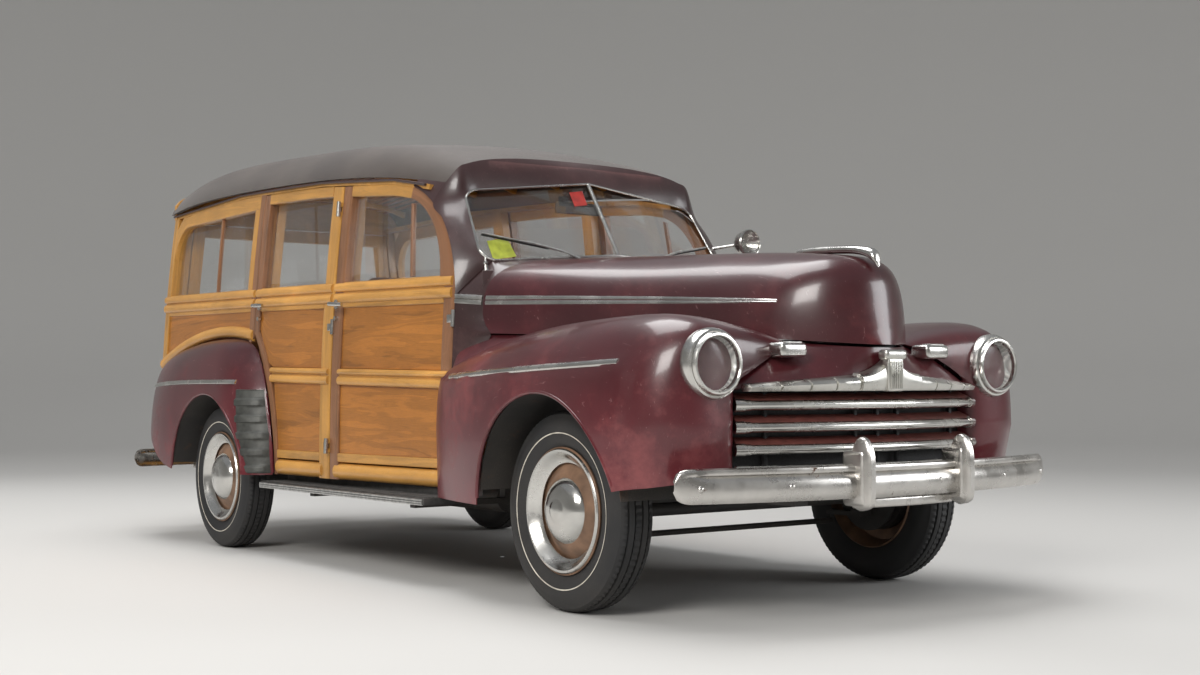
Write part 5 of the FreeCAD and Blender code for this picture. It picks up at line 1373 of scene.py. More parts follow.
def stone_guard(find, sign):
    """Ribbed pad over the fender's front, between the door's edge and the wheel arch."""
    rows = []
    for j in range(81):
        z = 0.38 + (0.768 - 0.38) * j / 80.0
        phase = (j / 80.0 * 5.0 + 0.02) % 1.0
        rise = 0.004 + 0.014 * min(1.0, 2.0 * sin(pi * phase / 0.52)) if phase < 0.52 else 0.004
        front = lookup(REAR_FRONT, z) - 0.003
        back = lookup(((0.772, -0.946), (0.58, -0.893), (0.383, -0.812)), z)
        row = []
        for k in range(17):
            t = k / 16.0
            x = front + (back - front) * t
            hit = find(x, z, sign, 0.3)
            ease = min(1.0, (1.0 - abs(2.0 * t - 1.0)) / 0.12)
            row.append((x, hit.y + sign * (0.002 + (rise - 0.002) * sqrt(ease)), z))
        rows.append(row)
    piece = skin("stone_guard", rows)
    face_out(piece, sign)
    thicken(piece, 0.018)
    return piece


def arch_liner(name, arch, find, sign, inner):
    """Dark splash shell round the inside of a wheel arch, from the inner y out to the fender."""
    cx, cz, r = arch
    rows = []
    for k in range(41):
        a = radians(8.0 + 164.0 * k / 40.0)
        x, z = cx + (r + 0.006) * cos(a), cz + (r + 0.006) * sin(a)
        hit = find(x, z, sign, 0.1)
        if hit is not None:
            rows.append([(x, sign * inner + (hit.y - sign * 0.005 - sign * inner) * j / 4.0, z)
                         for j in range(5)])
    piece = skin(name, rows)
    thicken(piece, 0.003, 0.0)
    return piece


def build_rear_fenders():
    shells, guards, strips, lips, liners = [], [], [], [], []
    for sign in (1.0, -1.0):
        piece = skin("rear_fender", [[(x, sign * y, z) for x, y, z in row] for row in rear_fender_rows()])
        face_out(piece, sign)
        find = surface(piece)
        thicken(piece, 0.004)
        cut_round(piece, REAR_ARCH[0], REAR_ARCH[1], REAR_ARCH[2], sign * 0.6, sign * 1.0)
        shells.append(piece)
        lips.append(arch_lip("rear_fender_lip", REAR_ARCH, surface(piece), sign, 6.0, 174.0))
        stations = [(-0.96 - (2.19 - 0.96) * t, 0.806 + 0.012 * t - 0.03 * t ** 3, 0.0105)
                    for t in [k / 50.0 for k in range(51)]]
        strips.append(band("rear_strip", find, sign, stations, 0.007, False))
        guards.append(stone_guard(find, sign))
        liners.append(arch_liner("rear_liner", REAR_ARCH, find, sign, 0.64))
    dress(join("rear_fender_shells", shells), "paint", replaces=("rear_fenders",), angle=45.0)
    dress(join("rear_fender_lips", lips), "paint")
    dress(join("rear_fender_strips", strips), "chrome")
    dress(join("rear_arch_liners", liners), "iron")
    dress(join("stone_guards", guards), "guard", angle=50.0)


CASTING_SEAMS = (0.141, 0.237, 0.332, 0.433)


def casting_top(y):
    """Upper edge of the nose casting: low wings and a middle that sweeps up to the badge."""
    y = abs(y)
    if y > 0.141:
        return 0.803 - 0.03 * (y - 0.141) / 0.415
    return 0.809 + 0.058 * (1.0 - y / 0.141) ** 2.0


NOSE_RIM = ((2.369, 0.0, 0.893), (2.359, 0.075, 0.893), (2.314, 0.155, 0.898), (2.244, 0.225, 0.905),
            (2.196, 0.272, 0.908), (2.206, 0.312, 0.892), (2.234, 0.4, 0.854), (2.24, 0.53, 0.782),
            (2.236, 0.56, 0.762))
CASTING_HALF = 0.538


def build_nose_panel():
    """Sheet between the hood's front edge, the fenders and the casting."""
    rows = []
    for x, y, z in smooth_rows(both_ways(list(NOSE_RIM)), 91):
        low = (nose_x(y) - 0.024, y, casting_top(min(abs(y), 0.556)) - 0.016)
        rows.append(bowed(low, (x, y, z), 0.1, 11, (2.0, 0.0, 0.8)))
    piece = skin("nose_sheet", rows)
    if sum(p.normal.x * p.area for p in piece.data.polygons) < 0.0:
        piece.data.flip_normals()
    thicken(piece, 0.004)
    dress(piece, "paint", replaces=("nose_panel",), angle=45.0)


def build_nose():
    build_nose_panel()
    spots = [CASTING_HALF * (2.0 * k / 140.0 - 1.0) for k in range(141)]
    for s in CASTING_SEAMS:
        spots += [sign * (s + d) for sign in (1.0, -1.0) for d in (-0.0034, -0.0016, 0.0016, 0.0034)]
    rows = []
    for y in sorted(spots):
        top, low = casting_top(y), 0.748
        x = nose_x(y) - 0.008
        seam = any(abs(abs(y) - s) < 0.002 for s in CASTING_SEAMS)
        out = 0.016 if abs(y) < 0.1405 else 0.008
        out -= 0.007 if seam else 0.0
        end = min(1.0, sqrt(max(0.0, (CASTING_HALF - abs(y)) / 0.014)) + 0.4)
        section = [(x - 0.01, top - 0.002), (x + (0.006 + out) * end, top - 0.006),
                   (x + (0.019 + out) * end, top - 0.016),
                   (x + (0.023 + out) * end, top - 0.5 * (top - low)), (x + (0.02 + out) * end, low + 0.01),
                   (x + (0.012 + out) * end, low), (x - 0.01, low), (x - 0.016, 0.5 * (top + low))]
        ring = [(a, y, b) for a, b in section]
        rows.append(ring + [ring[0]])
    casting = skin("nose_casting", rows, closed=True, capped=True)
    dress(casting, "casting", angle=34.0)
    mid = nose_x(0) - 0.008
    badge = [block("badge_block", (mid + 0.01, -0.036, 0.746), (mid + 0.044, 0.036, 0.862), 0.006, 3),
             block("badge_cap", (mid + 0.004, -0.05, 0.85), (mid + 0.05, 0.05, 0.884), 0.013, 5)]
    for k in range(7):
        y = -0.0255 + 0.0085 * k
        badge.append(block("casting_rib", (mid + 0.04, y - 0.0024, 0.754),
                           (mid + 0.0485, y + 0.0024, 0.846), 0.0018, 2))
    dress(join("casting_middle", badge), "casting")
    # Bars: a bright rounded face with a painted shelf that slopes back above it, and sleeves at its ends
    bars, shelves = [], []
    spots = [-0.556 + 1.112 * k / 40.0 for k in range(41)]
    turn = [radians(-90.0 + 15.0 * k) for k in range(13)]
    for z in (0.706, 0.635, 0.564):
        path = [(nose_x(y) - 0.022, y, z) for y in spots]
        bars.append(sweep("bar", path, [(0.022 * cos(a), -0.002 + 0.0165 * sin(a)) for a in turn]
                          + [(-0.012, 0.0145), (-0.012, -0.0185)]))
        shelves.append(sweep("shelf", path,
                             [(0.008, 0.0135), (0.002, 0.019), (-0.036, 0.037), (-0.038, 0.034),
                              (-0.012, 0.012)]))
        for sign in (1.0, -1.0):
            for inner, outer, grow in ((0.512, 0.534, 0.002), (0.53, 0.56, 0.0042)):
                sleeve = [(nose_x(y) - 0.022, y, z)
                          for y in (sign * (inner + (outer - inner) * k / 5.0) for k in range(6))]
                if sign < 0:
                    sleeve.reverse()
                face = [((0.022 + grow) * cos(a), -0.002 + (0.0165 + grow) * sin(a)) for a in turn]
                bars.append(sweep("sleeve", sleeve, face + [(-0.013, 0.015), (-0.013, -0.019)]))
    low_bar = [(nose_x(y) - 0.024, y, 0.5) for y in spots]
    bars.append(sweep("low_bar", low_bar, rounded(0.02, 0.022, 0.008)))
    struts = []
    for y in (-0.44, -0.1, 0.0, 0.1, 0.44):
        struts.append(block("strut", (nose_x(y) - 0.068, y - 0.007, 0.49),
                            (nose_x(y) - 0.05, y + 0.007, 0.752), 0.003))
    dress(join("grille_bars", bars), "chrome", replaces=("grille",))
    dress(join("grille_shelves", shelves), "band_red", angle=30.0)
    dress(join("grille_struts", struts), "radiator", angle=30.0)
    # Dark sheet across the whole opening behind the bars: painted shade for the dark space behind the grille,
    # joined with the radiator's core and tank.
    back = [[(nose_x(y) - 0.076, y, z) for y in [-0.6 + 1.2 * k / 40.0 for k in range(41)]]
            for z in (0.47, 0.8)]
    shade_sheet = skin("radiator_shade_sheet", back)
    thicken(shade_sheet, 0.004)
    core = block("radiator_core", (2.1, -0.3, 0.49), (2.16, 0.3, 0.86), 0.006)
    tank = block("radiator_tank", (2.085, -0.29, 0.86), (2.17, 0.29, 0.912), 0.014, 3)
    dress(join("radiator", [core, tank, shade_sheet]), "radiator")


def lamp_glass(name, centre, radius, bulge, axis, steps=48):
    profile = [(0.0005, bulge)] + [(radius * sin(radians(a)), bulge * cos(radians(a)))
                                   for a in range(10, 91, 8)]
    profile += [(radius, -0.004), (0.0005, -0.004)]
    return spun(name, profile, centre, axis, steps)


def build_lamps():
    rings, bowls, glasses, parks, park_glasses = [], [], [], [], []
    for sign in (1.0, -1.0):
        centre = (LAMP[0], sign * LAMP[1], LAMP[2])
        ring = [(0.113, -0.038), (0.115, -0.02), (0.114, -0.008), (0.109, 0.004), (0.103, 0.008),
                (0.101, 0.006), (0.1005, 0.012), (0.096, 0.02), (0.09, 0.021), (0.0865, 0.017),
                (0.086, 0.0), (0.086, -0.038)]
        rings.append(spun("ring", ring, centre, (1, 0, 0), 64, closed=True))
        bowl = [(0.0005, -0.09), (0.03, -0.086), (0.06, -0.06), (0.08, -0.02), (0.086, 0.002),
                (0.0865, -0.02), (0.064, -0.066), (0.032, -0.092), (0.0005, -0.096)]
        bowls.append(spun("bowl", bowl, centre, (1, 0, 0), 40))
        glasses.append(lamp_glass("lamp_glass", (centre[0] + 0.003, centre[1], centre[2]), 0.0855, 0.022,
                                  (1, 0, 0)))
        px, py, pz = PARK[0] - 0.01, sign * PARK[1], PARK[2]
        parks.append(block("park_housing", (px - 0.05, py - 0.058, pz - 0.026),
                           (px + 0.034, py + 0.058, pz + 0.024), 0.016, 4))
        for k in range(4):
            x = px - 0.006 + 0.01 * k
            parks.append(block("park_rib", (x - 0.002, py - 0.036, pz + 0.018),
                               (x + 0.002, py + 0.036, pz + 0.027), 0.0015, 1))
        park_glasses.append(block("park_glass", (px + 0.026, py - 0.044, pz - 0.016),
                                  (px + 0.042, py + 0.044, pz + 0.012), 0.01, 3))
    dress(join("headlamp_rings", rings), "chrome", replaces=("front_lamps",), angle=30.0)
    dress(join("headlamp_bowls", bowls), "reflector_painted_flute_light", angle=40.0)
    dress(join("headlamp_glasses", glasses), "lens", angle=40.0)
    dress(join("parking_lamps", parks), "chrome")
    dress(join("parking_glasses", park_glasses), "lens")


def bumper_bar(name, path, height, depth, forward):
    """Spring-steel bar: crowned main face under a narrow upper band, with rounded ends, thin behind."""
    rows = []
    for p in path:
        p = Vector(p)
        end = min((p - Vector(path[0])).length, (p - Vector(path[-1])).length)
        near = min(1.0, end / 0.05)
        tall = height * (0.3 + 0.7 * sqrt(near * (2.0 - near)))
        share = [-0.5 + 0.76 * k / 8.0 for k in range(9)]
        face = [(depth * (1.0 - ((s + 0.12) / 0.4) ** 2 * 0.98) ** 0.5 if abs((s + 0.12) / 0.4) <= 1.0
                 else 0.0, s) for s in share]
        face += [(depth * 0.25, 0.275), (depth * 0.62, 0.31), (depth * 0.72, 0.385), (depth * 0.6, 0.46),
                 (0.0, 0.5)]
        plain_end = max(0.0, 1.0 - end / 0.1) ** 0.6
        face = [(out + (0.85 * depth * sqrt(max(0.0, 1.0 - 4.0 * s * s)) - out) * plain_end, s)
                for out, s in face]
        face = [(out * (0.3 + 0.7 * min(1.0, end / 0.07)), s) for out, s in face]
        ring = [(p.x + forward * out, p.y, p.z + tall * s) for out, s in face]
        ring += [(x - forward * 0.006, y, z) for x, y, z in reversed(ring)]
        rows.append(ring + [ring[0]])
    return skin(name, rows, closed=True, capped=True)


def guard_blade(name, y, x, low, high, forward, wide=0.016, deep=0.062):
    """Upright guard: a deep narrow blade, tapered at its head and foot."""
    rows = []
    for t, front, back, w in ((0.0, 0.45, 0.45, 0.3), (0.03, 0.75, 0.3, 0.75), (0.12, 0.95, 0.05, 1.0),
                              (0.45, 1.0, 0.0, 1.0), (0.75, 0.97, 0.1, 0.95), (0.93, 0.8, 0.32, 0.8),
                              (0.985, 0.66, 0.42, 0.55), (1.0, 0.55, 0.5, 0.2)):
        z = low + (high - low) * t
        f, b = x + forward * deep * (front - 1.0), x + forward * deep * (back - 1.0)
        ww = wide * w
        ring = [(f, y - 0.55 * ww, z), (f, y + 0.55 * ww, z), (f - forward * 0.01, y + ww, z),
                (b, y + ww, z), (b, y - ww, z), (f - forward * 0.01, y - ww, z)]
        rows.append(ring + [ring[0]])
    return skin(name, smooth_loop(rows, 26), closed=True, capped=True)


def bumper_path(end_x, mid_x, half, z, count=49):
    sag = mid_x - end_x
    radius = (half * half + sag * sag) / (2.0 * sag)
    sign = 1.0 if sag > 0 else -1.0
    pts = []
    for k in range(count):
        y = -half + 2.0 * half * k / (count - 1)
        pts.append((mid_x - radius + sign * sqrt(radius * radius - y * y), y, z))
    return pts


# Front bar: x at its ends, x at its middle, half length
FRONT_BAR = (2.33, 2.486, 0.869)


def build_bumpers():
    front = [bumper_bar("bar", bumper_path(*FRONT_BAR, 0.46, 161), 0.108, 0.024, 1.0)]
    front.append(sweep("low", bumper_path(2.45, 2.478, 0.23, 0.388), rounded(0.016, 0.032, 0.0075)))
    for y in (-0.234, 0.234):
        front.append(guard_blade("guard", y, 2.545, 0.366, 0.602, 1.0, 0.018, 0.095))
        front.append(block("web", (2.425, y - 0.024, 0.38), (2.522, y + 0.024, 0.556), 0.014, 4))
    for y in (-0.358, 0.358):
        front.append(block("iron", (2.345, y - 0.018, 0.424), (2.455, y + 0.018, 0.456), 0.004))
    bolts = []
    for y in (-0.8, -0.5, 0.12, 0.5, 0.8):
        end_x, mid_x, half = FRONT_BAR
        radius = (half ** 2 + (mid_x - end_x) ** 2) / (2.0 * (mid_x - end_x))
        x = mid_x - radius + sqrt(radius ** 2 - y * y) + 0.0215
        bolts.append(spun("bolt",
                          [(0.0005, 0.006), (0.006, 0.005), (0.011, 0.001), (0.012, -0.004),
                           (0.0005, -0.004)], (x, y, 0.452), (1, 0, 0), 16))
    dress(join("front_bumper_set", front), "bumper", replaces=("front_bumper",), angle=40.0)
    dress(join("front_bumper_bolts", bolts), "bumper", angle=40.0)
    rear_path = bumper_path(-2.385, -2.488, 0.86, 0.4, 161)
    rear = [bumper_bar("bar", rear_path, 0.096, 0.02, -1.0)]
    for y in (-0.358, 0.358):
        rear.append(block("iron", (-2.478, y - 0.02, 0.432), (-2.203, y + 0.02, 0.468), 0.004))
        rear.append(block("iron_foot", (-2.482, y - 0.02, 0.378), (-2.462, y + 0.02, 0.468), 0.004))
    for y in (-0.48, 0.48):
        rear.append(guard_blade("guard", y, -2.508, 0.332, PANEL_FOOT, -1.0, 0.015, 0.05))
    dress(join("rear_bumper_set", rear), "bumper", replaces=("rear_bumper",), angle=40.0)


# Wheels
TYRE_SIDE = ((0.206, 0.05), (0.214, 0.058), (0.232, 0.0665), (0.256, 0.0745), (0.28, 0.0785), (0.3, 0.0768),
             (0.316, 0.071), (0.327, 0.0655), (0.33, 0.0652), (0.3365, 0.06), (0.34, 0.0535),
             (0.3425, 0.047), (0.3425, 0.0445), (0.335, 0.0435), (0.335, 0.038), (0.3435, 0.037),
             (0.3445, 0.025), (0.3445, 0.0185), (0.3365, 0.0175), (0.3365, 0.0125), (0.345, 0.0115),
             (0.345, 0.0))
# body: tyre's node, wheel's node, middle of the tyre, outward axis
WHEEL_SITES = {}
for end, axle_x, tyre_y in (("front", FRONT_AXLE_X, 0.7365), ("rear", REAR_AXLE_X, 0.762)):
    for side, sign in SIDES.items():
        place = end + "_" + side
        middle = (axle_x, sign * tyre_y, TYRE_R)
        WHEEL_SITES["wheel_" + place] = ("tyre_" + place, "wheel_" + place, middle, (0, sign, 0))
WHEEL_SITES["spare"] = ("spare_tyre", "spare_wheel", (-2.3815, 0.0, 0.858), (-1, 0, 0))


def build_tyre(name, centre, axis):
    axis = Vector(axis)
    ref = Vector((0, 0, 1))
    u = axis.cross(ref).normalized()
    w = axis.cross(u)
    half = list(TYRE_SIDE)
    profile = half + [(r, -y) for r, y in reversed(half[:-1])]
    profile += [(0.226, -0.05), (0.3, -0.052), (0.318, -0.03), (0.318, 0.03), (0.3, 0.052), (0.226, 0.05)]
    steps = 2 * sizes().tread_notches
    rows = []
    for k in range(steps + 1):
        a = 2.0 * pi * (k % steps) / steps
        d = u * cos(a) + w * sin(a)
        notch = 0.0045 if k % 2 else 0.0
        row = []
        for r, y in profile:
            cut = notch if (0.044 < abs(y) < 0.0645 and r > 0.332) or (abs(y) < 0.0116 and r > 0.34) else 0.0
            row.append(Vector(centre) + d * (r - cut) + axis * y)
        rows.append(row + [row[0]])
    return skin(name, rows, closed=True)


def build_wheels():
    for body, (tyre_node, wheel_node, centre, axis) in WHEEL_SITES.items():
        dress(build_tyre(body + "_tyre", centre, axis), "tyre", body, replaces=(tyre_node,), angle=28.0)
        rim = [(0.2135, 0.056), (0.218, 0.062), (0.2185, 0.067), (0.214, 0.07), (0.207, 0.066),
               (0.201, 0.052), (0.196, 0.036), (0.186, 0.03), (0.17, 0.026), (0.15, 0.034), (0.128, 0.05),
               (0.112, 0.054), (0.06, 0.05), (0.0005, 0.05), (0.0005, 0.04), (0.06, 0.04), (0.115, 0.044),
               (0.165, 0.016), (0.19, 0.014), (0.194, -0.02), (0.206, -0.052), (0.2135, -0.066),
               (0.2185, -0.06), (0.212, -0.052), (0.201, -0.026), (0.201, 0.024), (0.206, 0.048)]
        disc = spun(body + "_rim", rim, centre, axis, 72, closed=True)
        dress(disc, "wheel", body, replaces=(wheel_node,))
        trim = [(0.2125, 0.0705), (0.209, 0.0755), (0.201, 0.075), (0.19, 0.064), (0.18, 0.05),
                (0.17, 0.043), (0.164, 0.04), (0.164, 0.0375), (0.172, 0.04), (0.19, 0.056), (0.208, 0.068)]
        dress(spun(body + "_trim_ring", trim, centre, axis, 72, closed=True), "chrome", body, angle=40.0)
        cap = [(0.0005, 0.099), (0.02, 0.0985), (0.034, 0.096), (0.04, 0.0925), (0.046, 0.0925),
               (0.066, 0.0895), (0.086, 0.0815), (0.102, 0.069), (0.111, 0.057), (0.113, 0.053),
               (0.117, 0.0525), (0.118, 0.049), (0.11, 0.047), (0.0005, 0.047)]
        dress(spun(body + "_cap", cap, centre, axis, 72), "chrome", body, angle=40.0)
        stripe = [(0.264, 0.0772), (0.265, 0.078), (0.2672, 0.0785), (0.2682, 0.078), (0.2672, 0.0768),
                  (0.265, 0.0762)]
        dress(spun(body + "_stripe", stripe, centre, axis, 96, closed=True), "stripe", body, angle=60.0)
        drum = [(0.0005, -0.03), (0.12, -0.03), (0.146, -0.024), (0.15, -0.014), (0.15, 0.012),
                (0.14, 0.02), (0.0005, 0.02)]
        if body != "spare":
            dress(spun(body + "_drum", drum, centre, axis, 48), "iron", body)
    arm = [block("arm", (-2.281, -0.045, 0.798), (-2.263, 0.045, 1.183), 0.004),
           tube("pin", [(-2.272, -0.095, 1.175), (-2.272, 0.095, 1.175)], 0.008, 16),
           tube("post", [(-2.275, 0.0, 0.858), (-2.4, 0.0, 0.858)], 0.04, 32)]
    dress(join("spare_carrier", arm), "chrome", "spare", angle=40.0)


# Windshield: corners of the left pane
SCREEN = {"low_mid": Vector((0.893, 0.0, 1.306)), "high_mid": Vector((0.68, 0.0, 1.625)),
          "high_out": Vector((0.629, 0.581, 1.562)), "low_out": Vector((0.824, 0.618, 1.26))}


def screen_point(across, up, sign=1.0, lift=0.0):
    """Point on a windshield pane, across from the middle and up from its foot, lifted off the glass."""
    low = SCREEN["low_mid"].lerp(SCREEN["low_out"], across)
    high = SCREEN["high_mid"].lerp(SCREEN["high_out"], across)
    normal = (SCREEN["high_mid"] - SCREEN["low_mid"]).cross(SCREEN["low_out"]
            - SCREEN["low_mid"]).normalized()
    if normal.x < 0:
        normal = -normal
    p = low.lerp(high, up) + normal * lift
    return Vector((p.x, sign * p.y, p.z))


def build_windshield():
    """Trim, wipers, tags behind the glass, inside mirror and spotlight."""
    chrome, black, pale = [], [], []
    edge = pane_edge()
    for sign in (1.0, -1.0):
        path = [screen_point(a, b, sign, 0.006) for a, b in edge]
        flat = [tuple(p) for p in smooth_rows([tuple(p) for p in path], 70)]
        chrome.append(tube("trim", flat, 0.0065, 8, 0.8))
        # Wipers lie up across their panes from the foot near the middle
        foot, joint, tip = (screen_point(a, b, sign, lift)
                            for a, b, lift in ((0.31, -0.035, 0.016), (0.55, 0.17, 0.018),
                                               (0.955, 0.37, 0.014)))
        pale.append(tube("wiper_arm",
                         [foot, foot.lerp(joint, 0.5) + Vector((0.004, 0, 0.002)), joint.lerp(tip, 0.25)],
                         0.0045, 8))
        pale.append(tube("wiper_blade", [foot.lerp(joint, 0.85), tip], 0.005, 8, 0.7))
        black.append(tube("wiper_rubber",
                          [screen_point(0.5, 0.13, sign, 0.007), screen_point(0.955, 0.362, sign, 0.007)],
                          0.004, 6))
        chrome.append(tube("wiper_post", [screen_point(0.31, -0.035, sign, -0.01), foot], 0.0095, 14))
    chrome.append(tube("divider", [screen_point(0.0, 0.0, 1.0, 0.006), screen_point(0.0, 1.0, 1.0, 0.006)],
                       0.0085, 10, 0.8))
    stalk = Vector((0.842, -0.604, 1.222))
    chrome.append(tube("stalk",
                       [stalk, stalk + Vector((-0.002, -0.002, 0.014)),
                        stalk + Vector((-0.004, -0.004, 0.06))], lambda t: 0.012 - 0.009 * t, 14))
    chrome.append(spun("stalk_ball",
                       [(0.0005, 0.01), (0.006, 0.008), (0.0095, 0.0), (0.006, -0.008), (0.0005, -0.01)],
                       stalk + Vector((-0.003, -0.003, 0.034)), (0, 0, 1), 20))
    dress(join("windshield_chrome", chrome), "chrome", angle=40.0)
    dress(join("wiper_arms", pale), "aluminium", angle=40.0)
    dress(join("wiper_rubbers", black), "rubber", angle=40.0)
    for name, corners in (("green", ((0.765, 0.33), (0.915, 0.3), (0.905, 0.04), (0.735, 0.07))),
                          ("red", ((0.055, 0.93), (0.165, 0.92), (0.165, 0.72), (0.06, 0.73)))):
        a, b, c, d = (screen_point(s, u, -1.0, -0.006) for s, u in corners)
        tag = skin(name + "_tag", [[a, b], [d, c]])
        if sum(p.normal.x for p in tag.data.polygons) < 0.0:
            tag.data.flip_normals()
        thicken(tag, 0.001)
        dress(tag, name + "_tag", angle=30.0)
    mirror = [block("mirror", (0.602, -0.115, 1.505), (0.616, 0.115, 1.556), 0.01, 3),
              tube("mirror_stem", [(0.612, 0.0, 1.55), (0.655, 0.0, 1.6)], 0.006, 8)]
    dress(join("inside_mirror", mirror), "iron", angle=40.0)
    centre = (0.862, 0.728, 1.398)
    shell_profile = [(0.0005, -0.05), (0.018, -0.048), (0.036, -0.038), (0.05, -0.02), (0.056, 0.002),
                     (0.0575, 0.016), (0.061, 0.022), (0.061, 0.03), (0.056, 0.035), (0.053, 0.031),
                     (0.053, 0.024), (0.0005, -0.036)]
    spotlight = [spun("spot_shell", shell_profile, centre, (1, 0, 0), 48),
                 tube("spot_stem", [(0.72, 0.65, 1.381), (0.835, 0.718, 1.395)], 0.007, 12)]
    dress(join("spotlight_shell", spotlight), "chrome", replaces=("spotlight",), angle=40.0)
    dress(lamp_glass("spotlight_glass", (0.888, 0.728, 1.398), 0.053, 0.012, (1, 0, 0)), "lens", angle=40.0)


def roof_z(x, y):
    """Underside of the roof."""
    edge, crown, half = lookup(ROOF_EDGE, x), lookup(ROOF_CROWN, x), lookup(ROOF_HALF, x)
    return edge + (crown - edge) * max(0.0, 1.0 - (abs(y) / half) ** ROOF_POWER) ** (1.0 / ROOF_POWER) - 0.045


def build_ceiling():
    slats, bows = [], []
    for k in range(27):
        y = -0.572 + 0.044 * k
        path = [(x, y, roof_z(x, y) - 0.006) for x in (0.5, 0.2, -0.2, -0.7, -1.2, -1.7, -2.18)]
        slats.append(sweep("slat", path, rounded(0.03, 0.007, 0.002, 1)))
    for k in range(7):
        x = 0.36 - 0.4 * k
        path = [(x, y, roof_z(x, y) - 0.016) for y in [-0.625 + 1.25 * i / 18.0 for i in range(19)]]
        bows.append(sweep("bow", path, rounded(0.034, 0.03, 0.006, 2)))
    dress(join("ceiling_slats", slats), "inner_wood")
    dress(join("ceiling_bows", bows), "rail_wood")
    beads = []
    for sign in (1.0, -1.0):
        path = [(x, sign * (side_y(x, door_top(x)) + 0.006), lookup(ROOF_EDGE, x) - 0.01)
                for x in (0.5, 0.4, 0.25, -0.1, -0.4, -0.85, -1.3, -1.8, -2.25)]
        beads.append(tube("drip_bead", path, 0.006, 8))
    dress(join("drip_moulding", beads), "paint_upper", angle=40.0)


def inflate(piece, pinned, limit=0.016):
    """Stuffing: cloth under pressure, held where pinned says, with its movement capped."""
    rest = [v.co.copy() for v in piece.data.vertices]
    held = piece.vertex_groups.new(name="seams")
    held.add([v.index for v in piece.data.vertices if pinned(v.co)], 1.0, "REPLACE")
    m = piece.modifiers.new("stuffing", "CLOTH")
    s = m.settings
    s.use_pressure = True
    s.uniform_pressure_force = 4.0
    s.tension_stiffness = s.compression_stiffness = 12.0
    s.bending_stiffness = 0.6
    s.effector_weights.gravity = 0.0
    s.vertex_group_mass = held.name
    m.point_cache.frame_start, m.point_cache.frame_end = 1, 20
    scene = bpy.context.scene
    for f in range(1, 21):
        scene.frame_set(f)
    apply_all(piece)
    for v, p in zip(piece.data.vertices, rest):
        move = v.co - p
        if move.length > limit:
            v.co = p + move * (limit / move.length)
    scene.frame_set(1)


def cushion(name, low, high, lean=0.0, pleats=11, along_z=False):
    """Bench cushion or backrest with sewn pleats."""
    piece = block(name, low, high, 0.045, 3)
    m = piece.modifiers.new("mesh", "REMESH")
    m.mode = "VOXEL"
    m.voxel_size = 0.015
    apply_all(piece)
    for v in piece.data.vertices:
        v.co.x -= (v.co.z - low[2]) * lean
    width = high[1] - low[1]
    pitch = width / pleats

    def pinned(co):
        seam = abs((co.y - low[1]) / pitch - round((co.y - low[1]) / pitch)) * pitch < 0.008
        face = co.z > low[2] + 0.03 if not along_z else True
        return (seam and face) or co.z < low[2] + 0.02
    inflate(piece, pinned)
    m = piece.modifiers.new("round", "SUBSURF")
    m.levels = m.render_levels = 1
    apply_all(piece)
    return piece


BACK_LEAN = 0.17
BENCHES = {
    # name: back x, front x, half width, foot z, top z of the cushion
    "front_seat": (-0.155, 0.305, 0.598, 0.732, 0.882),
    "middle_seat": (-0.875, -0.445, 0.533, 0.802, 0.932),
    "rear_seat": (-1.695, -1.265, 0.498, 0.802, 0.932),
}


def build_seats():
    for name, (x0, x1, half, z0, z1) in BENCHES.items():
        pad = cushion(name + "_cushion", (x0, -half, z0), (x1, half, z1 - 0.004))
        back = cushion(name + "_back", (x0 + 0.01, -half, z0 + 0.02), (x0 + 0.125, half, 1.266), BACK_LEAN,
                       11, True)
        for piece in (pad, back):
            dress(piece, "leather", replaces=(name,) if piece is pad else (), angle=60.0)
        base = block(name + "_base",
                     (x0 + 0.03, -half + 0.04, z0 - (0.18 if name == "front_seat" else 0.11)),
                     (x1 - 0.04, half - 0.04, z0), 0.008)
        dress(base, "iron")


def build_inside():
    gauges, needles = [], []
    for y, r in ((0.36, 0.072), (0.215, 0.036), (0.505, 0.036)):
        gauges.append(spun("gauge",
                           [(r - 0.006, 0.0), (r - 0.006, 0.008), (r, 0.01), (r + 0.004, 0.006),
                            (r + 0.004, 0.0)], (0.711, y, 1.115), (-1, 0, 0), 40, closed=True))
        needles.append(spun("dial", [(0.0005, 0.003), (r - 0.005, 0.003), (r - 0.005, 0.0), (0.0005, 0.0)],
                            (0.711, y, 1.115), (-1, 0, 0), 32))
    for y in (-0.12, -0.06, 0.0, 0.06, 0.12):
        gauges.append(block("radio_bar", (0.702, y - 0.02, 1.06), (0.713, y + 0.02, 1.155), 0.003))
    gauges.append(block("glovebox_pull", (0.7, -0.42, 1.1), (0.713, -0.36, 1.116), 0.004))
    dress(join("dash_trim", gauges), "chrome", angle=40.0)
    dress(join("dash_dials", needles), "dial", angle=40.0)
    for side, sign in SIDES.items():
        for leaf, x, z in (("door_front_", 0.05, 1.02), ("door_rear_", -0.62, 1.02)):
            y = sign * (side_y(x, z) - 0.052)
            parts = [tube("winder",
                          [(x, y, z), (x + 0.03, y - sign * 0.02, z + 0.02),
                           (x + 0.11, y - sign * 0.022, z + 0.03)], 0.006, 8),
                     tube("pull", [(x + 0.28, y, z + 0.05), (x + 0.28, y - sign * 0.03, z + 0.052),
                                   (x + 0.34, y - sign * 0.034, z + 0.055)], 0.006, 8)]
            dress(join(leaf + side + "_winder", parts), "chrome", leaf + side, angle=40.0)


HINGE_LEAN = radians(3.4)
DOOR_HINGES = (("door_front_", A_X, (0.52, 1.04)), ("door_rear_", B_X, (0.52, 1.04, 1.56)))


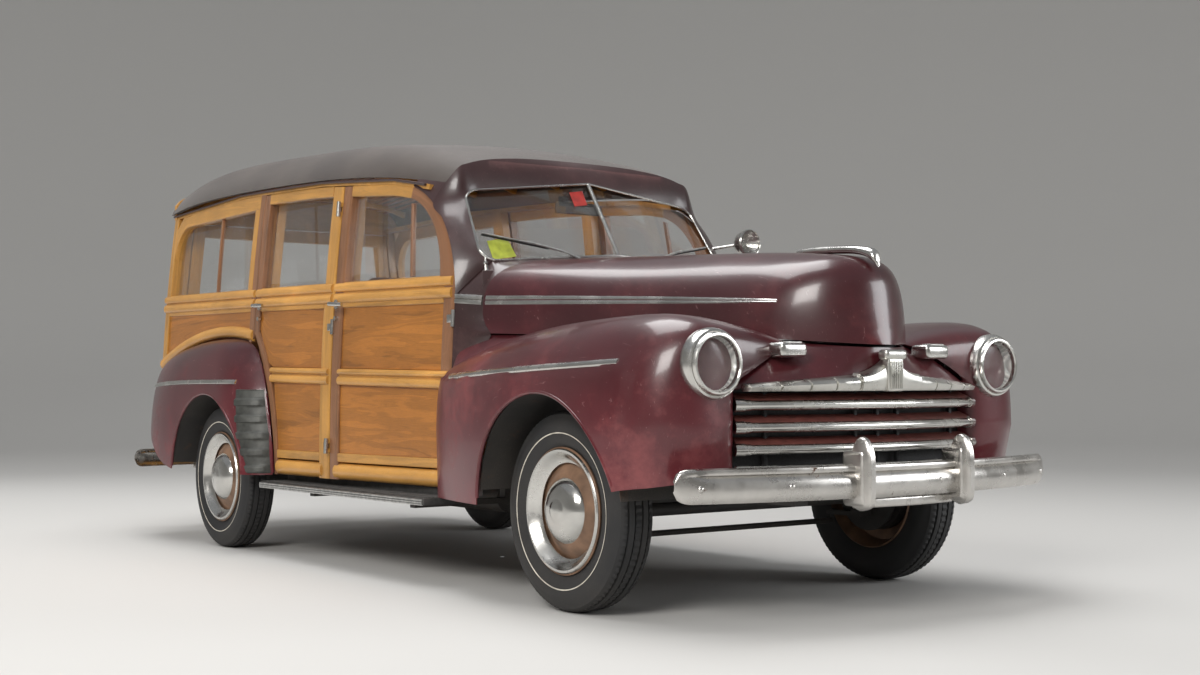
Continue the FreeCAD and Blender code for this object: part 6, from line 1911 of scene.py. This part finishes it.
def build_door_fittings():
    for side, sign in SIDES.items():
        for leaf, x0, x1, z0, z1 in (("door_front_" + side, -0.044, -0.193 + 0.03, 1.131, 1.138),
                                     ("door_rear_" + side, -0.84, -0.958, 1.164, 1.168)):
            def out(x, z, d):
                return (x, sign * (side_y(x, z) + d), z)
            xm = x1 + 0.016
            parts = [tube("grip",
                          [out(x0, z0, 0.04), out((x0 + xm) / 2, (z0 + z1) / 2, 0.048), out(xm, z1, 0.046)],
                          lambda t: 0.0085 - 0.002 * abs(t - 0.5), 12, 1.2),
                     tube("shank", [out(xm, z1, 0.004), out(xm, z1, 0.046)], 0.01, 14),
                     tube("rose", [out(xm, z1, 0.0), out(xm, z1, 0.012)], 0.021, 24),
                     tube("lock", [out(xm, z1 - 0.062, 0.0), out(xm, z1 - 0.062, 0.014)], 0.01, 16)]
            dress(join(leaf + "_handle", parts), "chrome", leaf, angle=40.0)
        for leaf, x, levels in DOOR_HINGES:
            parts = []
            for z in levels:
                def barrel(height):
                    y = side_y(x, 1.04) + 0.003 - (height - 1.04) * tan(HINGE_LEAN)
                    return (x, sign * y, height)
                parts.append(tube("hinge_barrel", [barrel(z - 0.033), barrel(z + 0.033)], 0.0092, 20))
                face = sign * side_y(x, z)
                parts.append(block("hinge_strap",
                                   (x - 0.046, min(face - sign * 0.004, face + sign * 0.006), z - 0.016),
                                   (x - 0.006, max(face - sign * 0.004, face + sign * 0.006), z + 0.016),
                                   0.002))
            dress(join(leaf + side + "_hinges", parts), "chrome", leaf + side, angle=40.0)


def build_rear():
    # Tailgate: a frame with sunk panels
    def half(z):
        return side_y(REAR_X, z) - 0.046 - 0.026 - 0.006
    x = REAR_X
    frame_parts, panels = [], []
    for z0, z1 in ((0.706, 0.774), (0.9, 0.95), (1.116, 1.19)):
        frame_parts.append(block("gate_rail", (x - 0.001, -half(z0), z0), (x + 0.043, half(z0), z1), 0.004))
    for y0, y1 in ((-0.64, -0.57), (-0.11, 0.11), (0.57, 0.64)):
        frame_parts.append(block("gate_stile", (x - 0.002, y0, 0.707), (x + 0.042, y1, 1.189), 0.004))
    for y0, y1 in ((-0.575, -0.105), (0.105, 0.575)):
        panels.append(block("gate_panel", (x + 0.008, y0, 0.76), (x + 0.036, y1, 1.13), 0.001, 1))
    frame_parts += [block("gate_lug", (x - 0.034, y - 0.012, 1.163), (x + 0.001, y + 0.012, 1.187), 0.003)
                    for y in (-0.075, 0.075)]
    dress(join("tailgate_frame", frame_parts), "rail_across", "tailgate", replaces=("tailgate",))
    dress(join("tailgate_panels", panels), "panel_across", "tailgate")
    spots = [-0.69 + 1.38 * k / 60.0 for k in range(61)]
    header = skin("rear_header",
                  [[(x + 0.004, y, 1.702), (x + 0.004, y, max(1.72, roof_z(x, y) + 0.036))] for y in spots])
    if sum(p.normal.x * p.area for p in header.data.polygons) > 0.0:
        header.data.flip_normals()
    thicken(header, 0.03)
    dress(header, "rail_across")
    handles = [tube("gate_handle",
                    [(x - 0.004, 0.3, 1.155), (x - 0.034, 0.3, 1.155), (x - 0.038, 0.4, 1.155)], 0.008, 12),
               block("plate_box", (x - 0.012, -0.46, 1.01), (x - 0.002, -0.16, 1.02), 0.003)]
    for y in (-0.42, 0.42):
        handles.append(tube("gate_hinge", [(x - 0.006, y - 0.046, 0.702), (x - 0.006, y + 0.046, 0.702)],
                            0.009, 12))
    dress(join("tailgate_chrome", handles), "chrome", "tailgate", angle=40.0)
    plate = block("blank_plate", (x - 0.008, -0.47, 0.965), (x - 0.003, -0.15, 1.11), 0.001, 1)
    dress(plate, "plate", "tailgate", angle=30.0)
    lift = [tube("lift_hinge", [(x - 0.006, y - 0.046, 1.684), (x - 0.006, y + 0.046, 1.684)], 0.009, 12)
            for y in (-0.42, 0.42)]
    lift.append(tube("lift_handle",
                     [(x - 0.002, -0.06, 1.228), (x - 0.03, -0.05, 1.226), (x - 0.03, 0.05, 1.226),
                      (x - 0.002, 0.06, 1.228)], 0.006, 10))
    dress(join("liftgate_chrome", lift), "chrome", "liftgate", angle=40.0)
    shells, lenses = [], []
    for sign in (1.0, -1.0):
        centre = (x, sign * 0.7, 1.0)
        shells.append(spun("tail_shell",
                           [(0.04, 0.0), (0.04, 0.02), (0.037, 0.03), (0.031, 0.034), (0.029, 0.03),
                            (0.029, 0.0)], centre, (-1, 0, 0), 40, closed=True))
        lenses.append(lamp_glass("tail_lens", (x - 0.024, sign * 0.7, 1.0), 0.0285, 0.012, (-1, 0, 0), 32))
    dress(join("tail_lamp_shells", shells), "chrome", replaces=("tail_lamps",), angle=40.0)
    dress(join("tail_lamp_lenses", lenses), "tail_lens", angle=40.0)


def build_running_boards():
    for side, sign in SIDES.items():
        ribs = []
        x0, x1 = -0.745, 0.765
        for k in range(9):
            y = 0.7 + 0.0165 * k
            ribs.append(block("board_rib", (x0, min(sign * (y - 0.003), sign * (y + 0.003)), 0.342),
                              (x1, max(sign * (y - 0.003), sign * (y + 0.003)), 0.3475), 0.0015, 1))
        dress(join("running_board_ribs_" + side, ribs), "board_top")
        edges = []
        for z, wave in ((0.3365, 0.0), (0.3275, 1.5), (0.3195, 3.0)):
            path = [(x0 + (x1 - x0) * k / 60.0, sign * (0.85 + 0.0012 * sin(2.2 * k + wave)), z)
                    for k in range(61)]
            edges.append(sweep("board_edge", path, rounded(0.007, 0.0075, 0.0025, 2)))
        dress(join("running_board_edge_" + side, edges), "aluminium")
        apron = block("apron", (x0, min(sign * 0.7, sign * 0.712), 0.338),
                      (x1, max(sign * 0.7, sign * 0.712), 0.376), 0.002, 1)
        dress(apron, "board_top")


CORNERS = ("front_left", "front_right", "rear_left", "rear_right")
NODE_FINISH = {"paint": ("nose_panel", "hood", "front_fenders", "rear_fenders"), "paint_upper": ("cowl",),
               "dash": ("dashboard", "steering_column"),
               "frame_wood": ("body_frame", "quarters", "liftgate", "tailgate",
                              *("door_" + c for c in CORNERS)),
               "floor": ("floor_pan",), "cloth": ("roof",),
               "chrome": ("grille", "front_lamps", "front_bumper", "rear_bumper", "spotlight"),
               "iron": ("frame_rails", "cross_members", "engine_block", "front_axle", "rear_axle",
                        "knuckle_left", "knuckle_right", "tie_rod", "exhaust", "fuel_tank"),
               "board_top": ("running_boards",),
               "glass": ("body_glass", "liftgate_glass", *("glass_" + c for c in CORNERS)),
               "wheel_rim": ("steering_wheel",), "leather": ("front_seat", "middle_seat", "rear_seat"),
               "tail_lens": ("tail_lamps",), "tyre": ("spare_tyre", *("tyre_" + c for c in CORNERS)),
               "wheel": ("spare_wheel", *("wheel_" + c for c in CORNERS)), }


def finish_nodes():
    for material, names in NODE_FINISH.items():
        for name in names:
            node = NODES[name]
            node.data.materials.clear()
            node.data.materials.append(MATERIALS[material])
            if len(node.data.polygons) < 30000:
                shade(node, 32.0)


def make_materials():
    c = colours()
    paint, low, upper = tuple(c.paint), tuple(c.paint_low), tuple(c.paint_roof)
    rail, stile, panel, inner = (tuple(k) for k in (c.rail_wood, c.stile_wood, c.panel_wood, c.inner_wood))
    aged_paint("paint", paint, low, (0.24, 0.05, 0.052), amount=0.52)
    aged_paint("paint_upper", upper, upper, (0.16, 0.075, 0.07), amount=0.5, roughness=0.34)
    varnished("rail_wood", rail, tint(rail, 0.62), 1.0)
    varnished("bar_wood", tint(rail, 1.12), tint(rail, 0.72), 1.1)
    varnished("pale_wood", tint(rail, 1.2), tint(rail, 0.85), 0.8, wear=0.45)
    varnished("stile_wood", stile, tint(stile, 0.55), 1.2)
    varnished("dark_stile_wood", tint(stile, 0.85), tint(stile, 0.42), 1.3)
    varnished("panel_wood", panel, tint(panel, 0.52), 1.7, worn=(0.62, 0.34, 0.12), wear=0.14, stain=0.35)
    varnished("inner_wood", inner, tint(inner, 0.5), 1.2, wear=0.15)
    varnished("frame_wood", rail, tint(rail, 0.6), 1.0, along="Z")
    varnished("rail_across", rail, tint(rail, 0.62), 1.0, along="Y")
    varnished("panel_across", panel, tint(panel, 0.48), 1.6, along="Y")
    varnished("floor", tint(panel, 0.45), tint(panel, 0.22), 1.0, along="X", roughness=0.6)
    worn_chrome("chrome", rust=0.14, scale=14.0)
    worn_chrome("casting", tint=(0.66, 0.65, 0.61), rust=0.05, roughness=0.2, scale=20.0)
    worn_chrome("bumper", tint=(0.64, 0.62, 0.59), rust=0.26, roughness=0.2, scale=16.0)
    rubber("tyre")
    rubber("rubber", dust=0.25)
    roof_cloth("cloth")
    leather("leather")
    dark_iron("iron")
    plain("radiator", (0.03, 0.03, 0.032), 0.6, 0.3, 0.4, 200.0)
    plain("band_red", (0.11, 0.034, 0.028), 0.42)
    plain("guard", (0.062, 0.064, 0.058), 0.46, 0.25, 0.3, 30.0)
    reflector_with_painted_flute_light("reflector_painted_flute_light")
    plain("green_tag", (0.33, 0.37, 0.035), 0.6)
    plain("red_tag", (0.3, 0.018, 0.012), 0.6)
    plain("wheel", (0.2, 0.115, 0.07), 0.5, 0.0, 0.45, 14.0)
    plain("stripe", (0.62, 0.58, 0.5), 0.6)
    plain("dash", tint(paint, 1.4), 0.4, 0.0, 0.2, 12.0, 0.3)
    plain("wheel_rim", (0.05, 0.04, 0.034), 0.35, 0.0, 0.2, 20.0, 0.4)
    plain("dial", (0.55, 0.5, 0.4), 0.5)
    plain("aluminium", (0.56, 0.56, 0.55), 0.36, 0.9, 0.25, 40.0)
    plain("board_top", (0.05, 0.048, 0.046), 0.7, 0.0, 0.4, 30.0)
    plain("shadow", (0.02, 0.008, 0.008), 0.7)
    plain("plate", (0.5, 0.48, 0.42), 0.5)
    plain("tail_lens", (0.34, 0.01, 0.008), 0.12, 0.0, 0.1, 20.0, 0.6)
    clear_glass("glass")
    clear_glass("lens", (0.96, 0.97, 0.94), 0.3, 900.0)


CAMERA_AT = (5.9957, -3.8221, 0.7546)
CAMERA_YAW, CAMERA_PITCH, CAMERA_ROLL = 2.5105, 0.0341, -0.0061
CAMERA_LENS = 46.53


def area_light(name, location, target, size, power, colour=(1.0, 1.0, 1.0), glossy=True):
    clear_selection()
    bpy.ops.object.light_add(type="AREA", location=location)
    lamp = bpy.context.object
    lamp.name = name
    lamp.data.shape = "RECTANGLE"
    lamp.data.size, lamp.data.size_y = size
    lamp.data.energy = power
    lamp.data.color = colour
    lamp.visible_glossy = glossy
    lamp.rotation_euler = (Vector(target) - Vector(location)).to_track_quat("-Z", "Y").to_euler()
    return lamp


def build_stage():
    s = bpy.context.scene.wagon_stage
    bowl = spun("studio_bowl", [(0.01, 0.0), (4.0, 0.0), (9.0, 0.0), (12.0, 0.12), (14.5, 0.9), (16.0, 2.6),
                                (16.8, 6.0), (17.0, 11.0)], (0, 0, 0), (0, 0, 1), 96)
    material, _, shader = fresh("studio")
    shader.inputs["Base Color"].default_value = (0.62, 0.61, 0.59, 1.0)
    shader.inputs["Roughness"].default_value = 0.9
    bowl.data.materials.append(material)
    shade(bowl, 80.0)
    area_light("key", (5.5, -7.5, 5.5), (0.3, 0.0, 0.8), (4.0, 3.0), s.key_power * 3.0, (1.0, 0.98, 0.95))
    area_light("fill", (7.5, 5.5, 3.2), (0.8, 0.0, 0.8), (4.0, 3.0), s.fill_power * 3.0, (0.96, 0.98, 1.0))
    area_light("rear_fill", (-7.0, -4.5, 4.0), (-1.0, 0.0, 0.9), (4.0, 3.0), s.fill_power * 2.4,
               (1.0, 1.0, 1.0), False)
    area_light("top", (-0.6, -0.5, 7.5), (-0.4, -0.3, 0.0), (6.0, 4.0), s.top_power * 3.0)
    cabin = area_light("cabin", (-0.55, 0.0, 1.7), (-0.55, 0.0, 0.0), (2.4, 0.9), s.cabin_power,
                       (1.0, 0.93, 0.84), False)
    cabin.visible_camera = False
    cabin.visible_transmission = False
    world = bpy.context.scene.world or bpy.data.worlds.new("room")
    bpy.context.scene.world = world
    world.use_nodes = True
    background = world.node_tree.nodes["Background"]
    background.inputs["Color"].default_value = (0.95, 0.97, 1.0, 1.0)
    background.inputs["Strength"].default_value = s.ambient
    ahead = Vector((cos(CAMERA_YAW) * cos(CAMERA_PITCH), sin(CAMERA_YAW) * cos(CAMERA_PITCH),
                    sin(CAMERA_PITCH)))
    right = ahead.cross(Vector((0, 0, 1))).normalized()
    up = right.cross(ahead)
    turned = right * cos(CAMERA_ROLL) + up * sin(CAMERA_ROLL)
    over = up * cos(CAMERA_ROLL) - right * sin(CAMERA_ROLL)
    clear_selection()
    bpy.ops.object.camera_add(location=CAMERA_AT)
    camera = bpy.context.object
    camera.name = "photo_camera"
    camera.data.lens = CAMERA_LENS
    camera.data.sensor_width = 36.0
    camera.data.clip_end = 100.0
    camera.matrix_world = Matrix.Translation(CAMERA_AT) @ Matrix((turned, over, -ahead)).transposed().to_4x4()
    bpy.context.scene.camera = camera
    bpy.context.scene.view_settings.view_transform = "Standard"


def build_body_side():
    for side in SIDES:
        build_front_door(side)
        build_rear_door(side)
        build_quarter(side)
    finish_wood()


class WAGON_OT_materials(bpy.types.Operator):
    """Make the procedural materials"""
    bl_idname = "wagon.materials"
    bl_label = "Materials"

    def execute(self, context):
        make_materials()
        return {"FINISHED"}


class WAGON_OT_nodes(bpy.types.Operator):
    """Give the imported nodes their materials"""
    bl_idname = "wagon.nodes"
    bl_label = "Frame finish"

    def execute(self, context):
        finish_nodes()
        return {"FINISHED"}


class WAGON_OT_body_side(bpy.types.Operator):
    """Frame, panels and mouldings of doors and quarters"""
    bl_idname = "wagon.body_side"
    bl_label = "Wooden sides"

    def execute(self, context):
        build_body_side()
        return {"FINISHED"}


class WAGON_OT_hood(bpy.types.Operator):
    """Hood shell with its trim"""
    bl_idname = "wagon.hood"
    bl_label = "Hood"

    def execute(self, context):
        build_hood()
        return {"FINISHED"}


class WAGON_OT_cowl(bpy.types.Operator):
    """Header, pillars and cowl sides"""
    bl_idname = "wagon.cowl"
    bl_label = "Cowl"

    def execute(self, context):
        build_cowl()
        return {"FINISHED"}


class WAGON_OT_front_fenders(bpy.types.Operator):
    """Front fenders with their strips"""
    bl_idname = "wagon.front_fenders"
    bl_label = "Front fenders"

    def execute(self, context):
        build_front_fenders()
        return {"FINISHED"}


class WAGON_OT_rear_fenders(bpy.types.Operator):
    """Rear fenders with stone guards"""
    bl_idname = "wagon.rear_fenders"
    bl_label = "Rear fenders"

    def execute(self, context):
        build_rear_fenders()
        return {"FINISHED"}


class WAGON_OT_nose(bpy.types.Operator):
    """Nose casting, bars, radiator and a dark sheet of painted shade behind the bars"""
    bl_idname = "wagon.nose"
    bl_label = "Nose"

    def execute(self, context):
        build_nose()
        return {"FINISHED"}


class WAGON_OT_lamps(bpy.types.Operator):
    """Headlamps and parking lamps"""
    bl_idname = "wagon.lamps"
    bl_label = "Front lamps"

    def execute(self, context):
        build_lamps()
        return {"FINISHED"}


class WAGON_OT_bumpers(bpy.types.Operator):
    """Bumper bars and guards"""
    bl_idname = "wagon.bumpers"
    bl_label = "Bumpers"

    def execute(self, context):
        build_bumpers()
        return {"FINISHED"}


class WAGON_OT_wheels(bpy.types.Operator):
    """Tyres, discs and caps"""
    bl_idname = "wagon.wheels"
    bl_label = "Wheels"

    def execute(self, context):
        build_wheels()
        return {"FINISHED"}


class WAGON_OT_windshield(bpy.types.Operator):
    """Trim, wipers, tags and spotlight"""
    bl_idname = "wagon.windshield"
    bl_label = "Windshield"

    def execute(self, context):
        build_windshield()
        return {"FINISHED"}


class WAGON_OT_ceiling(bpy.types.Operator):
    """Slats, bows and drip moulding"""
    bl_idname = "wagon.ceiling"
    bl_label = "Ceiling"

    def execute(self, context):
        build_ceiling()
        return {"FINISHED"}


class WAGON_OT_seats(bpy.types.Operator):
    """Three stuffed benches"""
    bl_idname = "wagon.seats"
    bl_label = "Seats"

    def execute(self, context):
        build_seats()
        return {"FINISHED"}


class WAGON_OT_inside(bpy.types.Operator):
    """Gauges and door furniture"""
    bl_idname = "wagon.inside"
    bl_label = "Inside"

    def execute(self, context):
        build_inside()
        return {"FINISHED"}


class WAGON_OT_fittings(bpy.types.Operator):
    """Handles and hinge plates"""
    bl_idname = "wagon.fittings"
    bl_label = "Door fittings"

    def execute(self, context):
        build_door_fittings()
        return {"FINISHED"}


class WAGON_OT_rear(bpy.types.Operator):
    """Gates, plate and tail lamps"""
    bl_idname = "wagon.rear"
    bl_label = "Rear"

    def execute(self, context):
        build_rear()
        return {"FINISHED"}


class WAGON_OT_running_boards(bpy.types.Operator):
    """Ribs and edges"""
    bl_idname = "wagon.running_boards"
    bl_label = "Running boards"

    def execute(self, context):
        build_running_boards()
        return {"FINISHED"}


class WAGON_OT_stage(bpy.types.Operator):
    """Floor, lights and camera"""
    bl_idname = "wagon.stage"
    bl_label = "Stage"

    def execute(self, context):
        build_stage()
        return {"FINISHED"}


STEPS = (
    WAGON_OT_materials,
    WAGON_OT_nodes,
    WAGON_OT_body_side,
    WAGON_OT_hood,
    WAGON_OT_cowl,
    WAGON_OT_front_fenders,
    WAGON_OT_rear_fenders,
    WAGON_OT_nose,
    WAGON_OT_lamps,
    WAGON_OT_bumpers,
    WAGON_OT_wheels,
    WAGON_OT_windshield,
    WAGON_OT_ceiling,
    WAGON_OT_seats,
    WAGON_OT_inside,
    WAGON_OT_fittings,
    WAGON_OT_rear,
    WAGON_OT_running_boards,
    WAGON_OT_stage,
)


class WAGON_PT_panel(bpy.types.Panel):
    """Buttons for each part of the wagon"""
    bl_label = "Wagon"
    bl_idname = "WAGON_PT_panel"
    bl_space_type = "VIEW_3D"
    bl_region_type = "UI"
    bl_category = "Wagon"

    def draw(self, context):
        for step in STEPS:
            self.layout.operator(step.bl_idname)


CLASSES = (WagonColours, WagonStage, WagonSizes, *STEPS, WAGON_PT_panel)


def register():
    for cls in CLASSES:
        bpy.utils.register_class(cls)
    bpy.types.Scene.wagon_colours = bpy.props.PointerProperty(type=WagonColours)
    bpy.types.Scene.wagon_stage = bpy.props.PointerProperty(type=WagonStage)
    bpy.types.Scene.wagon_sizes = bpy.props.PointerProperty(type=WagonSizes)


def unregister():
    del bpy.types.Scene.wagon_sizes
    del bpy.types.Scene.wagon_stage
    del bpy.types.Scene.wagon_colours
    for cls in reversed(CLASSES):
        bpy.utils.unregister_class(cls)


def main():
    random.seed(49)
    register()
    for step in STEPS:
        group_name, call = step.bl_idname.split(".")
        if getattr(getattr(bpy.ops, group_name), call)() != {"FINISHED"}:
            raise RuntimeError(step.bl_label + " didn't finish")
    clear_selection()


if __name__ == "__main__":
    main()
